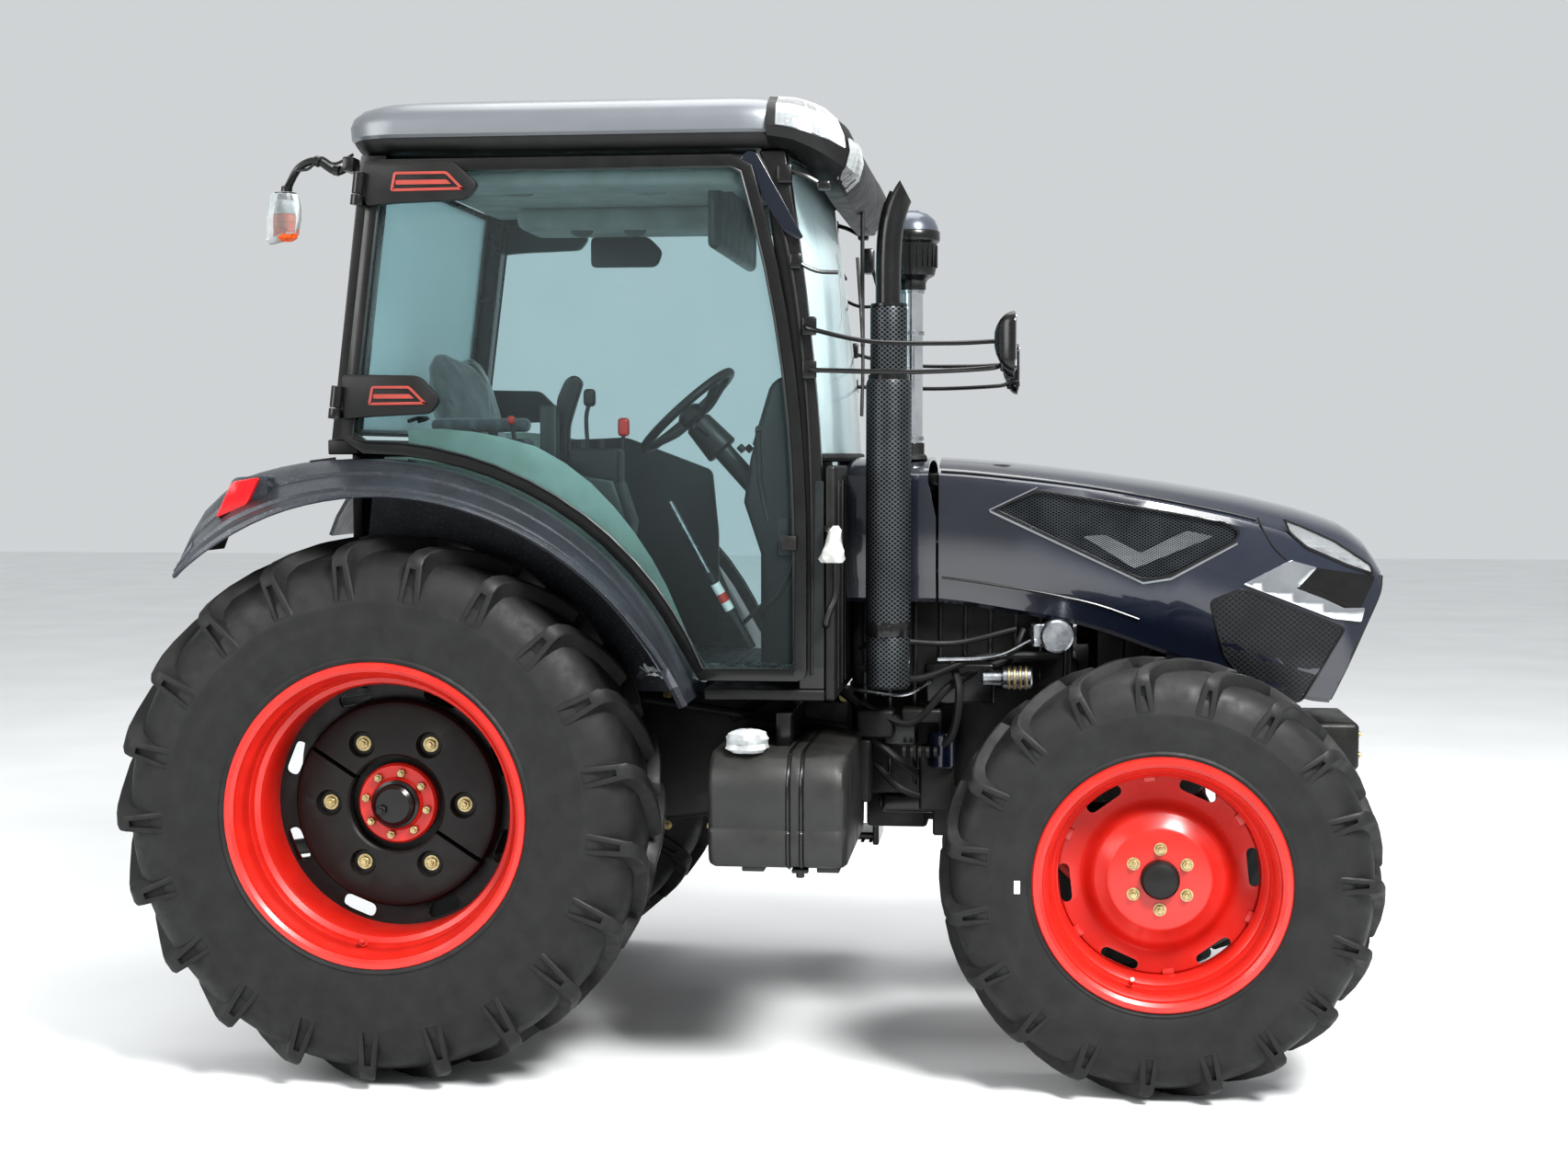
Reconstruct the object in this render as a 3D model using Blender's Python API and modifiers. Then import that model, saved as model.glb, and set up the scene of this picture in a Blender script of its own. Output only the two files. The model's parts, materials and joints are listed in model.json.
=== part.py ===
"""Four-wheel-drive farm tractor with a glazed cab and a rear three-point linkage.

The tractor is modelled in its own frame: the rear axle stands at x = 0, +X points
forward, +Y points to the tractor's left and z = 0 is the ground.  An empty carries
that frame, and sets it so that the finished tractor is centred on the world origin.
Moving pieces hang on empties that stand on their joint axes.
"""
import math

import bmesh
import bpy
from mathutils import Matrix, Vector

# ---------------------------------------------------------------- driving dimensions (m)
FIT = 0.0003                # gap between pieces that touch
WHEELBASE = 2.06
REAR_AXLE_X = -0.956        # the rear axle, from the middle of the tractor's length
WHEEL_STEPS = 30            # facets round a wheel; one of them lies flat on the ground

REAR_TYRE_DIAMETER = 1.475
REAR_TYRE_WIDTH = 0.43
REAR_RIM_RADIUS = 0.381
REAR_FLANGE_RADIUS = 0.406
REAR_RIM_WIDTH = 0.40
REAR_TRACK = 1.50
REAR_DISC_OFFSET = -0.070   # wheel disc, from the middle of the rim towards the outside

FRONT_TYRE_DIAMETER = 1.16
FRONT_TYRE_WIDTH = 0.315
FRONT_RIM_RADIUS = 0.305
FRONT_FLANGE_RADIUS = 0.3305
FRONT_RIM_WIDTH = 0.30
FRONT_TRACK = 1.42
FRONT_DISC_OFFSET = 0.055

RIM_WALL = 0.009
KINGPIN_Y = 0.53
STEER_ARM = 0.16
STEER_LIMIT = 40.0          # degrees each way

CHASSIS_HALF_WIDTH = 0.19
CHASSIS_TOP = 1.00
ENGINE_REAR_X = 1.205
ENGINE_LENGTH = 0.655
ENGINE_HALF_WIDTH = 0.24
ENGINE_TOP = 1.36
SUMP_HALF_WIDTH = 0.175

FLOOR_TOP = 1.06
FLOOR_THICKNESS = 0.03
CAB_REAR_X = -0.19
CAB_FRONT_X = 1.172
CAB_WALL = 0.028
BULKHEAD_TOP = 1.66
ARCH_WALL_Y = 0.49          # inner face of the wheel-arch walls
ARCH_WALL = 0.02
PILLAR_INNER_Y = 0.655
PILLAR_OUTER_Y = 0.705
PILLAR_DEPTH = 0.060
SILL_TOP = 1.73
ROOF_UNDERSIDE = 2.495
ROOF_HALF_WIDTH = 0.76

DOOR_GAP = 0.0055
DOOR_THICKNESS = 0.022
DOOR_TOP = 2.482
DOOR_BOTTOM = 1.085
DOOR_ARCH_GAP = 0.014
HINGE_FOOT = Vector((-0.145, 0.0, 1.844))    # lower hinge, on the leaning hinge line
HINGE_HEAD = Vector((-0.077, 0.0, 2.414))    # upper hinge
HINGE_Y = 0.765
HINGE_RADIUS = 0.017

HOOD_HINGE = Vector((1.477, 0.0, 1.640))
HOOD_SKIN = 0.014
COWL_FRONT_X = 1.427

HITCH_PIVOT = Vector((-0.16, 0.0, 0.50))
LIFT_PIVOT = Vector((-0.20, 0.0, 0.93))
LIFT_ARM = 0.33
LINK_LENGTH = 0.60
HITCH_DROOP = 8.0           # degrees below level at rest

STEERING_WHEEL_CENTRE = Vector((0.692, 0.0, 1.82))
STEERING_WHEEL_TILT = 42.0  # degrees, rim plane from level
STEERING_WHEEL_RADIUS = 0.185

SIDES = {"right": -1, "left": 1}

# angle from level behind the rear axle (degrees), radius of the top, radius of the lip
FENDER_STATIONS = (
    (20, 0.876, 0.884), (35, 0.885, 0.866), (50, 0.896, 0.856), (65, 0.908, 0.850),
    (80, 0.924, 0.846), (95, 0.944, 0.842), (107, 0.968, 0.838), (116, 0.985, 0.832),
    (124, 0.955, 0.826), (130, 0.900, 0.820),
)

# x, height at the middle, height and half width of the crease, half width and low edge
HOOD_STATIONS = (
    (1.460, 1.683, 1.654, 0.312, 0.352, 1.273), (1.660, 1.668, 1.637, 0.310, 0.352, 1.245),
    (1.880, 1.643, 1.610, 0.304, 0.350, 1.205), (2.100, 1.612, 1.572, 0.294, 0.340, 1.130),
    (2.300, 1.578, 1.530, 0.278, 0.322, 1.065), (2.480, 1.536, 1.480, 0.256, 0.294, 1.005),
    (2.600, 1.494, 1.436, 0.234, 0.264, 0.990), (2.672, 1.440, 1.392, 0.214, 0.240, 0.990),
    (2.700, 1.385, 1.350, 0.200, 0.222, 0.990),
)

# ---------------------------------------------------------------- scene and materials
for old in list(bpy.data.objects):
    bpy.data.objects.remove(old, do_unlink=True)

MODEL = bpy.data.collections.new("farm_tractor")
CUTTERS = bpy.data.collections.new("cutters")
bpy.context.scene.collection.children.link(MODEL)
bpy.context.scene.collection.children.link(CUTTERS)


def make_material(name, colour, roughness, metallic=0.0):
    """Return a Principled material of one colour (linear RGB)."""
    made = bpy.data.materials.new(name)
    made.use_nodes = True
    shader = made.node_tree.nodes["Principled BSDF"]
    shader.inputs["Base Color"].default_value = (*colour, 1.0)
    shader.inputs["Roughness"].default_value = roughness
    shader.inputs["Metallic"].default_value = metallic
    return made


NAVY = make_material("navy_paint", (0.010, 0.016, 0.035), 0.18)
RED = make_material("red_paint", (0.62, 0.018, 0.012), 0.35)
RUBBER = make_material("tyre_rubber", (0.018, 0.018, 0.019), 0.75)
CAST = make_material("black_casting", (0.013, 0.013, 0.014), 0.45)
FENDER_GREY = make_material("fender_grey", (0.050, 0.055, 0.062), 0.45)
ROOF_SILVER = make_material("roof_silver", (0.42, 0.44, 0.46), 0.40)
GLASS = make_material("tinted_glass", (0.030, 0.090, 0.090), 0.06)
TANK = make_material("tank_plastic", (0.045, 0.050, 0.050), 0.50)
TRIM = make_material("black_trim", (0.010, 0.010, 0.011), 0.55)
SEAT = make_material("seat_fabric", (0.030, 0.034, 0.038), 0.85)
STEEL = make_material("bright_steel", (0.55, 0.56, 0.57), 0.28, 1.0)
AMBER = make_material("amber_lens", (0.75, 0.22, 0.02), 0.30)


# ---------------------------------------------------------------- shared modelling steps
def adopt(obj, name):
    """Name a new object and move it into the model's collection."""
    for collection in list(obj.users_collection):
        collection.objects.unlink(obj)
    MODEL.objects.link(obj)
    obj.name = name
    return obj


def settle(obj):
    """Make an object's evaluated shape its own plain mesh, welded and facing out."""
    bpy.context.view_layer.update()
    evaluated = obj.evaluated_get(bpy.context.evaluated_depsgraph_get())
    mesh = bpy.data.meshes.new_from_object(evaluated)
    mesh.transform(obj.matrix_world)
    body = bmesh.new()
    body.from_mesh(mesh)
    bmesh.ops.remove_doubles(body, verts=body.verts, dist=0.00002)
    bmesh.ops.recalc_face_normals(body, faces=body.faces)
    body.to_mesh(mesh)
    body.free()
    name = obj.name
    bpy.data.objects.remove(obj, do_unlink=True)
    mesh.shade_smooth()
    mesh.set_sharp_from_angle(angle=math.radians(32))
    return adopt(bpy.data.objects.new(name, mesh), name)


def box(name, low, high, bevel=0.0, segments=2):
    """Add a block between two corners, with rounded edges where bevel is given."""
    low, high = Vector(low), Vector(high)
    bpy.ops.mesh.primitive_cube_add(size=1.0, location=(low + high) / 2)
    block = adopt(bpy.context.active_object, name)
    block.data.transform(Matrix.Diagonal((*(high - low), 1.0)))
    if bevel:
        round_edges(block, bevel, segments)
    return settle(block)


def round_edges(obj, width, segments=2, angle=30.0):
    """Add a Bevel modifier to the edges sharper than an angle."""
    bevel = obj.modifiers.new("Rounding", "BEVEL")
    bevel.width = width
    bevel.segments = segments
    bevel.limit_method = "ANGLE"
    bevel.angle_limit = math.radians(angle)
    return obj


def rod(name, start, end, radius, sides=20, end_radius=None):
    """Add a cylinder or a cone between two points."""
    start, end = Vector(start), Vector(end)
    along = end - start
    bpy.ops.mesh.primitive_cone_add(
        vertices=sides, radius1=radius, depth=along.length, location=(start + end) / 2,
        radius2=radius if end_radius is None else end_radius,
        rotation=along.to_track_quat("Z", "Y").to_euler())
    return settle(adopt(bpy.context.active_object, name))


def turned(name, profile, steps, rotation, location):
    """Turn a closed profile of (radius, height) points about its axis."""
    mesh = bpy.data.meshes.new(name)
    points = [(radius, 0.0, height) for radius, height in profile]
    ends_on_axis = profile[0][0] == 0.0 and profile[-1][0] == 0.0
    count = len(points)
    edges = [(i, (i + 1) % count) for i in range(count - 1 if ends_on_axis else count)]
    mesh.from_pydata(points, edges, [])
    obj = adopt(bpy.data.objects.new(name, mesh), name)
    screw = obj.modifiers.new("Turning", "SCREW")
    screw.steps = steps
    screw.render_steps = steps
    screw.use_merge_vertices = True
    screw.merge_threshold = 0.00001
    obj.rotation_euler = rotation
    obj.location = location
    return settle(obj)


def plate(name, outline, middle, thickness, plane="side", bevel=0.0, segments=2):
    """Add a flat outline with a thickness.

    A "side" outline holds (x, z) points and is thick along Y; a "plan" outline holds
    (x, y) points and is thick along Z; an "end" outline holds (y, z) points and is
    thick along X.
    """
    curve = bpy.data.curves.new(name, "CURVE")
    curve.dimensions = "2D"
    curve.fill_mode = "BOTH"
    curve.extrude = thickness / 2
    spline = curve.splines.new("POLY")
    spline.points.add(len(outline) - 1)
    for point, (across, up) in zip(spline.points, outline):
        point.co = (across, up, 0.0, 1.0)
    spline.use_cyclic_u = True
    obj = adopt(bpy.data.objects.new(name, curve), name)
    quarter = math.pi / 2
    obj.rotation_euler = {"side": (quarter, 0, 0), "plan": (0, 0, 0), "end": (quarter, 0, quarter)}[plane]
    obj.location = {"side": (0, middle, 0), "plan": (0, 0, middle), "end": (middle, 0, 0)}[plane]
    solid = settle(obj)
    if bevel:
        solid = settle(round_edges(solid, bevel, segments))
    return solid


def tube(name, points, radius, resolution=2, smooth=False):
    """Add a round tube along points; a smooth one runs in a curve through them."""
    curve = bpy.data.curves.new(name, "CURVE")
    curve.dimensions = "3D"
    curve.bevel_depth = radius
    curve.bevel_resolution = resolution
    curve.use_fill_caps = True
    curve.resolution_u = 4
    curve.render_resolution_u = 0
    spline = curve.splines.new("NURBS" if smooth else "POLY")
    spline.points.add(len(points) - 1)
    for point, place in zip(spline.points, points):
        point.co = (*place, 1.0)
    if smooth:
        spline.order_u = 3
        spline.use_endpoint_u = True
    return settle(adopt(bpy.data.objects.new(name, curve), name))


def loft(name, rings):
    """Skin rings of points, each joined to the next, as one open surface."""
    mesh = bpy.data.meshes.new(name)
    count = len(rings[0])
    points = [point for ring in rings for point in ring]
    faces = []
    for row in range(len(rings) - 1):
        for column in range(count - 1):
            first = row * count + column
            faces.append((first, first + 1, first + count + 1, first + count))
    mesh.from_pydata(points, [], faces)
    return adopt(bpy.data.objects.new(name, mesh), name)


def thicken(obj, thickness, offset):
    """Give an open surface a thickness; offset -1 grows it to the inside."""
    shell = obj.modifiers.new("Skin", "SOLIDIFY")
    shell.thickness = thickness
    shell.offset = offset
    shell.use_even_offset = True
    return settle(obj)


def combine(target, tool, operation="UNION"):
    """Join a piece to another, or cut it from another, and return the result."""
    for collection in list(tool.users_collection):
        collection.objects.unlink(tool)
    CUTTERS.objects.link(tool)
    tool.hide_render = True
    tool.display_type = "WIRE"
    boolean = target.modifiers.new(operation.title(), "BOOLEAN")
    boolean.operation = operation
    boolean.solver = "EXACT"
    boolean.object = tool
    result = settle(target)
    bpy.data.objects.remove(tool, do_unlink=True)
    return result


def join(target, *tools):
    """Join several pieces into one solid."""
    for tool in tools:
        target = combine(target, tool)
    return target


def paint(obj, material):
    """Give a finished piece its material."""
    obj.data.materials.clear()
    obj.data.materials.append(material)
    return obj


def add_empty(name, location, parent=None):
    """Add an empty that carries pieces; its location is in the tractor's frame."""
    empty = bpy.data.objects.new(name, None)
    MODEL.objects.link(empty)
    empty.location = location
    empty.parent = parent
    return empty


TRACTOR = add_empty("tractor_frame", (REAR_AXLE_X, 0.0, 0.0))


def hang(obj, material, pivot=None, place=None):
    """Paint a piece and hang it on the tractor's frame or on a joint's empty."""
    paint(obj, material)
    if pivot is None:
        obj.parent = TRACTOR
        return obj
    obj.parent = pivot
    obj.location = -Vector(place)
    return obj


def add_pivot(name, place):
    """Add the empty of a joint at a place in the tractor's frame."""
    return add_empty(name, place, TRACTOR)


# ---------------------------------------------------------------- chassis
def build_engine():
    """Add the engine as one plain block: crankcase below, head and manifolds above."""
    front = ENGINE_REAR_X + ENGINE_LENGTH
    sump = box("engine_block", (ENGINE_REAR_X, -SUMP_HALF_WIDTH, 0.70),
               (front, SUMP_HALF_WIDTH, 1.10), 0.02)
    head = box("head", (ENGINE_REAR_X + 0.002, -ENGINE_HALF_WIDTH, 1.02),
               (front - 0.02, ENGINE_HALF_WIDTH, ENGINE_TOP), 0.02)
    hang(join(sump, head), CAST)


def build_gearbox():
    """Add the gearbox from the rear axle's centre housing to the engine."""
    front = ENGINE_REAR_X - FIT
    outline = ((0.24 + FIT, 0.52), (0.55, 0.60), (front, 0.68), (front, CHASSIS_TOP - 0.02),
               (0.80, CHASSIS_TOP), (0.24 + FIT, CHASSIS_TOP))
    hang(plate("gearbox_housing", outline, 0.0, 2 * CHASSIS_HALF_WIDTH, bevel=0.015), CAST)


def build_rear_axle():
    """Add the rear axle's centre housing with its trumpets and linkage bosses."""
    half = CHASSIS_HALF_WIDTH
    axle_z = REAR_TYRE_DIAMETER / 2
    outline = ((-0.28, 0.50), (0.24, 0.50), (0.24, CHASSIS_TOP), (-0.10, CHASSIS_TOP),
               (-0.28, 0.86))
    housing = plate("rear_axle_housing", outline, 0.0, 2 * half, bevel=0.012)
    end = REAR_TRACK / 2 + REAR_DISC_OFFSET - 0.014 - FIT
    for side in SIDES.values():
        trumpet = rod("trumpet", (0, side * 0.15, axle_z), (0, side * (end - 0.03), axle_z),
                      0.125, 20, 0.10)
        flange = rod("flange", (0, side * (end - 0.035), axle_z), (0, side * end, axle_z), 0.15, 24)
        housing = join(housing, trumpet, flange)
        boss_out = side * (half + 0.016)
        for pivot in (HITCH_PIVOT, LIFT_PIVOT):
            boss = rod("boss", (pivot.x, side * 0.1, pivot.z), (pivot.x, boss_out, pivot.z), 0.04, 16)
            housing = join(housing, boss)
    lug = box("top_link_lug", (-0.34, -0.045, 0.74), (-0.26, 0.045, 0.84), 0.008)
    stub = rod("power_take_off", (-0.38, 0, 0.60), (-0.26, 0, 0.60), 0.022, 18)
    hang(join(housing, lug, stub), CAST)


def build_front_support():
    """Add the casting that carries the front axle, with the radiator block on it."""
    rear = ENGINE_REAR_X + ENGINE_LENGTH + FIT
    axle_x, axle_top = WHEELBASE, FRONT_TYRE_DIAMETER / 2 + 0.11 + FIT
    outline = ((rear, 0.74), (axle_x - 0.13, axle_top), (axle_x + 0.11, axle_top),
               (axle_x + 0.17, 0.745), (2.48, 0.80), (2.48, 0.95), (rear, 0.95))
    support = plate("front_support", outline, 0.0, 0.34, bevel=0.012)
    radiator = box("radiator", (2.13, -0.25, 0.94), (2.27, 0.25, 1.42), 0.012)
    hang(join(support, radiator), CAST)
    bracket = box("weight_bracket", (2.48 + FIT, -0.19, 0.79), (2.65, 0.19, 0.93), 0.015)
    hang(bracket, CAST)


def build_front_axle():
    """Add the front axle beam with its differential, kingpins and steering cylinder."""
    x, z = WHEELBASE, FRONT_TYRE_DIAMETER / 2
    beam = box("front_axle", (x - 0.12, -0.15, z - 0.12), (x + 0.12, 0.15, z + 0.11), 0.03)
    for side in SIDES.values():
        arm = rod("arm", (x, side * 0.10, z), (x, side * KINGPIN_Y, z), 0.075, 20, 0.055)
        kingpin = rod("kingpin", (x, side * KINGPIN_Y, z - 0.0895), (x, side * KINGPIN_Y, z + 0.0895),
                      0.05, 20)
        beam = join(beam, arm, kingpin)
    cylinder_x, cylinder_z = steering_rod_place()
    barrel = rod("barrel", (cylinder_x, -0.20, cylinder_z), (cylinder_x, 0.20, cylinder_z), 0.032, 20)
    foot = box("foot", (x + 0.08, -0.05, z), (cylinder_x, 0.05, z + 0.085), 0.006)
    bore = rod("bore", (cylinder_x, -0.3, cylinder_z), (cylinder_x, 0.3, cylinder_z), 0.0133, 16)
    beam = combine(join(beam, barrel, foot), bore, "DIFFERENCE")
    hang(beam, CAST)


def steering_rod_place():
    """Return the x and z of the steering cylinder, ahead of the front axle."""
    return WHEELBASE + STEER_ARM, FRONT_TYRE_DIAMETER / 2 + 0.075


def build_drive_shaft():
    """Add the guard of the shaft that drives the front axle, with its drop box."""
    z = FRONT_TYRE_DIAMETER / 2
    guard = box("drive_shaft_guard", (1.24, -0.09, 0.59), (1.42, 0.09, 0.70 - FIT), 0.012)
    shaft = rod("shaft", (1.40, 0, 0.635), (WHEELBASE - 0.15, 0, z + 0.03), 0.034, 16)
    end = rod("end", (WHEELBASE - 0.19, 0, z + 0.03), (WHEELBASE - 0.12 - FIT, 0, z + 0.03), 0.05, 16)
    guard = join(guard, shaft, end)
    hang(guard, CAST)


def build_tank():
    """Add the fuel tank on the right with its filler neck and its bracket."""
    tank = box("fuel_tank", (0.876, -0.88, 0.60), (1.246, -0.40, 0.905), 0.045, 3)
    neck = rod("neck", (0.965, -0.76, 0.85), (0.965, -0.76, 0.965), 0.042, 18)
    bracket = box("bracket", (0.96, -0.45, 0.70), (1.16, -CHASSIS_HALF_WIDTH - FIT, 0.76), 0.006)
    hang(join(tank, neck, bracket), TANK)


def build_steps():
    """Add the battery box and the two steps on the left."""
    case = box("battery_steps", (0.90, 0.40, 0.62), (1.22, 0.72, 0.90), 0.02)
    bracket = box("bracket", (0.96, CHASSIS_HALF_WIDTH + FIT, 0.70), (1.16, 0.45, 0.76), 0.006)
    parts = [bracket]
    for x in (0.895, 1.205):
        parts.append(box("hanger", (x, 0.66, 0.40), (x + 0.02, 0.90, 0.92), 0.004, 1))
    for z in (0.41, 0.72):
        parts.append(box("tread", (0.90, 0.70, z), (1.22, 0.90, z + 0.025), 0.006, 1))
    hang(join(case, *parts), TRIM)


def build_exhaust():
    """Add the exhaust stack: guarded silencer, tail pipe bent forward and elbow."""
    x, y = 1.33, -0.55
    profile = ((0.0, 2.13), (0.036, 2.13), (0.038, 2.11), (0.050, 2.10), (0.050, 1.91),
               (0.063, 1.89), (0.063, 1.23), (0.045, 1.22), (0.045, 1.20), (0.063, 1.19),
               (0.063, 1.07), (0.045, 1.05), (0.0, 1.05))
    stack = turned("exhaust_stack", profile, 20, (0, 0, 0), (x, y, 0))
    pipe = tube("pipe", ((x, y, 2.09), (x, y, 2.25), (x, y, 2.33), (x + 0.012, y, 2.38),
                         (x + 0.038, y, 2.425)), 0.032, 3, True)
    elbow = tube("elbow", ((x, y, 1.10), (x, y + 0.10, 1.095), (x, -ENGINE_HALF_WIDTH - FIT, 1.095)), 0.034)
    hang(join(stack, pipe, elbow), CAST)


def build_intake():
    """Add the air intake: pipe, bowl and domed pre-cleaner on the fixed cowl."""
    profile = ((0.0, 2.385), (0.035, 2.378), (0.062, 2.355), (0.074, 2.320), (0.074, 2.305),
               (0.080, 2.300), (0.080, 2.215), (0.060, 2.195), (0.034, 2.185), (0.034, 1.93),
               (0.041, 1.93), (0.041, 1.89), (0.034, 1.89), (0.034, 1.72), (0.045, 1.71),
               (0.045, BULKHEAD_TOP + 0.02 + FIT), (0.0, BULKHEAD_TOP + 0.02 + FIT))
    hang(turned("air_intake", profile, 20, (0, 0, 0), (1.375, -0.2, 0)), STEEL)


# ---------------------------------------------------------------- cab
def build_floor():
    """Add the cab floor with the rear wall and the sill across the wheel arches."""
    inner = ARCH_WALL_Y - FIT
    wide_from = 0.845
    outline = ((CAB_REAR_X, -inner), (wide_from, -inner), (wide_from, -PILLAR_OUTER_Y),
               (CAB_FRONT_X - FIT, -PILLAR_OUTER_Y), (CAB_FRONT_X - FIT, PILLAR_OUTER_Y),
               (wide_from, PILLAR_OUTER_Y), (wide_from, inner), (CAB_REAR_X, inner))
    floor = plate("cab_floor", outline, FLOOR_TOP - FLOOR_THICKNESS / 2, FLOOR_THICKNESS, "plan")
    wall = box("wall", (CAB_REAR_X, -inner, FLOOR_TOP - FLOOR_THICKNESS),
               (CAB_REAR_X + CAB_WALL, inner, SILL_TOP - 0.02))
    sill = box("sill", (CAB_REAR_X, -PILLAR_OUTER_Y, SILL_TOP - 0.04),
               (CAB_REAR_X + 0.085, PILLAR_OUTER_Y, SILL_TOP))
    feet = box("feet", (0.30, -0.16, CHASSIS_TOP + FIT), (0.72, 0.16, FLOOR_TOP - 0.01))
    hang(join(floor, wall, sill, feet), TRIM)


def build_cowl():
    """Add the bulkhead below the windscreen and the fixed cowl behind the hood."""
    bulkhead = box("cab_cowl", (CAB_FRONT_X, -PILLAR_OUTER_Y, FLOOR_TOP - FLOOR_THICKNESS),
                   (CAB_FRONT_X + CAB_WALL, PILLAR_OUTER_Y, BULKHEAD_TOP))
    cowl = box("cowl", (CAB_FRONT_X + 0.01, -0.335, 1.28), (COWL_FRONT_X, 0.335, BULKHEAD_TOP + 0.02),
               0.02)
    room = box("room", (ENGINE_REAR_X - 0.003, -0.305, 1.0), (1.6, 0.305, ENGINE_TOP + 0.04))
    cowl = combine(cowl, room, "DIFFERENCE")
    lugs = []
    for y in (-0.20, 0.20):
        eye = rod("eye", (HOOD_HINGE.x, y - 0.02, HOOD_HINGE.z), (HOOD_HINGE.x, y + 0.02, HOOD_HINGE.z),
                  0.011, 14)
        lug = box("lug", (COWL_FRONT_X - 0.03, y - 0.02, HOOD_HINGE.z - 0.04),
                  (HOOD_HINGE.x, y + 0.02, HOOD_HINGE.z - 0.006))
        lugs += [lug, eye]
    hang(join(bulkhead, cowl, *lugs), NAVY)


def front_pillar_edge(z):
    """Return x of the front pillar's front face at a height: upright, then leaning back."""
    lean_from = 1.40
    if z <= lean_from:
        return CAB_FRONT_X - FIT
    rise = (z - lean_from) / (ROOF_UNDERSIDE - lean_from)
    return CAB_FRONT_X - FIT - 0.105 * rise ** 1.7


def build_front_pillar(word, side):
    """Add a front pillar from the floor to the roof."""
    heights = [FLOOR_TOP + FIT] + [1.40 + i * (ROOF_UNDERSIDE - FIT - 1.40) / 6 for i in range(7)]
    outline = [(front_pillar_edge(z), z) for z in heights]
    outline += [(front_pillar_edge(z) - PILLAR_DEPTH - 0.01, z) for z in reversed(heights)]
    middle = side * (PILLAR_INNER_Y + PILLAR_OUTER_Y) / 2
    pillar = plate(f"front_pillar_{word}", outline, middle, PILLAR_OUTER_Y - PILLAR_INNER_Y)
    hang(pillar, TRIM)


def hinge_line(z, y_side):
    """Return the point of a door's hinge line at a height."""
    share = (z - HINGE_FOOT.z) / (HINGE_HEAD.z - HINGE_FOOT.z)
    x = HINGE_FOOT.x + share * (HINGE_HEAD.x - HINGE_FOOT.x)
    return Vector((x, y_side * HINGE_Y, z))


def build_rear_pillar(word, side):
    """Add a rear pillar from the sill to the roof, with the fixed half of two hinges."""
    foot, head = SILL_TOP + FIT, ROOF_UNDERSIDE - FIT
    rear_foot, rear_head = hinge_line(foot, side).x - 0.02, hinge_line(head, side).x - 0.02
    outline = ((rear_foot, foot), (rear_foot + PILLAR_DEPTH + 0.01, foot),
               (rear_head + PILLAR_DEPTH + 0.01, head), (rear_head, head))
    middle = side * (PILLAR_INNER_Y + PILLAR_OUTER_Y) / 2
    pillar = plate(f"rear_pillar_{word}", outline, middle, PILLAR_OUTER_Y - PILLAR_INNER_Y)
    for z in (HINGE_FOOT.z, HINGE_HEAD.z):
        top, bottom = hinge_line(z - 0.030 - FIT, side), hinge_line(z - 0.058, side)
        barrel = rod("barrel", bottom, top, HINGE_RADIUS, 14)
        inner, outer = sorted((side * (PILLAR_OUTER_Y - 0.01), side * (HINGE_Y + 0.002)))
        web = box("web", (bottom.x - 0.010, inner, bottom.z + 0.003), (bottom.x + 0.012, outer, top.z - 0.004))
        pillar = join(pillar, barrel, web)
    hang(pillar, TRIM)


def rounded_rectangle(low, high, radius, steps=5):
    """Return the outline of a rectangle whose corners are arcs."""
    outline = []
    for index, (x, y) in enumerate(((high[0], high[1]), (low[0], high[1]), (low[0], low[1]), (high[0], low[1]))):
        centre_x = x - math.copysign(radius, x - (low[0] + high[0]) / 2)
        centre_y = y - math.copysign(radius, y - (low[1] + high[1]) / 2)
        for step in range(steps + 1):
            turn = math.pi / 2 * (index + step / steps)
            outline.append((centre_x + radius * math.cos(turn), centre_y + radius * math.sin(turn)))
    return outline


def build_roof():
    """Add the roof, with rounded corners and the visor that drops in front."""
    outline = ((-0.125, ROOF_UNDERSIDE), (-0.135, 2.56), (-0.12, 2.605), (-0.07, 2.632),
               (0.30, 2.650), (0.80, 2.652), (1.06, 2.636), (1.17, 2.58), (1.250, 2.50), (1.254, 2.465),
               (1.180, 2.388), (1.150, 2.400), (1.140, ROOF_UNDERSIDE))
    slab = plate("roof", outline, 0.0, 2.4 * ROOF_HALF_WIDTH)
    corners = rounded_rectangle((-0.16, -ROOF_HALF_WIDTH), (1.30, ROOF_HALF_WIDTH), 0.16)
    plan = plate("plan", corners, 2.5, 0.6, "plan")
    roof = combine(slab, plan, "INTERSECT")
    hang(settle(round_edges(roof, 0.012, 2, 40.0)), ROOF_SILVER)


def build_windscreen():
    """Add the curved windscreen between the front pillars."""
    half = PILLAR_INNER_Y - 0.0006
    bulge = 0.055
    rows, columns = 6, 10
    low, high = BULKHEAD_TOP + 0.0206, ROOF_UNDERSIDE - 0.0006
    rings = []
    for row in range(rows + 1):
        z = low + (high - low) * row / rows
        ring = []
        for column in range(columns + 1):
            y = -half + 2 * half * column / columns
            x = front_pillar_edge(z) - 0.012 + bulge * (1 - (y / half) ** 2)
            ring.append((x, y, z))
        rings.append(ring)
    surface = loft("windscreen", rings)
    shell = surface.modifiers.new("Glass", "SOLIDIFY")
    shell.thickness = 0.010
    shell.offset = 0.0
    shell.use_rim = True
    glass = settle(surface)
    trim = box("trim", (0.9, -half, low), (1.4, half, high))
    hang(combine(glass, trim, "INTERSECT"), GLASS)


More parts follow.
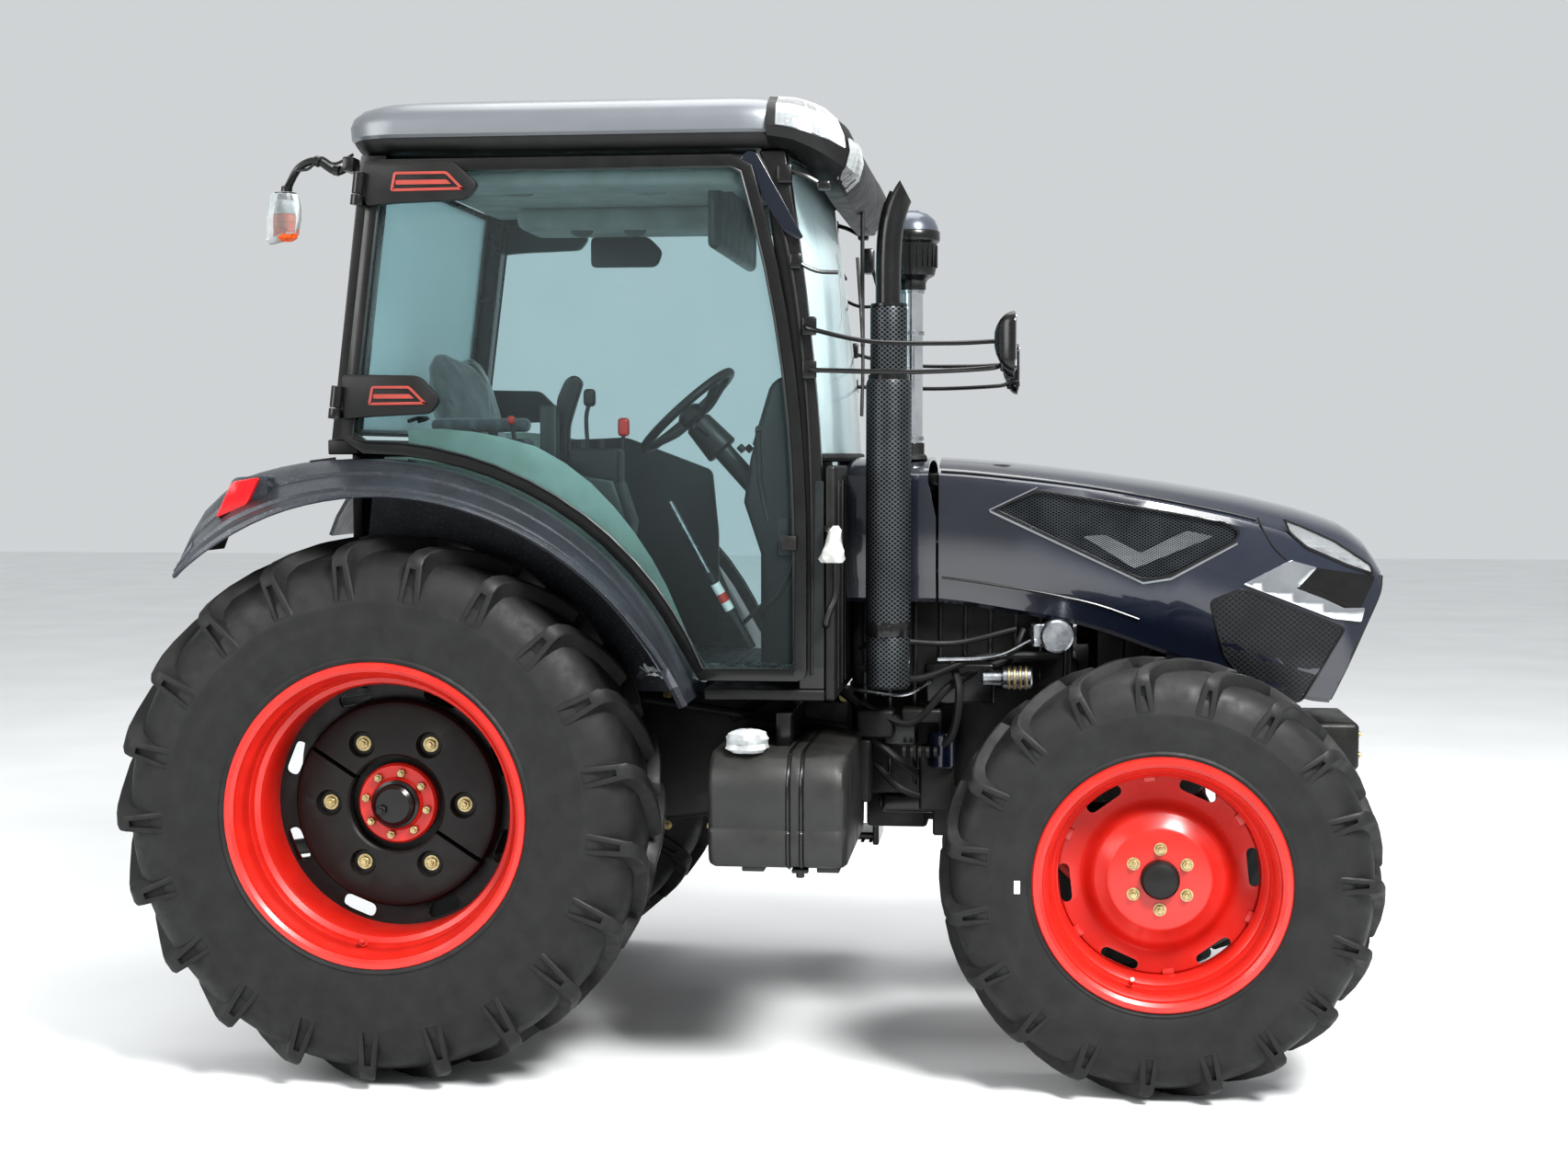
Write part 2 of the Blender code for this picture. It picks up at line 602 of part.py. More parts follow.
def station_at(angle, which):
    """Return a fender radius at an angle, straight between the stations."""
    stations = FENDER_STATIONS
    if angle <= stations[0][0]:
        return stations[0][which]
    for first, second in zip(stations, stations[1:]):
        if angle <= second[0]:
            share = (angle - first[0]) / (second[0] - first[0])
            return first[which] + share * (second[which] - first[which])
    return stations[-1][which]


def round_axle(angle, radius):
    """Return the x and z at an angle and a distance from the rear axle."""
    turn = math.radians(angle)
    return radius * math.cos(turn), REAR_TYRE_DIAMETER / 2 + radius * math.sin(turn)


def build_fender(word, side):
    """Add a fender: flat top, flare that drops to the lip, and the wheel-arch wall."""
    rings = []
    for angle, top, lip in FENDER_STATIONS:
        section = ((ARCH_WALL_Y, top), (0.745, top), (0.80, top - 0.35 * (top - lip)),
                   (0.90, lip + 0.40 * (top - lip)), (0.962, lip + 0.10 * (top - lip)), (0.975, lip))
        ring = []
        for y, radius in section:
            x, z = round_axle(angle, radius)
            ring.append((x, side * y, z))
        rings.append(ring)
    shell = thicken(loft(f"fender_{word}", rings), 0.016, -1.0 if side > 0 else 1.0)
    arc = [round_axle(angle, top - 0.004) for angle, top, _ in FENDER_STATIONS[:7]]
    rear = CAB_REAR_X
    arc = [point for point in arc if point[0] > rear + 0.01]
    foot = FLOOR_TOP - FLOOR_THICKNESS
    outline = [(0.83, foot), (0.83, 1.045)] + arc + [(rear, 1.66), (rear, foot)]
    wall = plate("wall", outline, side * (ARCH_WALL_Y + ARCH_WALL / 2), ARCH_WALL)
    hang(join(shell, wall), FENDER_GREY)


def build_seat():
    """Add the driver's seat: suspension box, cushion and leaning backrest."""
    base = box("seat_base", (0.08, -0.17, FLOOR_TOP + FIT), (0.42, 0.17, 1.42), 0.015)
    hang(base, TRIM)
    cushion = box("seat_cushion", (0.02, -0.25, 1.42 + FIT), (0.50, 0.25, 1.54), 0.035, 3)
    hang(cushion, SEAT)
    outline = ((0.02, 1.5403), (0.13, 1.5403), (0.075, 1.80), (0.035, 1.985), (-0.005, 2.01),
               (-0.065, 2.00), (-0.075, 1.95), (-0.03, 1.72))
    hang(plate("seat_backrest", outline, 0.0, 0.47, bevel=0.02), SEAT)


def wheel_axis():
    """Return the direction of the steering column, up towards the driver."""
    tilt = math.radians(STEERING_WHEEL_TILT)
    return Vector((-math.sin(tilt), 0.0, math.cos(tilt)))


def build_dashboard():
    """Add the dashboard with the fixed steering column."""
    outline = ((0.93, FLOOR_TOP + FIT), (1.14, FLOOR_TOP + FIT), (1.14, 1.50), (1.09, 1.86), (1.02, 1.93),
               (0.96, 1.90), (0.90, 1.68), (0.88, 1.55), (0.93, 1.40))
    dashboard = plate("dashboard", outline, 0.0, 0.30, bevel=0.02)
    axis = wheel_axis()
    column = rod("column", STEERING_WHEEL_CENTRE - 0.34 * axis, STEERING_WHEEL_CENTRE - 0.0355 * axis,
                 0.030, 16)
    hang(join(dashboard, column), TRIM)


def build_console():
    """Add the control console at the driver's right."""
    outline = ((-0.10, FLOOR_TOP + FIT), (0.52, FLOOR_TOP + FIT), (0.60, 1.50), (0.56, 1.62), (0.30, 1.66),
               (-0.10, 1.66))
    console = plate("side_console", outline, -0.39, 0.19, bevel=0.015)
    lever = box("lever", (0.33, -0.40, 1.64), (0.38, -0.36, 1.83), 0.008)
    hang(join(console, lever), TRIM)


def build_mirror(word, side):
    """Add a mirror on two arms that run forward from the front pillar."""
    head = box(f"mirror_{word}", (1.605, side * 0.89 - 0.07, 1.905), (1.680, side * 0.89 + 0.07, 2.055),
               0.02)
    start_y = side * (PILLAR_OUTER_Y + FIT)
    parts = []
    for z, root_x in ((1.97, 1.122), (1.90, 1.125)):
        points = ((root_x, side * 0.725, z), (root_x + 0.06, side * 0.785, z), (1.45, side * 0.85, z + 0.01),
                  (1.63, side * 0.87, z + 0.01))
        parts.append(tube("arm", points, 0.009, 2))
    yoke = box("yoke", (1.110, min(start_y, side * 0.735), 1.885), (1.138, max(start_y, side * 0.735), 1.985))
    hang(join(head, yoke, *parts), TRIM)


def build_beacon():
    """Add the beacon on its bent arm at the rear right corner of the roof."""
    y = -0.69
    arm = tube("beacon", ((-0.117, y, ROOF_UNDERSIDE - 0.03), (-0.17, y, 2.48), (-0.26, y, 2.46),
                          (-0.335, y, 2.42), (-0.345, y, 2.36)), 0.011, 2)
    lamp = rod("lamp", (-0.345, y, 2.26), (-0.345, y, 2.38), 0.045, 18, 0.036)
    foot = box("foot", (-0.130, y - 0.02, 2.45), (-0.104, y + 0.02, ROOF_UNDERSIDE - FIT))
    hang(join(arm, lamp, foot), AMBER)


def build_drawbar():
    """Add the drawbar under the rear axle housing."""
    bar = box("drawbar", (-0.62, -0.04, 0.39), (0.10, 0.04, 0.42), 0.006, 1)
    hanger = box("hanger", (-0.22, -0.075, 0.37), (-0.10, 0.075, 0.50 - FIT), 0.008, 1)
    fork = box("fork", (0.02, -0.06, 0.37), (0.10, 0.06, 0.50 - FIT), 0.008, 1)
    hang(join(bar, hanger, fork), CAST)


# ---------------------------------------------------------------- moving pieces
def build_hood():
    """Add the hood: a creased shell that tapers to the nose, closed by the grille."""
    rings = []
    for x, top, crease, crease_half, side_half, low in HOOD_STATIONS:
        half = ((0.0, top), (0.55 * crease_half, top - 0.18 * (top - crease)), (crease_half, crease),
                (side_half, crease - 0.035), (side_half, (crease + low) / 2), (side_half - 0.012, low))
        ring = [(x, -y, z) for y, z in reversed(half)] + [(x, y, z) for y, z in half[1:]]
        rings.append(ring)
    shell = thicken(loft("hood", rings), HOOD_SKIN, 1.0)
    slope = plate("slope", ((2.80, 0.9), (2.80, 1.46), (2.708, 1.40), (2.690, 1.30), (2.60, 1.10), (2.50, 0.9)),
                  0.0, 1.0)
    shell = combine(shell, slope, "DIFFERENCE")
    face = plate("face", ((2.478, 1.0), (2.545, 1.0), (2.608, 1.13), (2.688, 1.31), (2.697, 1.375),
                          (2.655, 1.375), (2.645, 1.32), (2.565, 1.14)), 0.0, 2 * 0.213)
    shell = join(shell, face)
    for y in (-0.20, 0.20):
        for shift in (-1, 1):
            inner = y + shift * (0.02 + FIT)
            outer = y + shift * 0.05
            barrel = rod("barrel", (HOOD_HINGE.x, inner, HOOD_HINGE.z), (HOOD_HINGE.x, outer, HOOD_HINGE.z),
                         0.011, 14)
            low, high = sorted((inner, outer))
            web = box("web", (HOOD_HINGE.x - 0.008, low + 0.004, HOOD_HINGE.z),
                      (HOOD_HINGE.x + 0.007, high - 0.004, HOOD_HINGE.z + 0.030))
            shell = join(shell, web, barrel)
    pivot = add_pivot("hood_hinge", HOOD_HINGE)
    hang(shell, NAVY, pivot, HOOD_HINGE)


def door_outline():
    """Return the door's outline: front edge, top, hinge edge and the arc over the fender."""
    front_top = 0.925
    outline = [(0.835, DOOR_BOTTOM), (1.125, DOOR_BOTTOM)]
    count = 6
    for i in range(count + 1):
        z = 1.40 + (DOOR_TOP - 0.03 - 1.40) * i / count
        share = (z - 1.40) / (DOOR_TOP - 1.40)
        outline.append((1.125 - 0.155 * share ** 2.2, z))
    outline += [(front_top, DOOR_TOP), (-0.030, DOOR_TOP), (-0.058, DOOR_TOP - 0.04)]
    foot_z = 1.735
    outline.append((hinge_line(foot_z, 1).x + 0.012, foot_z))
    for angle in (95, 84, 73, 62, 51, 40, 30):
        outline.append(round_axle(angle, station_at(angle, 1) + DOOR_ARCH_GAP))
    return outline


def build_door(word, side):
    """Add a glazed door with its two hinge arms, hung on the leaning hinge line."""
    inner = PILLAR_OUTER_Y + DOOR_GAP
    door = plate(f"door_{word}", door_outline(), side * (inner + DOOR_THICKNESS / 2), DOOR_THICKNESS)
    outer = inner + DOOR_THICKNESS
    for z, reach in ((HINGE_FOOT.z, 0.29), (HINGE_HEAD.z, 0.33)):
        place = hinge_line(z, side)
        barrel = rod("barrel", hinge_line(z - 0.03, side), hinge_line(z + 0.03, side), HINGE_RADIUS, 14)
        low, high = sorted((side * (outer - 0.004), side * (outer + 0.026)))
        arm = plate("arm", ((place.x + 0.012, z - 0.028), (place.x + 0.10, z - 0.045),
                            (place.x + reach, z - 0.020), (place.x + reach, z + 0.010),
                            (place.x + 0.10, z + 0.045), (place.x + 0.012, z + 0.028)),
                    (low + high) / 2, high - low)
        link_low, link_high = sorted((side * (outer + 0.010), side * (outer + 0.026)))
        link = box("link", (place.x, link_low, z - 0.022), (place.x + 0.03, link_high, z + 0.022))
        door = join(door, arm, link, barrel)
    place = hinge_line(HINGE_FOOT.z, side)
    pivot = add_pivot(f"door_{word}_hinge", place)
    hang(door, GLASS, pivot, place)


def rear_window_hinge():
    """Return the place of the rear window's hinge, under the roof's rear edge."""
    z = ROOF_UNDERSIDE - 0.022
    return Vector((hinge_line(z, 1).x - 0.005, 0.0, z))


def build_rear_window():
    """Add the rear window, hung from its top edge."""
    hinge = rear_window_hinge()
    half = PILLAR_INNER_Y - 0.006
    foot_z = SILL_TOP + 0.008
    foot_x = hinge_line(foot_z, 1).x - 0.005
    outline = ((foot_x - 0.006, foot_z), (foot_x + 0.006, foot_z), (hinge.x + 0.006, hinge.z + 0.010),
               (hinge.x - 0.006, hinge.z + 0.010))
    window = plate("rear_window", outline, 0.0, 2 * half)
    for side in SIDES.values():
        pin = rod("pin", (hinge.x, side * (half - 0.04), hinge.z),
                  (hinge.x, side * (PILLAR_INNER_Y - FIT), hinge.z), 0.010, 12)
        window = join(window, pin)
    pivot = add_pivot("rear_window_hinge", hinge)
    hang(window, GLASS, pivot, hinge)


def build_steering_wheel():
    """Add the steering wheel on its leaning column."""
    axis = wheel_axis()
    tilt = math.radians(STEERING_WHEEL_TILT)
    bpy.ops.mesh.primitive_torus_add(
        major_radius=STEERING_WHEEL_RADIUS - 0.014, minor_radius=0.014, major_segments=28, minor_segments=8,
        location=STEERING_WHEEL_CENTRE, rotation=(0, -tilt, 0))
    wheel = settle(adopt(bpy.context.active_object, "steering_wheel"))
    hub = rod("hub", STEERING_WHEEL_CENTRE - 0.035 * axis, STEERING_WHEEL_CENTRE + 0.012 * axis, 0.045, 18)
    wheel = join(wheel, hub)
    frame = Matrix.Rotation(-tilt, 3, "Y")
    for turn in (0.5, 1.5, 2.5):
        spoke_end = frame @ Vector((math.cos(turn * math.tau / 3), math.sin(turn * math.tau / 3), 0))
        spoke = rod("spoke", STEERING_WHEEL_CENTRE - 0.01 * axis,
                    STEERING_WHEEL_CENTRE + (STEERING_WHEEL_RADIUS - 0.014) * spoke_end, 0.010, 8)
        wheel = join(wheel, spoke)
    pivot = add_pivot("steering_wheel_axis", STEERING_WHEEL_CENTRE)
    hang(wheel, TRIM, pivot, STEERING_WHEEL_CENTRE)


def tyre_profile(radius, width, bead_radius, rim_width, flange_radius):
    """Return a tyre's section: bead, bulging sidewall, shoulder and tread, mirrored."""
    out = radius / math.cos(math.pi / WHEEL_STEPS)
    half = width / 2
    seat = rim_width / 2 - 0.012
    upper = [(bead_radius + FIT, seat - FIT), (flange_radius + 0.001, seat - FIT),
             (bead_radius + 0.50 * (radius - bead_radius), half),
             (bead_radius + 0.82 * (radius - bead_radius), half - 0.008), (out, 0.84 * half)]
    lower = [(r, -z) for r, z in reversed(upper)]
    return upper + lower


def rim_profile(rim, flange, width, disc, hub_in, hub_out, hub_radius, cap_radius):
    """Return a rim's section from the hub's outer end round the barrel to its inner end."""
    half, wall = width / 2, RIM_WALL
    return [(0.0, hub_out), (cap_radius, hub_out), (cap_radius, disc + 0.004), (rim - wall, disc + 0.004),
            (rim - wall, half - 0.012), (flange, half), (flange, half - 0.012), (rim, half - 0.012),
            (rim, -half + 0.012), (flange, -half + 0.012), (flange, -half), (rim - wall, -half + 0.012),
            (rim - wall, disc - 0.010), (hub_radius, disc - 0.010), (hub_radius, hub_in), (0.0, hub_in)]


def spin_to(side):
    """Return the rotation that turns a profile's upper side to the tractor's outside."""
    return (-side * math.pi / 2, 0.0, 0.0)


def build_rear_wheel(word, side):
    """Add a rear wheel: tyre, rim with its disc, and the cast weight on the disc."""
    radius = REAR_TYRE_DIAMETER / 2
    place = Vector((0.0, side * REAR_TRACK / 2, radius))
    pivot = add_pivot(f"rear_wheel_{word}_axle", place)
    section = tyre_profile(radius, REAR_TYRE_WIDTH, REAR_RIM_RADIUS, REAR_RIM_WIDTH, REAR_FLANGE_RADIUS)
    tyre = turned(f"rear_tyre_{word}", section, WHEEL_STEPS, spin_to(side), place)
    hang(tyre, RUBBER, pivot, place)
    disc = REAR_DISC_OFFSET
    rim = turned(f"rear_rim_{word}", rim_profile(REAR_RIM_RADIUS, REAR_FLANGE_RADIUS, REAR_RIM_WIDTH, disc,
                                                 disc - 0.014, disc + 0.085, 0.15, 0.075),
                 WHEEL_STEPS, spin_to(side), place)
    hang(rim, RED, pivot, place)
    low = disc + 0.004 + FIT
    ring = ((0.085, low + 0.035), (0.12, low + 0.045), (0.26, low + 0.055), (0.285, low + 0.04), (0.285, low),
            (0.085, low))
    weight = turned(f"rear_weight_{word}", ring, WHEEL_STEPS, spin_to(side), place)
    hang(weight, CAST, pivot, place)


def build_front_wheel(word, side):
    """Add a front wheel: tyre and rim with its disc and hub cap."""
    radius = FRONT_TYRE_DIAMETER / 2
    place = Vector((WHEELBASE, side * FRONT_TRACK / 2, radius))
    pivot = add_pivot(f"front_wheel_{word}_axle", place)
    section = tyre_profile(radius, FRONT_TYRE_WIDTH, FRONT_RIM_RADIUS, FRONT_RIM_WIDTH, FRONT_FLANGE_RADIUS)
    tyre = turned(f"front_tyre_{word}", section, WHEEL_STEPS, spin_to(side), place)
    hang(tyre, RUBBER, pivot, place)
    disc = FRONT_DISC_OFFSET
    rim = turned(f"front_rim_{word}", rim_profile(FRONT_RIM_RADIUS, FRONT_FLANGE_RADIUS, FRONT_RIM_WIDTH, disc,
                                                  disc - 0.02, disc + 0.075, 0.12, 0.062),
                 WHEEL_STEPS, spin_to(side), place)
    hang(rim, RED, pivot, place)


def build_knuckle(word, side):
    """Add a steering knuckle: fork round the kingpin, final drive and steering arm."""
    x, z = WHEELBASE, FRONT_TYRE_DIAMETER / 2
    pin_y = side * KINGPIN_Y
    place = Vector((x, pin_y, z))
    hub_end = side * (FRONT_TRACK / 2 + FRONT_DISC_OFFSET - 0.02 - FIT)
    low, high = sorted((side * 0.605, side * 0.66))
    knuckle = box(f"knuckle_{word}", (x - 0.07, low, z - 0.13), (x + 0.07, high, z + 0.13), 0.008, 1)
    parts = [rod("hub", (x, side * 0.63, z), (x, hub_end, z), 0.125, 24)]
    for sign in (-1, 1):
        near, far = z + sign * (0.0895 + FIT), z + sign * 0.13
        parts.append(rod("ear", (x, pin_y, near), (x, pin_y, far), 0.055, 20))
        ear_low, ear_high = sorted((pin_y, side * 0.63))
        plate_low, plate_high = sorted((near, far))
        parts.append(box("web", (x - 0.05, ear_low, plate_low), (x + 0.05, ear_high, plate_high)))
    arm_low, arm_high = sorted((side * 0.485, side * 0.535))
    parts.append(box("arm", (x, arm_low, z + 0.105), (x + STEER_ARM + 0.022, arm_high, z + 0.13), 0.006, 1))
    pivot = add_pivot(f"knuckle_{word}_kingpin", place)
    hang(join(knuckle, *parts), CAST, pivot, place)


def build_steering_rod():
    """Add the double-ended rod of the steering cylinder, with its two eyes."""
    x, z = steering_rod_place()
    steering_rod = rod("steering_rod", (x, -0.50, z), (x, 0.50, z), 0.0125, 16)
    for side in SIDES.values():
        eye = rod("eye", (x, side * 0.505, z - 0.016), (x, side * 0.505, z + 0.016), 0.024, 16)
        steering_rod = join(steering_rod, eye)
    place = Vector((x, 0.0, z))
    pivot = add_pivot("steering_rod_slide", place)
    hang(steering_rod, STEEL, pivot, place)


def droop(distance):
    """Return the offset of a point on a lower link or lift arm from its pivot."""
    turn = math.radians(HITCH_DROOP)
    return Vector((-distance * math.cos(turn), 0.0, -distance * math.sin(turn)))


def build_hitch():
    """Add the three-point linkage: lower links, lift arms on their shaft, lift rods."""
    link_pivot = add_pivot("lower_links_pivot", HITCH_PIVOT)
    arm_pivot = add_pivot("lift_arms_pivot", LIFT_PIVOT)
    rod_place = LIFT_PIVOT + droop(LIFT_ARM)
    rod_pivot = add_pivot("lift_rods_pivot", rod_place)
    boss = CHASSIS_HALF_WIDTH + 0.016
    arms = []
    for word, side in SIDES.items():
        inner, outer = side * (boss + FIT), side * (boss + 0.034)
        for start, length, store in ((HITCH_PIVOT, LINK_LENGTH, f"lower_link_{word}"),
                                     (LIFT_PIVOT, LIFT_ARM, "arm")):
            end = start + droop(length)
            eye = rod(store, (start.x, inner, start.z), (start.x, outer, start.z), 0.035, 16)
            low, high = sorted((side * (boss + 0.007), side * (boss + 0.028)))
            across = Vector((math.sin(math.radians(HITCH_DROOP)), 0, -math.cos(math.radians(HITCH_DROOP))))
            corners = [start + 0.03 * across, start - 0.03 * across, end - 0.022 * across, end + 0.022 * across]
            bar = plate("bar", [(c.x, c.z) for c in corners], (low + high) / 2, high - low)
            tip = rod("tip", (end.x, inner, end.z), (end.x, outer, end.z), 0.033, 16)
            piece = join(eye, bar, tip)
            if store == "arm":
                arms.append(piece)
            else:
                hang(piece, CAST, link_pivot, HITCH_PIVOT)
        top, bottom = rod_place, HITCH_PIVOT + droop(LIFT_ARM)
        y = side * (boss + 0.034 + FIT + 0.014)
        bar = rod(f"lift_rod_{word}", (top.x, y, top.z), (bottom.x, y, bottom.z), 0.0135, 14)
        for place in (top, bottom):
            eye = rod("eye", (place.x, y - side * 0.014, place.z), (place.x, y + side * 0.014, place.z), 0.028, 16)
            bar = join(bar, eye)
        hang(bar, CAST, rod_pivot, rod_place)
    cross = rod("lift_arms", (LIFT_PIVOT.x - 0.10, -boss - 0.02, LIFT_PIVOT.z - 0.014),
                (LIFT_PIVOT.x - 0.10, boss + 0.02, LIFT_PIVOT.z - 0.014), 0.018, 14)
    hang(join(cross, *arms), CAST, arm_pivot, LIFT_PIVOT)


build_engine()
build_gearbox()
build_rear_axle()
build_front_support()
build_front_axle()
build_drive_shaft()
build_tank()
build_steps()
build_exhaust()
build_intake()
build_floor()
build_cowl()
build_roof()
build_windscreen()
build_seat()
build_dashboard()
build_console()
build_beacon()
build_drawbar()
for side_word, side_sign in SIDES.items():
    build_front_pillar(side_word, side_sign)
    build_rear_pillar(side_word, side_sign)
    build_fender(side_word, side_sign)
    build_mirror(side_word, side_sign)
    build_door(side_word, side_sign)
    build_rear_wheel(side_word, side_sign)
    build_front_wheel(side_word, side_sign)
    build_knuckle(side_word, side_sign)
build_hood()
build_rear_window()
build_steering_wheel()
build_steering_rod()
build_hitch()
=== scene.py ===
"""Looks of the farm tractor: every visible piece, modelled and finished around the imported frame.

Lengths are metres. Points are given from the middle of the rear axle's ground line (x forward,
y to the tractor's left, z up); each finished piece is then moved into the frame's own place.
"""

import json
import logging
import math
from collections.abc import Callable, Iterable, Iterator, Sequence
from contextlib import contextmanager
from dataclasses import dataclass, replace
from enum import Enum

import bmesh
import bpy
import numpy as np
from mathutils import Euler, Matrix, Vector

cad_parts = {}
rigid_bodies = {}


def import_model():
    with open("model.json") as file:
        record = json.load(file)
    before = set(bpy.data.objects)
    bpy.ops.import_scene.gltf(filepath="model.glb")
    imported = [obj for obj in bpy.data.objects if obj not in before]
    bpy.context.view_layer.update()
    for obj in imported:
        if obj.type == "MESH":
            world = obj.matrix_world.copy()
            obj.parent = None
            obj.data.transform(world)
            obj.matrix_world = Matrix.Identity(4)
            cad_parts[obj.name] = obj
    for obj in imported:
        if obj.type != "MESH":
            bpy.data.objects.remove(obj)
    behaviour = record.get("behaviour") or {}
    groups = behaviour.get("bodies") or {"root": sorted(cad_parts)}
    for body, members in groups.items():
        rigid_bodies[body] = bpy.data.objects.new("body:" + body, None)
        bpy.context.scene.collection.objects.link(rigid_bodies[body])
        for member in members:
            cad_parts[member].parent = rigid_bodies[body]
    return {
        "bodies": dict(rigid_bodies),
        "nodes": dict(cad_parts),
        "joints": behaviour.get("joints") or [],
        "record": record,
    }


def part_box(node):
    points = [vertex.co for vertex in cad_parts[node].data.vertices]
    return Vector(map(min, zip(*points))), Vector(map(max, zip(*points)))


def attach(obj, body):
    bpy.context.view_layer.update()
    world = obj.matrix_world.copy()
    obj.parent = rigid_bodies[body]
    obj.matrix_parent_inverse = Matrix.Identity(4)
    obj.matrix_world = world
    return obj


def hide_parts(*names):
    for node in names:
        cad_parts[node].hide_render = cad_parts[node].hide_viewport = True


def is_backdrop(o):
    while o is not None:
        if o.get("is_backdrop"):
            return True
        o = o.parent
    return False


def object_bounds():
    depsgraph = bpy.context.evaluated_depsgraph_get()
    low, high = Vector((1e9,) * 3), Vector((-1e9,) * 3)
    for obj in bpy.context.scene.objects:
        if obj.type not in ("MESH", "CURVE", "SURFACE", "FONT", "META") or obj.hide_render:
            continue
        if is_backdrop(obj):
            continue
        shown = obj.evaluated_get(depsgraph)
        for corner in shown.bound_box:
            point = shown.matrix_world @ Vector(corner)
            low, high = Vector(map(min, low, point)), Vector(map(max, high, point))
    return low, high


LOG = logging.getLogger("farm_tractor")
Point = tuple[float, float, float]
Piece = bpy.types.Object
Tree = bpy.types.NodeTree
Socket = bpy.types.NodeSocket

# Points of a modelled piece nearer than this are one point; the CAD meshes are finer.
MERGE_DISTANCE = 0.00002
CAD_MERGE_DISTANCE = 0.00001
# Facets of a CAD mesh that lean less than this many degrees from each other are one face.
CAD_FLAT_ANGLE = 1.0
# Side of the small square that is merged to the first point of a drawn line.
SEED_SIZE = 0.001
# Edges flatter than this many degrees shade smooth, where a piece doesn't say otherwise.
SMOOTH_ANGLE = 32.0
# Height of the rear axle, round which the fenders and the axle's bolts stand.
REAR_AXLE_Z = 0.7375


class Side(Enum):
    """The two sides of the tractor, as the sign of y."""

    RIGHT = -1
    LEFT = 1

    @property
    def word(self) -> str:
        """The side's name as the pieces carry it."""
        return self.name.lower()


class Axis(Enum):
    """The three directions of the frame."""

    X = 0
    Y = 1
    Z = 2

    @property
    def way(self) -> Vector:
        """The unit vector along this axis."""
        return Vector([1.0 if i == self.value else 0.0 for i in range(3)])


# ---------------------------------------------------------------- modelling by operators

def deselect_all() -> None:
    """Leaves nothing selected, the CAD nodes included."""
    if bpy.context.object and bpy.context.object.mode != "OBJECT":
        bpy.ops.object.mode_set(mode="OBJECT")
    bpy.ops.object.select_all(action="DESELECT")


def take(*pieces: Piece) -> None:
    """Selects these pieces alone, the first one active."""
    deselect_all()
    for piece in pieces:
        piece.select_set(True)
    bpy.context.view_layer.objects.active = pieces[0]


@contextmanager
def editing(piece: Piece) -> Iterator[None]:
    """Edit mode on one piece, everything in it selected at the start."""
    take(piece)
    bpy.ops.object.mode_set(mode="EDIT")
    bpy.ops.mesh.select_all(action="SELECT")
    yield
    bpy.ops.object.mode_set(mode="OBJECT")


def apply_modifier(piece: Piece, kind: str, **settings: object) -> None:
    """Adds a modifier with its settings and applies it.

    Args:
        piece: The mesh it acts on.
        kind: The modifier's type, such as BEVEL.
        settings: The modifier's own properties.
    """
    take(piece)
    modifier = piece.modifiers.new(kind.title(), kind)
    for key, value in settings.items():
        setattr(modifier, key, value)
    bpy.ops.object.modifier_apply(modifier=modifier.name)


def soften(piece: Piece, width: float, segments: int = 2, angle: float = 30.0) -> Piece:
    """Rounds the edges sharper than an angle.

    Args:
        piece: The mesh to round.
        width: Radius of the rounding.
        segments: Facets in the rounding.
        angle: Edges flatter than this many degrees stay.

    Returns:
        The same piece.
    """
    apply_modifier(piece, "BEVEL", width=width, segments=segments, limit_method="ANGLE",
        angle_limit=math.radians(angle), harden_normals=False)
    return piece


def close_up(piece: Piece) -> Piece:
    """Merges doubled points and turns the faces outwards."""
    with editing(piece):
        bpy.ops.mesh.remove_doubles(threshold=MERGE_DISTANCE)
        bpy.ops.mesh.normals_make_consistent(inside=False)
    return piece


def join(name: str, pieces: Sequence[Piece]) -> Piece:
    """Joins pieces into the first one, under a new name."""
    take(*pieces)
    if len(pieces) > 1:
        bpy.ops.object.join()
    pieces[0].name = name
    return pieces[0]


def draw_chains(name: str, chains: Sequence[Sequence[Point]], closed: bool = False) -> Piece:
    """Draws lines of points in one mesh, each by extruding a point onward.

    Args:
        name: The piece's name.
        chains: One or more lines of points.
        closed: Whether each line's ends are joined.

    Returns:
        The piece, in object mode.
    """
    deselect_all()
    bpy.ops.mesh.primitive_plane_add(size=SEED_SIZE, location=chains[0][0])
    piece = bpy.context.object
    piece.name = name
    bpy.ops.object.transform_apply(location=True, rotation=False, scale=False)
    bpy.ops.object.mode_set(mode="EDIT")
    bpy.ops.mesh.select_all(action="SELECT")
    for number, points in enumerate(chains):
        if number:
            bpy.ops.mesh.select_all(action="DESELECT")
            bpy.ops.mesh.primitive_plane_add(size=SEED_SIZE, location=points[0])
        bpy.ops.mesh.merge(type="CENTER")
        for here, there in zip(points, points[1:]):
            move = Vector(there) - Vector(here)
            bpy.ops.mesh.extrude_region_move(TRANSFORM_OT_translate={"value": move})
        if closed:
            bpy.ops.mesh.select_more()
            select_points(piece, range((number + 1) * len(points) - 1, (number + 1) * len(points)),
                range(number * len(points), number * len(points) + 1))
            bpy.ops.mesh.edge_face_add()
    bpy.ops.object.mode_set(mode="OBJECT")
    return piece


def select_points(piece: Piece, *numbers: Iterable[int]) -> None:
    """Selects a mesh's points by number, in edit mode."""
    wanted = {n for some in numbers for n in some}
    mesh = bmesh.from_edit_mesh(piece.data)
    for element in (*mesh.faces, *mesh.edges, *mesh.verts):
        element.select = False
    mesh.verts.ensure_lookup_table()
    for n in wanted:
        mesh.verts[n].select = True
    mesh.select_flush(True)
    bmesh.update_edit_mesh(piece.data)


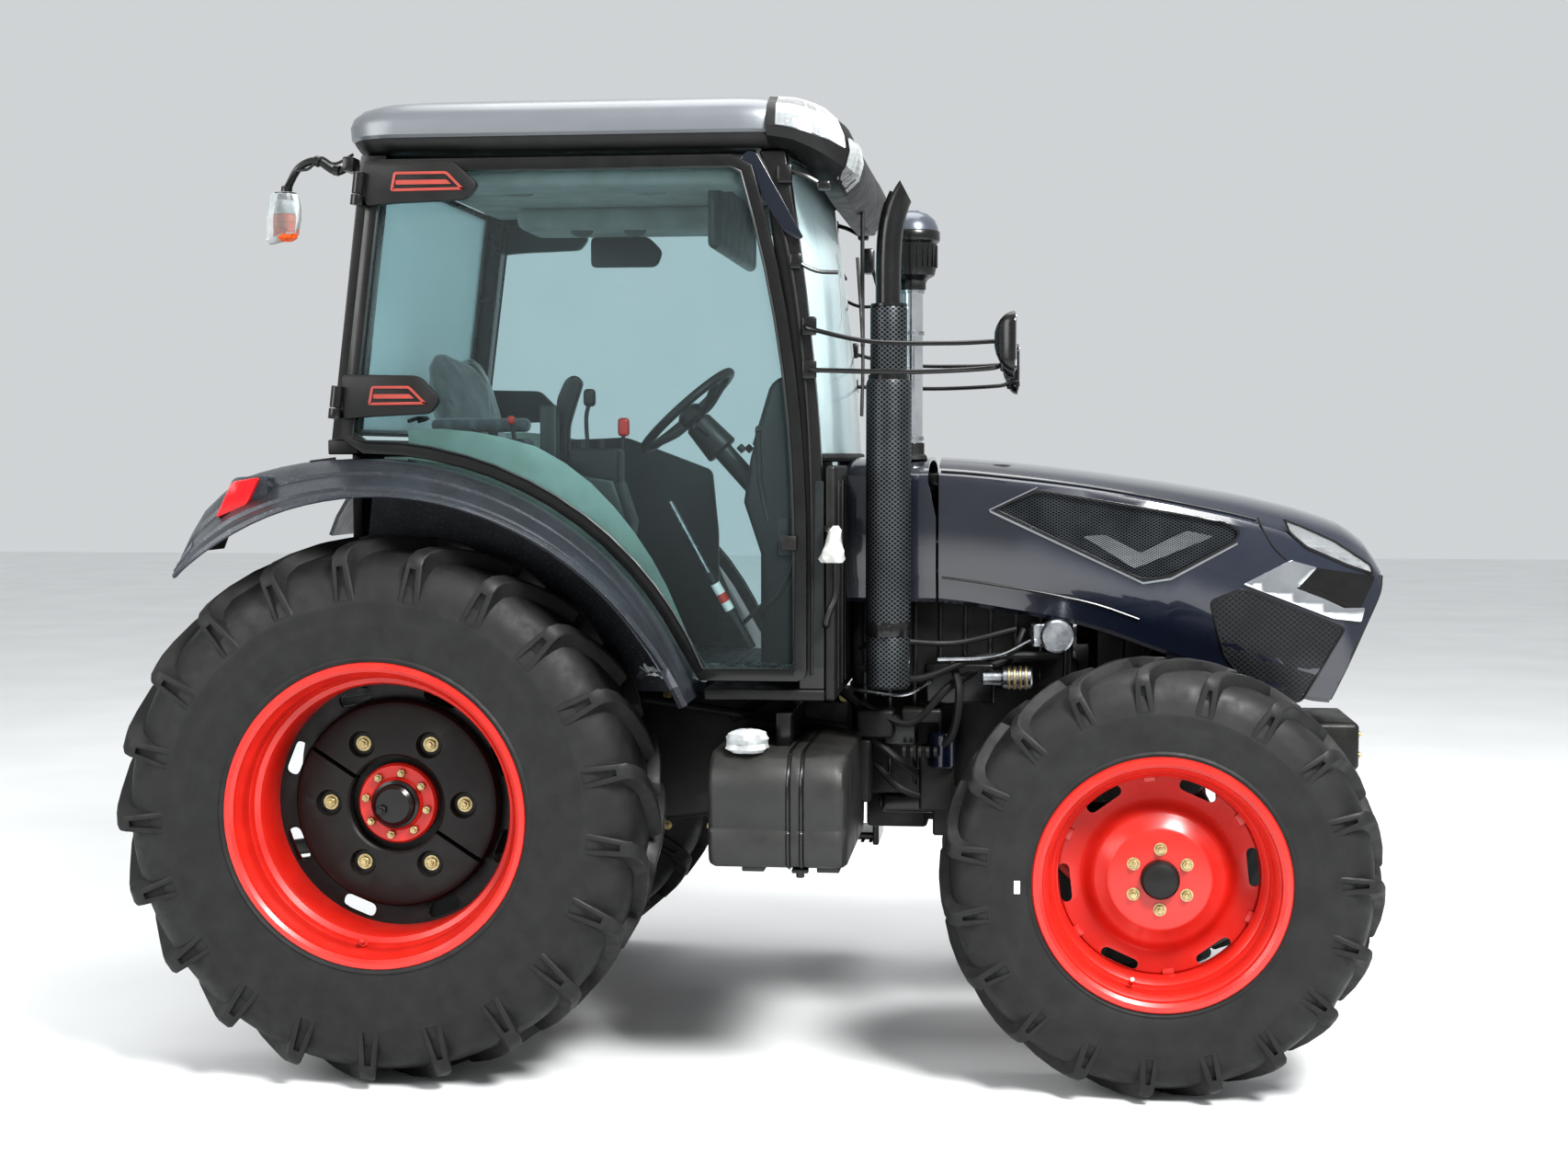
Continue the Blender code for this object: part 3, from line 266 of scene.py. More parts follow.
def select_faces(piece: Piece, test: Callable[[bmesh.types.BMFace], bool]) -> None:
    """Enters edit mode with the faces that pass a test selected."""
    take(piece)
    bpy.ops.object.mode_set(mode="EDIT")
    bpy.ops.mesh.select_mode(type="FACE")
    mesh = bmesh.from_edit_mesh(piece.data)
    for element in (*mesh.edges, *mesh.verts):
        element.select = False
    for one in mesh.faces:
        one.select = test(one)
    mesh.select_flush_mode()
    bmesh.update_edit_mesh(piece.data)


def inset_and_sink(piece: Piece, test: Callable[[bmesh.types.BMFace], bool], rim: float,
        move: Point) -> Piece:
    """Insets the faces that pass a test, then pushes the inner ones along.

    Args:
        piece: The mesh to shape.
        test: Picks the faces.
        rim: Width left round them.
        move: How far the inner faces travel.

    Returns:
        The same piece.
    """
    select_faces(piece, test)
    bpy.ops.mesh.inset(thickness=rim, depth=0.0)
    bpy.ops.mesh.extrude_region_move(TRANSFORM_OT_translate={"value": move})
    bpy.ops.mesh.select_mode(type="VERT")
    bpy.ops.object.mode_set(mode="OBJECT")
    return piece


def plate(name: str, outline: Sequence[Point], through: Point, rounding: float = 0.0,
        segments: int = 2) -> Piece:
    """A flat outline, filled and drawn out to a thickness.

    Args:
        name: The piece's name.
        outline: The corners of one face.
        through: The move from that face to the other.
        rounding: Radius on its edges.
        segments: Facets in that rounding.

    Returns:
        The closed plate.
    """
    piece = draw_chains(name, [outline], closed=True)
    with editing(piece):
        bpy.ops.mesh.edge_face_add()
        bpy.ops.mesh.extrude_region_move(TRANSFORM_OT_translate={"value": through})
    close_up(piece)
    return soften(piece, rounding, segments) if rounding else piece


def lathe(name: str, profile: Sequence[tuple[float, float]], centre: Point, axis: Axis = Axis.Y,
        steps: int = 64, closed: bool = True) -> Piece:
    """Turns a profile of (radius, place along the axis) round an axis.

    Args:
        name: The piece's name.
        profile: The points, in order.
        centre: The middle it turns about.
        axis: The direction it turns about.
        steps: Facets round it.
        closed: Whether the profile's own ends meet.

    Returns:
        The turned piece.
    """
    start = Vector(centre)
    away = Axis.X.way if axis is Axis.Z else Axis.Z.way
    points = [tuple(start + away * r + axis.way * along) for r, along in profile]
    piece = draw_chains(name, [points], closed=closed)
    with editing(piece):
        bpy.ops.mesh.spin(steps=steps, angle=math.tau, center=centre, axis=axis.way, dupli=False)
    return close_up(piece)


def loft(name: str, rows: Sequence[Sequence[Point]], closed: bool = False,
        capped: bool = False) -> Piece:
    """Bridges rows of equal length into a skin.

    Args:
        name: The piece's name.
        rows: The lines of points, in order.
        closed: Whether each row is a ring.
        capped: Whether the first and last rings are filled.

    Returns:
        The skin.
    """
    count = len(rows[0])
    piece = draw_chains(name, rows, closed=closed)
    take(piece)
    bpy.ops.object.mode_set(mode="EDIT")
    for number in range(len(rows) - 1):
        select_points(piece, range(number * count, (number + 2) * count))
        bpy.ops.mesh.bridge_edge_loops()
    if capped:
        for number in (0, len(rows) - 1):
            select_points(piece, range(number * count, (number + 1) * count))
            bpy.ops.mesh.edge_face_add()
    bpy.ops.object.mode_set(mode="OBJECT")
    return close_up(piece)


def rounded_block(name: str, low: Point, high: Point, radius: float = 0.006,
        segments: int = 2) -> Piece:
    """A cube drawn to two corners, with rounded edges."""
    deselect_all()
    middle = (Vector(low) + Vector(high)) / 2
    bpy.ops.mesh.primitive_cube_add(size=1.0, location=middle, scale=Vector(high) - Vector(low))
    piece = bpy.context.object
    piece.name = name
    bpy.ops.object.transform_apply(location=True, rotation=True, scale=True)
    return soften(piece, radius, segments)


def rod(name: str, start: Point, end: Point, radius: float, sides: int = 24,
        end_radius: float | None = None, chamfer: float = 0.0015) -> Piece:
    """A round bar or cone between two points, its rims chamfered.

    Args:
        name: The piece's name.
        start: Middle of one end.
        end: Middle of the other end.
        radius: Radius at the start.
        sides: Facets round it.
        end_radius: Radius at the end, where it differs.
        chamfer: Width of the chamfers.

    Returns:
        The bar.
    """
    deselect_all()
    span = Vector(end) - Vector(start)
    bpy.ops.mesh.primitive_cone_add(vertices=sides, radius1=radius,
        radius2=radius if end_radius is None else end_radius, depth=span.length, location=(
        Vector(start) + Vector(end)) / 2, rotation=span.to_track_quat("Z", "Y").to_euler())
    piece = bpy.context.object
    piece.name = name
    bpy.ops.object.transform_apply(location=True, rotation=True, scale=True)
    return soften(piece, chamfer, 1, 50.0) if chamfer else piece


def smooth_line(points: Sequence[Point], between: int = 6) -> list[Point]:
    """A curve through the points, with extra ones between each pair."""
    line = [Vector(p) for p in points]
    ends = [line[0] * 2 - line[1], *line, line[-1] * 2 - line[-2]]
    out = []
    for a, b, c, d in zip(ends, ends[1:], ends[2:], ends[3:]):
        for step in range(between):
            t = step / between
            out.append(tuple(0.5 * (2 * b + (c - a) * t + (2 * a - 5 * b + 4 * c - d) * t * t + (
                3 * b - a - 3 * c + d) * t ** 3)))
    return [*out, tuple(line[-1])]


def pipe(name: str, points: Sequence[Point], radius: float, between: int = 6,
        rounds: int = 3) -> Piece:
    """A bent tube or hose with closed ends.

    Args:
        name: The piece's name.
        points: The line it follows.
        radius: Radius of the tube.
        between: Points added between two, 1 for straight runs.
        rounds: Fineness of the tube's round.

    Returns:
        The tube as a mesh.
    """
    line = smooth_line(points, between) if between > 1 else list(points)
    piece = draw_chains(name, [line])
    take(piece)
    bpy.ops.object.convert(target="CURVE")
    piece = bpy.context.object
    piece.data.bevel_depth = radius
    piece.data.bevel_resolution = rounds
    piece.data.use_fill_caps = True
    piece.data.twist_mode = "MINIMUM"
    bpy.ops.object.convert(target="MESH")
    return close_up(bpy.context.object)


def duplicate(piece: Piece, move: Matrix) -> Piece:
    """A moved copy with its own mesh, free of parent and marks, its faces turned outwards."""
    twin = piece.copy()
    twin.data = piece.data.copy()
    twin.parent = None
    for key in list(twin.keys()):
        del twin[key]
    twin.data.transform(move)
    if move.determinant() < 0:
        twin.data.flip_normals()
    bpy.context.scene.collection.objects.link(twin)
    return twin


def copies(piece: Piece, moves: Iterable[Matrix], keep: bool = True) -> Piece:
    """Copies a piece by each matrix, each with its own mesh, and joins them.

    Args:
        piece: The piece modelled once.
        moves: Where each copy goes from the first.
        keep: Whether the first stays among them.

    Returns:
        One piece with them all.
    """
    made = [duplicate(piece, move) for move in moves]
    name = piece.name
    if keep:
        made.insert(0, piece)
    else:
        bpy.data.objects.remove(piece)
    return join(name, made)


def turns(count: int, centre: Point, axis: Axis, first: float = 0.0) -> list[Matrix]:
    """The moves that set copies evenly round an axis, the first one included."""
    to, back = Matrix.Translation(centre), Matrix.Translation(-Vector(centre))
    return [to @ Matrix.Rotation(math.radians(first) + math.tau * n / count, 4,
        axis.way) @ back for n in range(count)]


MIRROR = Matrix.Diagonal((1.0, -1.0, 1.0, 1.0))


def mirrored(piece: Piece, name: str) -> Piece:
    """A copy of a right-hand piece for the left side."""
    twin = duplicate(piece, MIRROR)
    twin.name = name
    return twin


def cut(piece: Piece, tool: Piece) -> Piece:
    """Takes the tool's volume out of the piece, and removes the tool."""
    apply_modifier(piece, "BOOLEAN", operation="DIFFERENCE", solver="EXACT", object=tool)
    bpy.data.objects.remove(tool)
    return piece


def crumple(piece: Piece, depth: float, size: float, middle: float) -> None:
    """Wrinkles a film with a cloudy displacement.

    Args:
        piece: The film.
        depth: Height of the wrinkles.
        size: Distance from one to the next.
        middle: The shade of the clouds that stays in place.
    """
    texture = bpy.data.textures.new("wrinkles", "CLOUDS")
    texture.noise_scale = size
    texture.noise_type = "HARD_NOISE"
    apply_modifier(piece, "DISPLACE", texture=texture, strength=depth, mid_level=middle)


# ---------------------------------------------------------------- places in the frame

class Frame:
    """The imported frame, read in the tractor's own coordinates."""

    def __init__(self) -> None:
        """Loads the model and keeps its bounds."""
        self.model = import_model()
        self.cad_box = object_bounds()
        low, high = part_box("rear_tyre_right")
        self.origin = Vector(((low.x + high.x) / 2, 0.0, 0.0))

    def box(self, node: str) -> tuple[Vector, Vector]:
        """A CAD node's lowest and highest corners, from the rear axle."""
        low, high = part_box(node)
        return low - self.origin, high - self.origin

    def deliver(self, piece: Piece, body: str, finish: "Finish", slot: str,
            replaces: Sequence[str] = (), smooth: float = SMOOTH_ANGLE) -> Piece:
        """Finishes a piece: place, shading, material and body.

        Args:
            piece: The modelled piece.
            body: The CAD body it moves with.
            finish: What its surface is.
            slot: The record's material slot; not used.
            replaces: CAD nodes that it stands for.
            smooth: Edges flatter than this many degrees shade smooth.

        Returns:
            The same piece.
        """
        piece.data.transform(Matrix.Translation(self.origin))
        take(piece)
        bpy.ops.object.shade_smooth_by_angle(angle=math.radians(smooth))
        piece.data.materials.clear()
        piece.data.materials.append(finish.material())
        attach(piece, body)
        if replaces:
            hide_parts(*replaces)
        LOG.info("%s: %d faces on %s", piece.name, len(piece.data.polygons), body)
        return piece

    def both(self, piece: Piece, name: str, body: str, finish: "Finish", slot: str, node: str = "",
            smooth: float = SMOOTH_ANGLE) -> None:
        """Delivers a right-hand piece and its mirror image on the left.

        Args:
            piece: The right-hand piece.
            name: The pieces' name, with {} where the side's name goes.
            body: The body, with {} where it differs by side.
            finish: What the surface is.
            slot: The record's material slot.
            node: The CAD node it stands for, with {} for the side.
            smooth: Edges flatter than this many degrees shade smooth.
        """
        for side, shown in ((Side.LEFT, mirrored(piece, "twin")), (Side.RIGHT, piece)):
            shown.name = name.format(side.word)
            self.deliver(shown, body.format(side.word), finish, slot,
                [node.format(side.word)] if node else [], smooth)

    def softened(self, node: str, rounding: float = 0.003, segments: int = 2) -> Piece:
        """A copy of a CAD node's mesh, its faces merged and its edges rounded.

        Args:
            node: The CAD node.
            rounding: Radius on its edges.
            segments: Facets in the rounding.

        Returns:
            The new piece, in the tractor's coordinates.
        """
        twin = duplicate(self.model["nodes"][node], Matrix.Translation(-self.origin))
        twin.name = f"{node}_shown"
        with editing(twin):
            bpy.ops.mesh.remove_doubles(threshold=CAD_MERGE_DISTANCE)
            bpy.ops.mesh.dissolve_limited(angle_limit=math.radians(CAD_FLAT_ANGLE))
        return soften(twin, rounding, segments) if rounding else twin


# ---------------------------------------------------------------- finishes

def tone(colour: str, alpha: float = 1.0) -> tuple[float, float, float, float]:
    """An sRGB hex value as a linear colour."""
    parts = [int(colour[i:i + 2], 16) / 255 for i in (1, 3, 5)]
    line = [c / 12.92 if c <= 0.04045 else ((c + 0.055) / 1.055) ** 2.4 for c in parts]
    return (*line, alpha)


def per_metre(millimetres: float) -> float:
    """The texture scale whose features are that many millimetres across."""
    return 1000.0 / millimetres


def add_node(tree: Tree, kind: str, settings: dict | None = None,
        sockets: dict | None = None) -> bpy.types.Node:
    """Adds a node with its settings, values and links.

    Args:
        tree: The material's node tree.
        kind: The node's type name.
        settings: The node's own properties.
        sockets: Input name or number to a value, or to the output that feeds it.

    Returns:
        The node.
    """
    node = tree.nodes.new(kind)
    for key, value in (settings or {}).items():
        setattr(node, key, value)
    for key, value in (sockets or {}).items():
        if isinstance(value, Socket):
            tree.links.new(value, node.inputs[key])
        else:
            node.inputs[key].default_value = value
    return node


def noise(tree: Tree, place: Socket, size_mm: float, detail: float,
        **more: float) -> bpy.types.Node:
    """A cloudy noise whose features are that many millimetres across."""
    return add_node(tree, "ShaderNodeTexNoise",
        sockets={"Vector": place, "Scale": per_metre(size_mm), "Detail": detail, **more})


def blend(tree: Tree, share: Socket, first: object, second: object) -> bpy.types.Node:
    """Two colours mixed by a share; its third output holds the result."""
    return add_node(tree, "ShaderNodeMix", {"data_type": "RGBA"},
        {"Factor": share, 6: first, 7: second})


def maths(tree: Tree, operation: str, *values: object, **settings: object) -> bpy.types.Node:
    """One step of reckoning with values or sockets."""
    return add_node(tree, "ShaderNodeMath", {"operation": operation, **settings},
        dict(enumerate(values)))


def show(tree: Tree, shader: Socket) -> None:
    """Leads a shader to the material's surface."""
    add_node(tree, "ShaderNodeOutputMaterial", sockets={"Surface": shader})


@dataclass(frozen=True)
class Finish:
    """A solid surface: two tones in patches, a fine grain, and settled dust.

    The grain and patch sizes are in millimetres; dust is how much lies on faces that look up.
    """

    name: str
    colour: str
    shade: str
    roughness: float
    metallic: float = 0.0
    ior: float = 1.5
    coat: float = 0.0
    coat_roughness: float = 0.05
    patch_mm: float = 90.0
    grain_mm: float = 2.5
    grain_depth: float = 0.0002
    speckle: str = ""
    speckle_mm: float = 3.0
    dust: float = 0.0
    dust_colour: str = "#8d8576"

    def material(self) -> bpy.types.Material:
        """The material, made once and shared."""
        found = bpy.data.materials.get(self.name)
        if found:
            return found
        made = bpy.data.materials.new(self.name)
        made.use_nodes = True
        made.node_tree.nodes.clear()
        self.build(made.node_tree)
        made.diffuse_color = tone(self.colour)
        return made

    def build(self, tree: Tree) -> None:
        """Draws the nodes.

        Args:
            tree: The empty node tree.
        """
        place = add_node(tree, "ShaderNodeTexCoord").outputs["Object"]
        colour = self.tones(tree, place)
        rough = self.wear(tree, place)
        if self.dust:
            colour, rough = self.dusted(tree, place, colour, rough)
        bump = self.relief(tree, place)
        shader = add_node(tree, "ShaderNodeBsdfPrincipled", sockets={"Base Color": colour,
            "Roughness": rough, "Normal": bump, "Metallic": self.metallic, "Coat Weight": self.coat,
            "Coat Roughness": self.coat_roughness, **({} if self.metallic else {"IOR": self.ior})})
        show(tree, shader.outputs["BSDF"])

    def tones(self, tree: Tree, place: Socket) -> Socket:
        """The two tones in soft patches, with a speckle where the finish has one."""
        patch = noise(tree, place, self.patch_mm, 3.0)
        mixed = add_node(tree, "ShaderNodeValToRGB", sockets={"Fac": patch.outputs["Fac"]})
        mixed.color_ramp.elements[0].position = 0.35
        mixed.color_ramp.elements[0].color = tone(self.colour)
        mixed.color_ramp.elements[1].position = 0.7
        mixed.color_ramp.elements[1].color = tone(self.shade)
        if not self.speckle:
            return mixed.outputs["Color"]
        dots = noise(tree, place, self.speckle_mm, 2.0)
        sharp = add_node(tree, "ShaderNodeMapRange", sockets={"Value": dots.outputs["Fac"],
            "From Min": 0.62, "From Max": 0.7, "To Max": 0.7})
        both = blend(tree, sharp.outputs["Result"], mixed.outputs["Color"], tone(self.speckle))
        return both.outputs[2]

    def wear(self, tree: Tree, place: Socket) -> Socket:
        """Roughness that drifts a little, as handled and rained-on paint does."""
        drift = noise(tree, place, self.patch_mm * 0.6, 4.0)
        spread = add_node(tree, "ShaderNodeMapRange",
            sockets={"Value": drift.outputs["Fac"], "From Min": 0.3, "From Max": 0.7,
            "To Min": self.roughness * 0.85, "To Max": min(self.roughness * 1.2, 1.0)})
        return spread.outputs["Result"]

    def dusted(self, tree: Tree, place: Socket, colour: Socket, rough: Socket) -> tuple[Socket,
            Socket]:
        """Lays a thin dust, most on the faces that look up.

        Args:
            tree: The node tree.
            place: The object's coordinates.
            colour: The clean colour.
            rough: The clean roughness.

        Returns:
            The dusted colour and roughness.
        """
        facing = add_node(tree, "ShaderNodeSeparateXYZ",
            sockets={"Vector": add_node(tree, "ShaderNodeNewGeometry").outputs["Normal"]})
        up = add_node(tree, "ShaderNodeMapRange", sockets={"Value": facing.outputs["Z"],
            "From Min": -0.4, "From Max": 1.0, "To Min": 0.25 * self.dust, "To Max": self.dust})
        cloud = noise(tree, place, 55.0, 6.0, Roughness=0.65)
        share = maths(tree, "MULTIPLY", up.outputs["Result"], cloud.outputs["Fac"])
        tinted = blend(tree, share.outputs["Value"], colour, tone(self.dust_colour))
        dull = add_node(tree, "ShaderNodeMix", {"data_type": "FLOAT"},
            {"Factor": share.outputs["Value"], 2: rough, 3: 0.9})
        return tinted.outputs[2], dull.outputs[0]

    def relief(self, tree: Tree, place: Socket) -> Socket:
        """The fine grain of the surface as a bump."""
        grain = noise(tree, place, self.grain_mm, 3.0)
        bump = add_node(tree, "ShaderNodeBump",
            sockets={"Height": grain.outputs["Fac"], "Distance": self.grain_depth, "Strength": 0.6})
        return bump.outputs["Normal"]


@dataclass(frozen=True)
class DiamondMesh(Finish):
    """Expanded-metal mesh: dark rhombic holes between bright strands, drawn across and up z."""

    hole: str = "#050607"
    across: str = "X"
    step_mm: float = 15.0
    strand: float = 0.3
    stretch: float = 1.9

    def cells(self, tree: Tree, place: Socket) -> Socket:
        """How near a point is to a strand, 1 on it and 0 in the hole.

        Args:
            tree: The node tree.
            place: The object's coordinates.

        Returns:
            The mask.
        """
        parts = add_node(tree, "ShaderNodeSeparateXYZ", sockets={"Vector": place})
        across = maths(tree, "MULTIPLY", parts.outputs[self.across], per_metre(self.step_mm))
        tall = maths(tree, "MULTIPLY", parts.outputs["Z"], per_metre(self.step_mm / self.stretch))
        near = []
        for sign in ("ADD", "SUBTRACT"):
            line = maths(tree, sign, across.outputs["Value"], tall.outputs["Value"])
            wave = maths(tree, "PINGPONG", line.outputs["Value"], 0.5)
            near.append(maths(tree, "LESS_THAN", wave.outputs["Value"], self.strand / 2))
        return maths(tree, "MAXIMUM", near[0].outputs["Value"],
            near[1].outputs["Value"]).outputs["Value"]

    def build(self, tree: Tree) -> None:
        """Draws the strands over a dark ground, raised a little."""
        place = add_node(tree, "ShaderNodeTexCoord").outputs["Object"]
        mask = self.cells(tree, place)
        metal = self.tones(tree, place)
        colour = blend(tree, mask, tone(self.hole), metal).outputs[2]
        bump = add_node(tree, "ShaderNodeBump",
            sockets={"Height": mask, "Distance": 0.002, "Strength": 0.8})
        shader = add_node(tree, "ShaderNodeBsdfPrincipled",
            sockets={"Base Color": colour, "Roughness": self.roughness, "Metallic": self.metallic,
            "Normal": bump.outputs["Normal"]})
        show(tree, shader.outputs["BSDF"])


@dataclass(frozen=True)
class WovenCloth(Finish):
    """Seat cloth: a plain weave of crossing threads with a soft sheen."""

    thread_mm: float = 6.0

    def build(self, tree: Tree) -> None:
        """Draws the crossing threads as colour and relief."""
        place = add_node(tree, "ShaderNodeTexCoord").outputs["Object"]
        waves = [add_node(tree, "ShaderNodeTexWave", {"wave_type": "BANDS", "bands_direction": way},
            {"Vector": place, "Scale": per_metre(self.thread_mm) / 20,
            "Distortion": 0.4}) for way in ("X", "DIAGONAL")]
        weave = maths(tree, "MULTIPLY", waves[0].outputs["Fac"], waves[1].outputs["Fac"])
        colour = blend(tree, weave.outputs["Value"], tone(self.colour), tone(self.shade))
        bump = add_node(tree, "ShaderNodeBump",
            sockets={"Height": weave.outputs["Value"], "Distance": 0.0008})
        shader = add_node(tree, "ShaderNodeBsdfPrincipled",
            sockets={"Base Color": colour.outputs[2], "Roughness": self.roughness,
            "Sheen Weight": 0.4, "Sheen Roughness": 0.5, "Normal": bump.outputs["Normal"]})
        show(tree, shader.outputs["BSDF"])


@dataclass(frozen=True)
class ClearPane(Finish):
    """Glass, film or lens plastic: light passes, tinted, with faint rain marks."""

    passes: float = 0.92
    veil: float = 0.0
    fluted_mm: float = 0.0

    def build(self, tree: Tree) -> None:
        """Draws a see-through tint under a gloss, rippled where the lens is fluted."""
        place = add_node(tree, "ShaderNodeTexCoord").outputs["Object"]
        smear = noise(tree, place, self.patch_mm, 5.0)
        rough = add_node(tree, "ShaderNodeMapRange",
            sockets={"Value": smear.outputs["Fac"], "From Min": 0.3, "From Max": 0.8,
            "To Min": self.roughness, "To Max": self.roughness * 2.2})
        tint = blend(tree, smear.outputs["Fac"], tone(self.colour), tone(self.shade))
        relief = self.relief(tree, place)
        if self.fluted_mm:
            flutes = add_node(tree, "ShaderNodeTexVoronoi", {"feature": "F1"},
                {"Vector": place, "Scale": per_metre(self.fluted_mm), "Randomness": 0.0})
            relief = add_node(tree, "ShaderNodeBump",
                sockets={"Height": flutes.outputs["Distance"], "Distance": 0.004}).outputs["Normal"]
        body = add_node(tree, "ShaderNodeBsdfPrincipled", sockets={"Base Color": tint.outputs[2],
            "Roughness": rough.outputs["Result"], "IOR": self.ior, "Normal": relief})
        through = add_node(tree, "ShaderNodeBsdfTransparent", sockets={"Color": tint.outputs[2]})
        amount = maths(tree, "MULTIPLY_ADD", smear.outputs["Fac"], -self.veil, self.passes)
        gloss = add_node(tree, "ShaderNodeFresnel", sockets={"IOR": self.ior})
        clear = maths(tree, "SUBTRACT", amount.outputs["Value"], gloss.outputs["Fac"],
            use_clamp=True)
        both = add_node(tree, "ShaderNodeMixShader", sockets={"Fac": clear.outputs["Value"],
            1: body.outputs["BSDF"], 2: through.outputs["BSDF"]})
        show(tree, both.outputs["Shader"])


# Gloss enamel over primer: near black with a blue cast, mirror-like under a clear coat.
NAVY = Finish("navy_gloss_enamel", "#0a0f1c", "#10182a", 0.24, coat=1.0, coat_roughness=0.04,
    patch_mm=400, grain_mm=12, grain_depth=0.00006, dust=0.04)
# Wheel enamel: flat bright red, half gloss.
RED = Finish("red_wheel_enamel", "#bd2014", "#ae1b11", 0.34, coat=0.35, coat_roughness=0.2,
    grain_mm=5, grain_depth=0.00012, dust=0.05)
# Cured tyre rubber: charcoal, dull, a grey bloom where it faces up.
RUBBER = Finish("moulded_tyre_rubber", "#101011", "#191a1a", 0.55, ior=1.42, patch_mm=60,
    grain_mm=4, grain_depth=0.0004, dust=0.12, dust_colour="#5c5953")
# Sand-cast iron under black paint: half gloss, fine cast grain.
CASTING = Finish("black_painted_casting", "#08090a", "#0f1011", 0.42, ior=1.4, patch_mm=70,
    grain_mm=3, grain_depth=0.0005, dust=0.08)
# Smooth black paint on pressed steel frames.
BLACK = Finish("black_frame_enamel", "#060708", "#0b0c0e", 0.28, ior=1.4, coat=0.3,
    coat_roughness=0.15, grain_mm=8, grain_depth=0.0001, dust=0.05)
# Moulded ABS with a fine leather grain, satin black.
PLASTIC = Finish("satin_black_plastic", "#0a0b0c", "#101214", 0.42, ior=1.4, grain_mm=2,
    grain_depth=0.0003, dust=0.08)
# Metallic grey paint on the wheel-arch panels, with a fine flake.
ARCH_GREY = Finish("grey_metallic_paint", "#262a31", "#31363e", 0.36, metallic=0.35, coat=0.3,
    coat_roughness=0.25, grain_mm=3, grain_depth=0.0002, speckle="#6d7278", speckle_mm=4, dust=0.08)
# The lighter metallic band along the arch's edge: a painted highlight where the flare's ridge
# catches the light. The same finish is the pre-cleaner dome's own grey.
ARCH_HIGHLIGHT_AND_DOME_GREY = Finish("light_metallic_band", "#4c5159", "#5c6169", 0.32, metallic=0.5, coat=0.3,
    grain_mm=3, grain_depth=0.0001)
# Silver paint on the roof's plastic cap.
SILVER = Finish("silver_roof_paint", "#6a6e72", "#707478", 0.36, metallic=0.35, coat=0.4,
    coat_roughness=0.2, patch_mm=300, grain_mm=6, grain_depth=0.0001, dust=0.06)
# Rotomoulded polyethylene: dark grey, waxy, slightly pebbled.
TANK_GREY = Finish("moulded_polyethylene", "#17191a", "#1f2122", 0.45, grain_mm=3,
    grain_depth=0.0006, dust=0.12)
# Bare drawn steel, bright.
STEEL = Finish("drawn_steel", "#b9bcbf", "#8f9296", 0.26, metallic=1.0, patch_mm=30, grain_mm=6,
    grain_depth=0.0001)
# Zinc-plated bolts with a yellow cast.
ZINC = Finish("yellow_zinc_plate", "#c9b98f", "#9c8c66", 0.38, metallic=1.0, patch_mm=12)
# Chrome on ABS trims.
CHROME = Finish("chromed_trim", "#d8dadd", "#c3c6ca", 0.08, metallic=1.0, patch_mm=80)
# Silvered lamp bowls, painted darker than the trims as shade because they look inward.
SHADED_LAMP_BOWL = Finish("lamp_bowl_silvering", "#5d6266", "#80858a", 0.3, metallic=0.9, patch_mm=25,
    grain_mm=14, grain_depth=0.002)
# Interior trim panels, pale grey-green vinyl.
TRIM_GREEN = Finish("grey_green_vinyl", "#93a9a1", "#84998f", 0.6, grain_mm=2, grain_depth=0.0001)
# Dark teal moulded consoles.
CONSOLE = Finish("dark_teal_console", "#131b1b", "#0e1515", 0.45, grain_mm=5, grain_depth=0.00003)
# Grey felt headliner.
HEADLINER = Finish("grey_felt_headliner", "#8d9290", "#7d8280", 0.92, grain_mm=1.5,
    grain_depth=0.0004)
# Stamped red plastic accents round the hinges and levers.
ACCENT = Finish("salmon_red_plastic", "#963f36", "#85352d", 0.4, grain_mm=4)
# Dark-blue gloss plastic.
BLUE = Finish("dark_blue_gloss", "#080f1e", "#060c18", 0.16, coat=0.6, grain_mm=8)
# White polythene wrapping, crumpled.
WRAP = Finish("white_polythene_wrap", "#b4b5b2", "#a0a19d", 0.38, patch_mm=14, grain_mm=9,
    grain_depth=0.003)
# White plastic and enamel.
WHITE = Finish("white_enamel", "#dddedb", "#cfd0cd", 0.35, grain_mm=6)
CLOTH = WovenCloth("woven_seat_cloth", "#2e3236", "#454b50", 0.85)
SIDE_MESH = DiamondMesh("expanded_metal_mesh", "#3d4145", "#55585c", 0.35, metallic=0.8)
BRIGHT_MESH = DiamondMesh("bright_mesh_strip", "#a8abad", "#8f9294", 0.3, metallic=0.9,
    hole="#3a3c3e", step_mm=11.0)
GUARD_MESH = DiamondMesh("perforated_heat_guard", "#44484b", "#53575a", 0.42, metallic=0.6,
    stretch=1.2)
GRILLE_MESH = DiamondMesh("honeycomb_grille", "#1c1f22", "#2a2d30", 0.4, metallic=0.2, step_mm=18.0,
    stretch=1.2)
FRONT_MESH = DiamondMesh("front_grille_mesh", "#1a1c1f", "#26292c", 0.4, metallic=0.2, step_mm=18.0,
    stretch=1.2, across="Y")
GLASS = ClearPane("green_tinted_glass", "#f0f8f9", "#ecf6f7", 0.02, ior=1.22, patch_mm=260,
    passes=0.995, grain_mm=60, grain_depth=0.00002)
FILM = ClearPane("clear_polythene_film", "#f2f4f4", "#dfe3e4", 0.12, patch_mm=22, passes=0.97,
    veil=0.06, grain_mm=18, grain_depth=0.003)
LAMP_LENS = ClearPane("clear_lamp_lens", "#f4f6f6", "#e6e9ea", 0.04, passes=0.85, fluted_mm=16)
RED_LENS = ClearPane("red_lamp_lens", "#d8232a", "#b5161d", 0.12, passes=0.2)
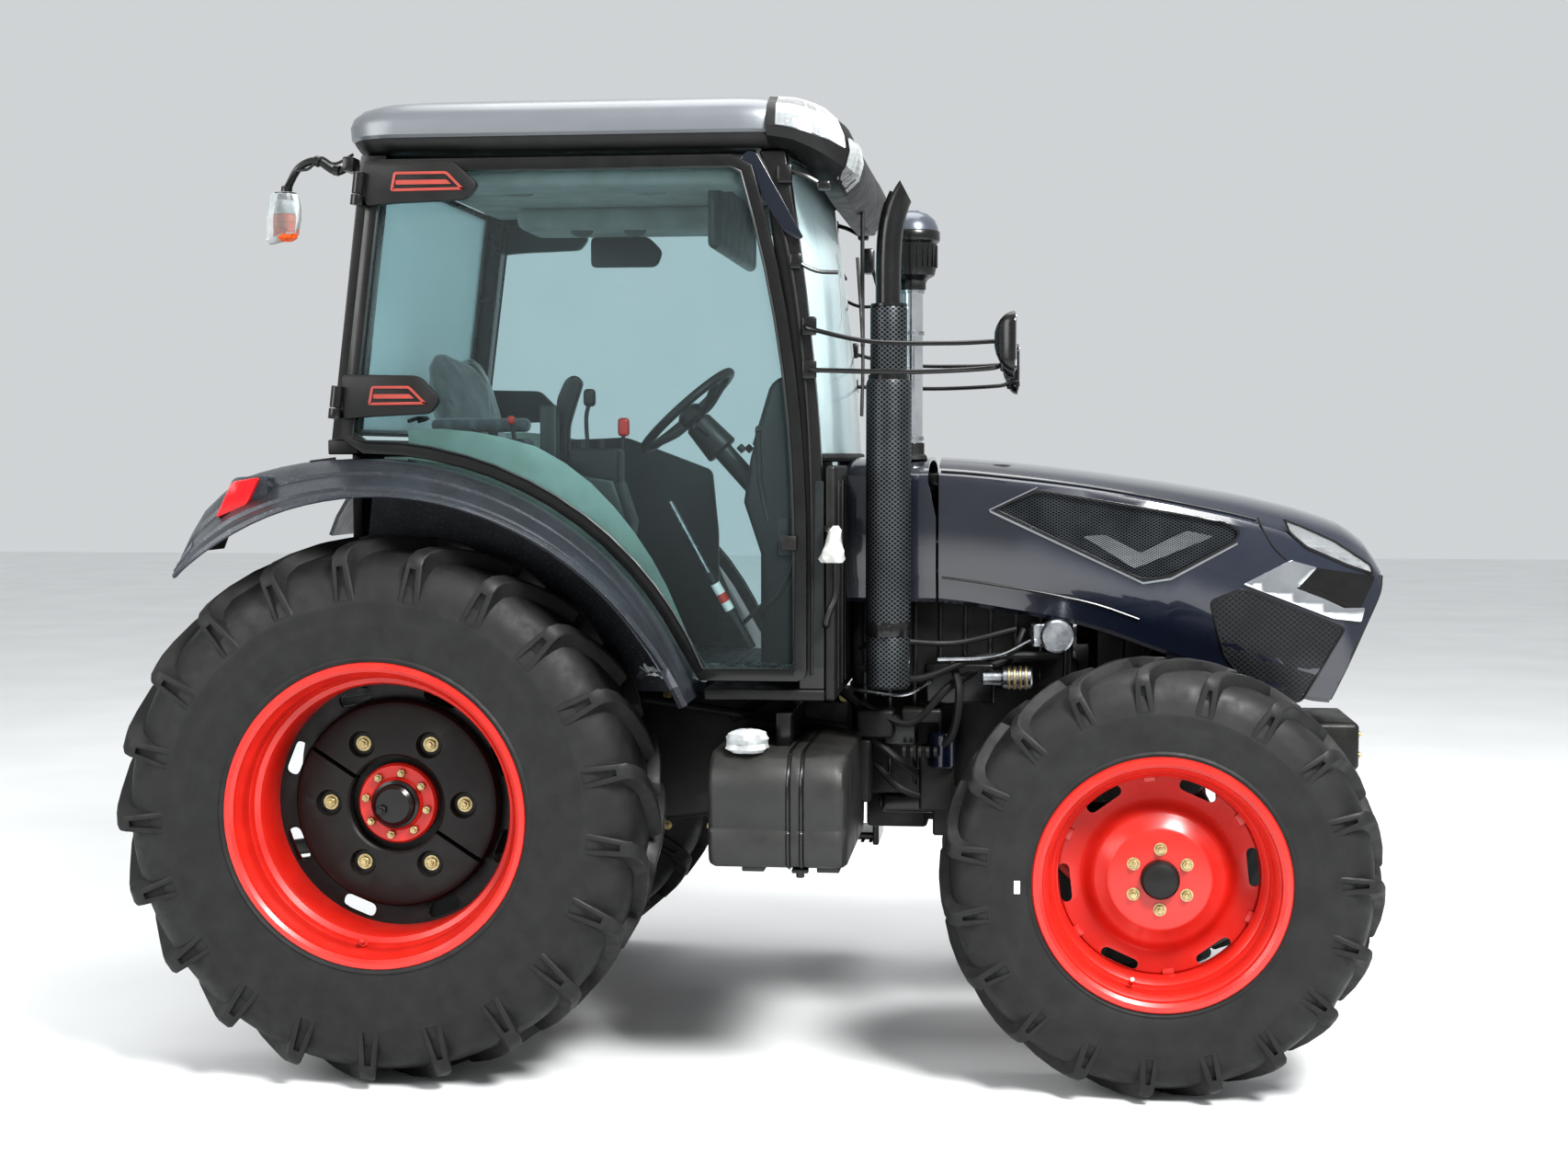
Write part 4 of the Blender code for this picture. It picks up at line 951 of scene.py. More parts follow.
AMBER = ClearPane("amber_beacon_lens", "#f0641c", "#d84f12", 0.1, passes=0.3, fluted_mm=12)


# ---------------------------------------------------------------- sub-assemblies

@dataclass
class Assembly:
    """One part of the tractor, modelled piece by piece around the frame."""

    frame: Frame

    def put(self, pieces: Piece | Sequence[Piece], name: str, finish: Finish, slot: str,
            nodes: Sequence[str] = (), smooth: float = SMOOTH_ANGLE) -> None:
        """Names a piece, or several as one, and sets it on the chassis.

        Args:
            pieces: The piece, or those that are joined into one.
            name: The piece's name.
            finish: What its surface is.
            slot: The record's material slot.
            nodes: CAD nodes that it stands for.
            smooth: Edges flatter than this many degrees shade smooth.
        """
        piece = pieces if isinstance(pieces, Piece) else join(name, pieces)
        piece.name = name
        self.frame.deliver(piece, "chassis", finish, slot, nodes, smooth)

    def pair(self, piece: Piece, name: str, finish: Finish, slot: str, node: str = "",
            smooth: float = SMOOTH_ANGLE) -> None:
        """Sets a right-hand piece and its mirror image on the chassis."""
        self.frame.both(piece, name, "chassis", finish, slot, node, smooth)


# ---------------------------------------------------------------- wheels

@dataclass
class Tyre:
    """A farm tyre: a ribless carcass with two rows of long curved lugs."""

    outer_radius: float
    width: float
    bead_radius: float
    flange_radius: float
    lugs: int
    lug_width: float
    steps: int = 84
    # share of half the width, share of the outer radius
    shoulder: tuple = ((0.985, 0.635), (1.0, 0.68), (1.004, 0.69), (1.0, 0.7), (0.992, 0.75),
        (0.996, 0.76), (0.99, 0.772), (0.975, 0.785), (0.955, 0.82), (0.91, 0.855), (0.85, 0.885),
        (0.77, 0.915), (0.6, 0.94), (0.3, 0.952), (0.0, 0.955))
    # share of half the width, lug top and lug foot as shares of the outer radius
    lug_rows: tuple = ((-0.05, 1.0, 0.945), (0.22, 0.999, 0.945), (0.48, 0.992, 0.935),
        (0.68, 0.982, 0.92), (0.83, 0.967, 0.88), (0.93, 0.948, 0.83), (0.99, 0.915, 0.768))
    sweep: float = 0.27
    bend: float = 1.7
    widening: float = 0.25
    foot_spread: float = 1.45
    foot_taper: float = 0.35
    top_spread: float = 0.78
    end_rim: float = 0.009
    end_depth: float = 0.012

    def carcass(self, name: str, centre: Vector) -> Piece:
        """The turned body with its bead, ring lines and rounded shoulders."""
        half = self.width / 2
        foot = [(self.bead_radius + 0.005, 0.9), (self.flange_radius + 0.003, 0.935),
            (self.flange_radius + 0.012, 0.962), (self.flange_radius + 0.018, 0.945)]
        outer = [(r, -y * half) for r, y in foot]
        outer += [(share * self.outer_radius, -y * half) for y, share in self.shoulder]
        inner = [(r, -y) for r, y in reversed(outer[:-1])]
        return lathe(name, outer + inner, tuple(centre), Axis.Y, self.steps)

    def lug(self, centre: Vector, way: int) -> Piece:
        """One lug from the middle of the tread to the sidewall, its end hollowed.

        Args:
            centre: The wheel's middle.
            way: The side of the tread, as the sign of y.

        Returns:
            The lug, at the bottom of the wheel.
        """
        half, radius = self.width / 2, self.outer_radius
        rings = []
        for share, top, foot in self.lug_rows:
            reach = max(share, 0.0)
            lag = self.sweep * (1.0 - (1.0 - reach) ** self.bend)
            wide = self.lug_width * (1.0 + self.widening * reach) / 2
            ring = []
            foot_reach = self.foot_spread - self.foot_taper * reach
            for r, spread in ((foot, foot_reach), (top, self.top_spread), (top, -self.top_spread),
                    (foot, -foot_reach)):
                angle = lag + spread * wide / (r * radius)
                ring.append((centre.x + r * radius * math.sin(angle), centre.y + way * share * half,
                    centre.z - r * radius * math.cos(angle)))
            rings.append(ring)
        piece = loft("lug", rings, closed=True, capped=True)
        soften(piece, 0.0035, 1, 40.0)
        edge = centre.y + way * 0.985 * half
        return inset_and_sink(piece, lambda one: abs(one.calc_center_median().y - edge) < 0.004
            and abs(one.normal.y) > 0.8 and one.calc_area() > 0.0008, self.end_rim,
            (0.0, -way * self.end_depth, 0.0))

    def build(self, name: str, centre: Vector) -> Piece:
        """The whole tyre: carcass and both rows of lugs."""
        pitch = 360.0 / self.lugs
        rows = [self.carcass(name, centre)]
        for way, first in ((-1, 0.0), (1, pitch / 2)):
            rows.append(copies(self.lug(centre, way),
                turns(self.lugs, tuple(centre), Axis.Y, first), keep=False))
        return join(name, rows)


@dataclass
class Rim:
    """A stepped drop-centre rim: outer flange, bead seats and the narrower well."""

    flange_radius: float
    seat_radius: float
    well_radius: float
    width: float
    skin: float = 0.006

    def build(self, name: str, centre: Vector, steps: int = 84) -> Piece:
        """The turned rim, both its flanges rolled."""
        half, seat, well = self.width / 2, self.seat_radius - self.skin, self.well_radius
        flange = self.flange_radius
        lip = [(flange - 0.002, half - 0.016), (flange, half - 0.006),
            (flange - 0.003, half - 0.001), (flange - 0.012, half), (flange - 0.018, half - 0.005),
            (flange - 0.021, half - 0.018), (seat, half - 0.028), (seat - 0.003, half - 0.04),
            (seat - 0.004, half - 0.075), (seat - 0.01, half - 0.083), (seat - 0.012, half - 0.098),
            (well + 0.004, half - 0.108), (well, half - 0.118)]
        outer = [(r, -y) for r, y in lip]
        inner = [(r, y) for r, y in reversed(lip)]
        piece = lathe(name, outer + inner, tuple(centre), Axis.Y, steps, closed=False)
        apply_modifier(piece, "SOLIDIFY", thickness=self.skin, offset=1.0)
        return piece


def hex_bolt(centre: Point, way: Point, across: float, height: float, washer: float = 0.0) -> Piece:
    """A hexagon head on its washer, with a domed end of thread.

    Args:
        centre: Where the head sits on its face.
        way: Unit direction out of that face.
        across: Width of the hexagon over its corners.
        height: Height of the head.
        washer: Radius of the washer, none at 0.

    Returns:
        The bolt.
    """
    seat, out = Vector(centre), Vector(way)
    parts = [rod("bolt", tuple(seat), tuple(seat + out * height), across / 2, 6, chamfer=0.0012),
        rod("stud", tuple(seat + out * height * 0.9), tuple(seat + out * height * 1.5),
        across * 0.27, 12, across * 0.22, chamfer=0.0)]
    if washer:
        parts.append(rod("washer", tuple(seat), tuple(seat + out * 0.003), washer, 24, chamfer=0.0))
    return join("bolt", parts)


@dataclass
class RearWheels(Assembly):
    """The driven wheels: tyre, red rim, black disc and the split cast weight on it."""

    disc_y: float = 0.062
    weight_bolts: int = 6
    bolt_circle: float = 0.188

    def build(self) -> None:
        """Models the right wheel and mirrors it to the left."""
        low, high = self.frame.box("rear_tyre_right")
        centre = Vector((0.0, (low.y + high.y) / 2, (low.z + high.z) / 2))
        tyre = Tyre(high.z / 2, high.y - low.y, 0.381, 0.406, lugs=21, lug_width=0.042)
        pieces = [(tyre.build("rear_tyre", centre), RUBBER, "tyre_rubber", "rear_tyre_{}"),
            (self.rim(centre), RED, "red_paint", "rear_rim_{}"), (self.disc(centre), CASTING,
            "black_casting", ""), (self.weight(), CASTING, "black_casting", "rear_weight_{}"),
            (self.hub(centre), RED, "red_paint", ""), (self.bolts(centre), ZINC, "bright_steel",
            ""), (self.axle_end(centre), BLACK, "black_casting", "")]
        for piece, finish, slot, node in pieces:
            name = node or piece.name.split(".")[0] + "_{}"
            self.frame.both(piece, name, "rear_wheel_{}", finish, slot, node)

    def rim(self, centre: Vector) -> Piece:
        """The red rim with its valve."""
        rim = Rim(0.406, 0.381, 0.345, 0.4).build("rear_rim", centre)
        stem = centre + Vector((-0.05, -0.135, -0.352))
        valve = rod("valve", tuple(stem), tuple(stem + Vector((0.004, -0.03, 0.014))), 0.0075, 12)
        nut = rod("nut", tuple(stem), tuple(stem + Vector((0.001, -0.008, 0.004))), 0.014, 6)
        return join("rear_rim", [rim, valve, nut])

    def disc(self, centre: Vector) -> Piece:
        """The black wheel disc, dished, with hand-holes outside the weight."""
        y = self.disc_y
        profile = [(0.06, y), (0.26, y), (0.3, y - 0.012), (0.342, y - 0.014), (0.342, y - 0.002),
            (0.302, y), (0.265, y + 0.012), (0.06, y + 0.012)]
        disc = lathe("rear_disc", profile, tuple(centre), Axis.Y, 64)
        hole = rounded_block("hand_hole", (centre.x - 0.048, centre.y + y - 0.05, centre.z + 0.293),
            (centre.x + 0.048, centre.y + y + 0.05, centre.z + 0.331), 0.016, 3)
        return cut(disc, copies(hole, turns(8, tuple(centre), Axis.Y, 22.0), keep=False))

    def weight(self) -> Piece:
        """The cast weight: two half rings bolted on, with a pocket round each bolt."""
        low, high = self.frame.box("rear_weight_right")
        middle = Vector(((low.x + high.x) / 2, 0.0, (low.z + high.z) / 2))
        radius, bore = (high.x - low.x) / 2, 0.132
        profile = [(bore, high.y), (bore, low.y + 0.006), (bore + 0.006, low.y), (radius - 0.02,
            low.y), (radius - 0.007, low.y + 0.006), (radius, low.y + 0.018), (radius, high.y)]
        weight = lathe("rear_weight", profile, tuple(middle), Axis.Y, 72)
        pocket = rod("pocket", (self.bolt_circle, low.y - 0.01, middle.z),
            (self.bolt_circle, low.y + 0.022, middle.z), 0.04, 24, 0.03, chamfer=0.0)
        slot = rounded_block("split", (-radius - 0.02, low.y - 0.01, middle.z - 0.006),
            (-0.1, high.y + 0.01, middle.z + 0.006), 0.001, 1)
        tools = [copies(pocket, turns(self.weight_bolts, tuple(middle), Axis.Y), keep=False),
            copies(slot, turns(2, tuple(middle), Axis.Y, 33.0), keep=False)]
        weight = cut(cut(weight, tools[0]), tools[1])
        return soften(weight, 0.002, 1, 50.0)

    def bolts(self, centre: Vector) -> Piece:
        """The weight's six bolts and the hub's ring of nuts."""
        low, _ = self.frame.box("rear_weight_right")
        big = hex_bolt((self.bolt_circle, low.y + 0.021, centre.z), (0, -1, 0), 0.03, 0.012, 0.021)
        small = hex_bolt((0.086, centre.y + 0.022, centre.z), (0, -1, 0), 0.024, 0.014, 0.0)
        rings = [copies(big, turns(self.weight_bolts, tuple(centre), Axis.Y), keep=False),
            copies(small, turns(8, tuple(centre), Axis.Y, 10.0), keep=False)]
        return join("rear_wheel_bolts", rings)

    def hub(self, centre: Vector) -> Piece:
        """The red hub flange deep in the weight's bore."""
        profile = [(0.02, 0.075), (0.11, 0.075), (0.11, 0.03), (0.104, 0.022), (0.074, 0.022),
            (0.066, 0.014), (0.02, 0.014)]
        return lathe("rear_hub", profile, tuple(centre), Axis.Y, 48)

    def axle_end(self, centre: Vector) -> Piece:
        """The black end of the axle with its cap and oil plug."""
        profile = [(0.0001, -0.022), (0.046, -0.022), (0.056, -0.014), (0.058, -0.002),
            (0.066, 0.002), (0.066, 0.03), (0.0001, 0.03)]
        cap = lathe("rear_axle_end", profile, tuple(centre), Axis.Y, 36)
        plug = centre + Vector((-0.03, -0.022, -0.012))
        return join("rear_axle_end", [cap, hex_bolt(tuple(plug), (0, -1, 0), 0.03, 0.012)])


@dataclass
class FrontWheels(Assembly):
    """The steered wheels: tyre, red rim and a pressed red disc with slots near the rim."""

    slots: int = 6

    def build(self) -> None:
        """Models the right wheel and mirrors it to the left."""
        low, high = self.frame.box("front_tyre_right")
        centre = Vector(((low.x + high.x) / 2, (low.y + high.y) / 2, (low.z + high.z) / 2))
        tyre = Tyre(high.z / 2, high.y - low.y, 0.305, 0.3305, lugs=19, lug_width=0.036)
        pieces = [(tyre.build("front_tyre", centre), RUBBER, "tyre_rubber", "front_tyre_{}"),
            (self.rim(centre), RED, "red_paint", "front_rim_{}"), (self.bolts(centre), ZINC,
            "bright_steel", ""), (self.cap(centre), PLASTIC, "black_trim", ""),
            (self.patch(centre), WHITE, "tyre_rubber", "")]
        for piece, finish, slot, node in pieces:
            name = node or piece.name.split(".")[0] + "_{}"
            self.frame.both(piece, name, "front_wheel_{}", finish, slot, node)

    def rim(self, centre: Vector) -> Piece:
        """The rim, the stepped disc with its slots, and the valve."""
        rim = Rim(0.3305, 0.305, 0.272, 0.3).build("front_rim", centre)
        face = [(0.05, -0.058), (0.128, -0.058), (0.138, -0.054), (0.146, -0.046), (0.168, -0.04),
            (0.182, -0.03), (0.192, -0.012), (0.21, -0.002), (0.262, 0.004), (0.272, 0.014)]
        disc = lathe("front_disc", face, tuple(centre), Axis.Y, 72, closed=False)
        apply_modifier(disc, "SOLIDIFY", thickness=0.009, offset=-1.0)
        slot = rounded_block("slot", (centre.x - 0.052, centre.y - 0.05, centre.z + 0.232),
            (centre.x + 0.052, centre.y + 0.06, centre.z + 0.262), 0.014, 3)
        disc = cut(disc, copies(slot, turns(self.slots, tuple(centre), Axis.Y, 84.0), keep=False))
        lug = rounded_block("lug", (centre.x - 0.016, centre.y - 0.004, centre.z + 0.25),
            (centre.x + 0.016, centre.y + 0.01, centre.z + 0.273), 0.004)
        stem = centre + Vector((-0.075, -0.095, -0.268))
        valve = rod("valve", tuple(stem), tuple(stem + Vector((0.003, -0.026, 0.016))), 0.0075, 12)
        return join("front_rim",
            [rim, disc, valve, copies(lug, turns(6, tuple(centre), Axis.Y, 54.0), keep=False)])

    def bolts(self, centre: Vector) -> Piece:
        """The six wheel nuts."""
        nut = hex_bolt((centre.x + 0.08, centre.y - 0.058, centre.z), (0, -1, 0), 0.026, 0.013,
            0.017)
        return copies(nut, turns(6, tuple(centre), Axis.Y, 30.0), keep=False)

    def cap(self, centre: Vector) -> Piece:
        """The black hub cap, domed and ringed."""
        profile = [(0.0001, -0.094), (0.03, -0.093), (0.044, -0.088), (0.05, -0.08), (0.052, -0.05),
            (0.0001, -0.05)]
        return lathe("front_hub_cap", profile, tuple(centre), Axis.Y, 40)

    def patch(self, centre: Vector) -> Piece:
        """A small blank paper patch on the sidewall."""
        at = centre + Vector((-0.372, -0.1585, -0.01))
        return rounded_block("tyre_patch", tuple(at + Vector((-0.008, -0.0012, -0.017))),
            tuple(at + Vector((0.008, 0.004, 0.017))), 0.0006, 1)


# ---------------------------------------------------------------- hood

def rounded(corners: Sequence[tuple[float, float]], radius: float,
        steps: int = 4) -> list[tuple[float, float]]:
    """An outline with each corner turned into a short curve."""
    out = []
    count = len(corners)
    for n, corner in enumerate(corners):
        here = Vector(corner)
        before, after = Vector(corners[n - 1]), Vector(corners[(n + 1) % count])
        reach = min(radius, (before - here).length * 0.45, (after - here).length * 0.45)
        start = here + (before - here).normalized() * reach
        end = here + (after - here).normalized() * reach
        for step in range(steps + 1):
            t = step / steps
            out.append(tuple(start * (1 - t) ** 2 + here * 2 * t * (1 - t) + end * t * t))
    return out


def in_side_plane(outline: Iterable[tuple[float, float]], y: float) -> list[Point]:
    """An x-z outline as points at one y."""
    return [(x, y, z) for x, z in outline]


def side_plate(name: str, corners: Sequence[tuple[float, float]], y: float, thickness: float,
        radius: float = 0.0, rounding: float = 0.0) -> Piece:
    """A plate parallel to the tractor's side.

    Args:
        name: The piece's name.
        corners: Its x-z outline.
        y: Its outer face, for the right side.
        thickness: How far it reaches inwards.
        radius: Radius of its corners.
        rounding: Radius on its edges.

    Returns:
        The plate.
    """
    outline = rounded(corners, radius) if radius else list(corners)
    return plate(name, in_side_plane(outline, y), (0.0, thickness, 0.0), rounding)


def side_frame(name: str, corners: Sequence[tuple[float, float]], y: float, thickness: float,
        border: float, radius: float = 0.0, rounding: float = 0.0) -> Piece:
    """A plate with its middle cut out, leaving a border."""
    piece = side_plate(name, corners, y, thickness, radius)
    take(piece)
    for at in (y, y + thickness):
        select_faces(piece, lambda one, at=at: abs(one.normal.y) > 0.99 and abs(
            one.calc_center_median().y - at) < 1e-5 and len(one.verts) > 4)
        bpy.ops.mesh.inset(thickness=border, depth=0.0)
        bpy.ops.object.mode_set(mode="OBJECT")
    select_faces(piece, lambda one: abs(one.normal.y) > 0.99 and len(one.verts) > 4)
    bpy.ops.mesh.bridge_edge_loops()
    bpy.ops.mesh.select_mode(type="VERT")
    bpy.ops.object.mode_set(mode="OBJECT")
    close_up(piece)
    return soften(piece, rounding, 2, 50.0) if rounding else piece


def wrap(piece: Piece, depth: Callable[[float, float], float], step: float = 0.05) -> Piece:
    """Slices a side plate across x and z, and lays it on a curved side.

    Args:
        piece: A plate modelled at y = 0.
        depth: The side's y at a given x and z.
        step: Distance between the slices.

    Returns:
        The same piece, following the side.
    """
    take(piece)
    bpy.ops.object.mode_set(mode="EDIT")
    corners = [v.co for v in piece.data.vertices]
    for axis, way in ((0, (1, 0, 0)), (2, (0, 0, 1))):
        low, high = min(c[axis] for c in corners), max(c[axis] for c in corners)
        for n in range(1, int((high - low) / step) + 1):
            bpy.ops.mesh.select_all(action="SELECT")
            at = [0.0, 0.0, 0.0]
            at[axis] = low + n * (high - low) / (int((high - low) / step) + 1)
            bpy.ops.mesh.bisect(plane_co=at, plane_no=way)
    bpy.ops.object.mode_set(mode="OBJECT")
    for point in piece.data.vertices:
        point.co.y += depth(point.co.x, point.co.z)
    return piece


@dataclass
class Hood(Assembly):
    """The lifting hood: gloss skin, side vents, lamps, trims and grille."""

    skin: float = 0.008
    # x, height at the middle, height and half width of the crease, half width and low edge
    stations: tuple = ((1.46, 1.683, 1.654, 0.312, 0.352, 1.273),
        (1.66, 1.668, 1.637, 0.31, 0.352, 1.245), (1.88, 1.643, 1.61, 0.304, 0.35, 1.205),
        (2.1, 1.612, 1.572, 0.294, 0.34, 1.13), (2.3, 1.578, 1.53, 0.278, 0.322, 1.065),
        (2.48, 1.536, 1.48, 0.256, 0.294, 1.005), (2.6, 1.494, 1.436, 0.234, 0.264, 0.99),
        (2.672, 1.44, 1.392, 0.214, 0.24, 0.99), (2.7, 1.385, 1.35, 0.2, 0.222, 0.99))
    nose: tuple = ((2.85, 0.9), (2.85, 1.5), (2.712, 1.405), (2.704, 1.372), (2.694, 1.3),
        (2.604, 1.1), (2.504, 0.88))
    vent: tuple = ((1.605, 1.538), (1.735, 1.594), (2.262, 1.506), (2.3, 1.478), (2.285, 1.445),
        (2.105, 1.348), (2.03, 1.336))
    vee: tuple = ((1.862, 1.462), (2.006, 1.372), (2.225, 1.462), (2.15, 1.478), (2.022, 1.416),
        (1.925, 1.466))
    lamp: tuple = ((2.415, 1.513), (2.47, 1.492), (2.56, 1.452), (2.668, 1.382), (2.676, 1.352),
        (2.6, 1.378), (2.48, 1.43), (2.43, 1.474))
    trim: tuple = ((2.305, 1.33), (2.438, 1.396), (2.512, 1.376), (2.462, 1.322), (2.59, 1.262),
        (2.65, 1.262), (2.64, 1.222), (2.56, 1.232))
    pocket: tuple = ((2.35, 1.336), (2.442, 1.384), (2.68, 1.35), (2.628, 1.238))
    honeycomb: tuple = ((2.212, 1.282), (2.305, 1.32), (2.6, 1.205), (2.56, 1.14), (2.478, 0.992),
        (2.352, 1.0), (2.252, 1.13))

    def build(self) -> None:
        """Models the hood's pieces and sets them on its hinge."""
        shell = self.shell()
        self.frame.deliver(shell, "hood", NAVY, "navy_paint", ["hood"], smooth=24.0)
        self.sides()
        self.seam()
        self.front()

    def row(self, x: float) -> tuple[float, ...]:
        """The station at any x, smoothly between the given ones."""
        rows = self.stations
        n = max(i for i, r in enumerate(rows[:-1]) if r[0] <= max(x, rows[0][0]))
        a, b = rows[n], rows[n + 1]
        before, after = rows[max(n - 1, 0)], rows[min(n + 2, len(rows) - 1)]
        t = min(max((x - a[0]) / (b[0] - a[0]), 0.0), 1.0)
        out = [x]
        for i in range(1, 6):
            p0, p1, p2, p3 = before[i], a[i], b[i], after[i]
            out.append(0.5 * (2 * p1 + (p2 - p0) * t + (2 * p0 - 5 * p1 + 4 * p2 - p3) * t * t + (
                3 * p1 - p0 - 3 * p2 + p3) * t ** 3))
        return tuple(out)

    def half_section(self, x: float) -> list[tuple[float, float]]:
        """The right half's (distance out, height) points from the ridge down."""
        _, top, crease, inner, side, low = self.row(x)
        drop = top - crease
        middle = (crease + low) / 2
        return [(0.0, top), (0.3 * inner, top - 0.05 * drop), (0.58 * inner, top - 0.2 * drop),
            (0.82 * inner, top - 0.48 * drop), (0.95 * inner, top - 0.78 * drop), (inner, crease),
            (inner + 0.55 * (side - inner), crease - 0.01), (side - 0.006, crease - 0.022),
            (side, crease - 0.04), (side + 0.003, middle + 0.05), (side, low + 0.085),
            (side - 0.01, low + 0.06), (side - 0.02, low + 0.012), (side - 0.03, low)]

    def depth(self, x: float, z: float) -> float:
        """The right side's y at a given x and z."""
        points = self.half_section(min(max(x, 1.462), 2.698))[7:]
        for (out_a, z_a), (out_b, z_b) in zip(points, points[1:]):
            if z_b <= z <= z_a:
                t = (z_a - z) / (z_a - z_b)
                return -(out_a + (out_b - out_a) * t)
        return -points[0][0] if z > points[0][1] else -points[-1][0]

    def shell(self) -> Piece:
        """The skin from cowl to nose, sloped at the front and open for the vents."""
        span = self.stations[-1][0] - self.stations[0][0]
        rows = []
        for n in range(25):
            x = self.stations[0][0] + span * (1 - (1 - n / 24) ** 1.35)
            half = self.half_section(x)
            rows.append([(x, -y, z) for y, z in reversed(half)] + [(x, y, z) for y, z in half[1:]])
        shell = loft("hood_shell", rows)
        with editing(shell):
            bpy.ops.mesh.normals_make_consistent(inside=False)
        if shell.data.polygons[len(shell.data.polygons) // 2].normal.z < 0 and max(
                shell.data.polygons, key=lambda one: one.center.z).normal.z < 0:
            shell.data.flip_normals()
        apply_modifier(shell, "SOLIDIFY", thickness=self.skin, offset=-1.0)
        slope = plate("slope", in_side_plane(self.nose, -0.5), (0.0, 1.0, 0.0))
        shell = cut(shell, slope)
        window = plate("window", in_side_plane(rounded(self.vent, 0.03), -0.5), (0.0, 1.0, 0.0))
        return cut(shell, window)

    def sides(self) -> None:
        """Vent, lamp, trims and honeycomb of both sides."""
        def place(piece: Piece, finish: Finish, slot: str) -> None:
            """Sets the piece and its mirror image on the hood."""
            self.frame.both(piece, piece.name.split(".")[0] + "_{}", "hood", finish, slot)

        panel = wrap(side_plate("hood_vent_mesh", self.vent, 0.011, 0.003, 0.03), self.depth)
        place(panel, SIDE_MESH, "black_trim")
        vee = wrap(side_plate("hood_vent_strip", self.vee, 0.0095, 0.003, 0.008), self.depth)
        place(vee, BRIGHT_MESH, "bright_steel")
        rim = wrap(side_frame("hood_vent_rim", self.vent, -0.003, 0.012, 0.007, 0.03, 0.0015),
            self.depth)
        place(rim, BLACK, "black_trim")
        bright = ((1.6, 1.536), (1.735, 1.6), (1.736, 1.597), (1.604, 1.534))
        lower = ((1.6, 1.537), (1.604, 1.528), (2.03, 1.329), (2.108, 1.341), (2.29, 1.44),
            (2.29, 1.446), (2.106, 1.347), (2.03, 1.335), (1.607, 1.533))
        for number, outline in enumerate((bright, lower)):
            line = wrap(side_plate(f"hood_vent_line_{number}", outline, -0.0045, 0.004), self.depth)
            place(line, CHROME, "bright_steel")
        place(wrap(side_plate("hood_lamp_glass", self.lamp, -0.004, 0.003, 0.01), self.depth, 0.03),
            LAMP_LENS, "bright_steel")
        place(wrap(side_plate("hood_lamp_bowl", self.lamp, 0.0, 0.004, 0.01), self.depth, 0.03),
            SHADED_LAMP_BOWL, "bright_steel")
        place(wrap(side_frame("hood_lamp_rim", self.lamp, -0.006, 0.009, 0.006, 0.01, 0.001),
            self.depth, 0.03), BLACK, "black_trim")
        place(wrap(side_plate("hood_pocket", self.pocket, -0.0015, 0.003, 0.01), self.depth, 0.03),
            BLACK, "black_trim")
        place(wrap(side_plate("hood_blade", self.trim, -0.009, 0.01, 0.006, 0.002), self.depth,
            0.03), CHROME, "bright_steel")
        inner = ((2.455, 1.318), (2.47, 1.33), (2.6, 1.276), (2.604, 1.262))
        place(wrap(side_plate("hood_blade_shade", inner, -0.0105, 0.004, 0.003), self.depth, 0.03),
            BLACK, "black_trim")
        place(wrap(side_plate("hood_honeycomb", self.honeycomb, -0.0015, 0.003, 0.02), self.depth,
            0.04), GRILLE_MESH, "black_trim")
        place(wrap(side_frame("hood_honeycomb_rim", self.honeycomb, -0.004, 0.006, 0.006, 0.02,
            0.001), self.depth, 0.04), BLACK, "black_trim")
        edge = [(x, self.depth(x, self.row(x)[5] + 0.07) - 0.002,
            self.row(x)[5] + 0.072) for x in (1.47, 1.6, 1.75, 1.9, 2.02)]
        place(pipe("hood_low_bead", edge, 0.0035, 3, 1), BLACK, "black_trim")

    def seam(self) -> None:
        """The dark shut line under the crease, and the line across the nose."""
        for side in Side:
            line = []
            for n in range(15):
                x = 1.466 + n * 0.0625
                _, _, crease, inner, flank, _ = self.row(x)
                line.append((x, side.value * (inner + 0.62 * (flank - inner)), crease - 0.0105))
            piece = pipe(f"hood_seam_{side.word}", line, 0.0028, 2, 1)
            self.frame.deliver(piece, "hood", PLASTIC, "black_trim")
            line = [(x, side.value * (abs(self.depth(x, z)) + 0.0005), z) for x,
                z in ((2.345, 1.515), (2.362, 1.478), (2.392, 1.43), (2.428, 1.396))]
            piece = pipe(f"hood_nose_seam_{side.word}", line, 0.0026, 4, 1)
            self.frame.deliver(piece, "hood", PLASTIC, "black_trim")

    def front(self) -> None:
        """The nose: grille face with bars, honeycomb centre, lamp brow and badge-free bar."""
        def slope_x(z: float) -> float:
            """The nose's x at a height."""
            pairs = sorted((z, x) for x, z in self.nose[2:])
            for (z_a, x_a), (z_b, x_b) in zip(pairs, pairs[1:]):
                if z_a <= z <= z_b:
                    return x_a + (x_b - x_a) * (z - z_a) / (z_b - z_a)
            return pairs[0][1] if z < pairs[0][0] else pairs[-1][1]

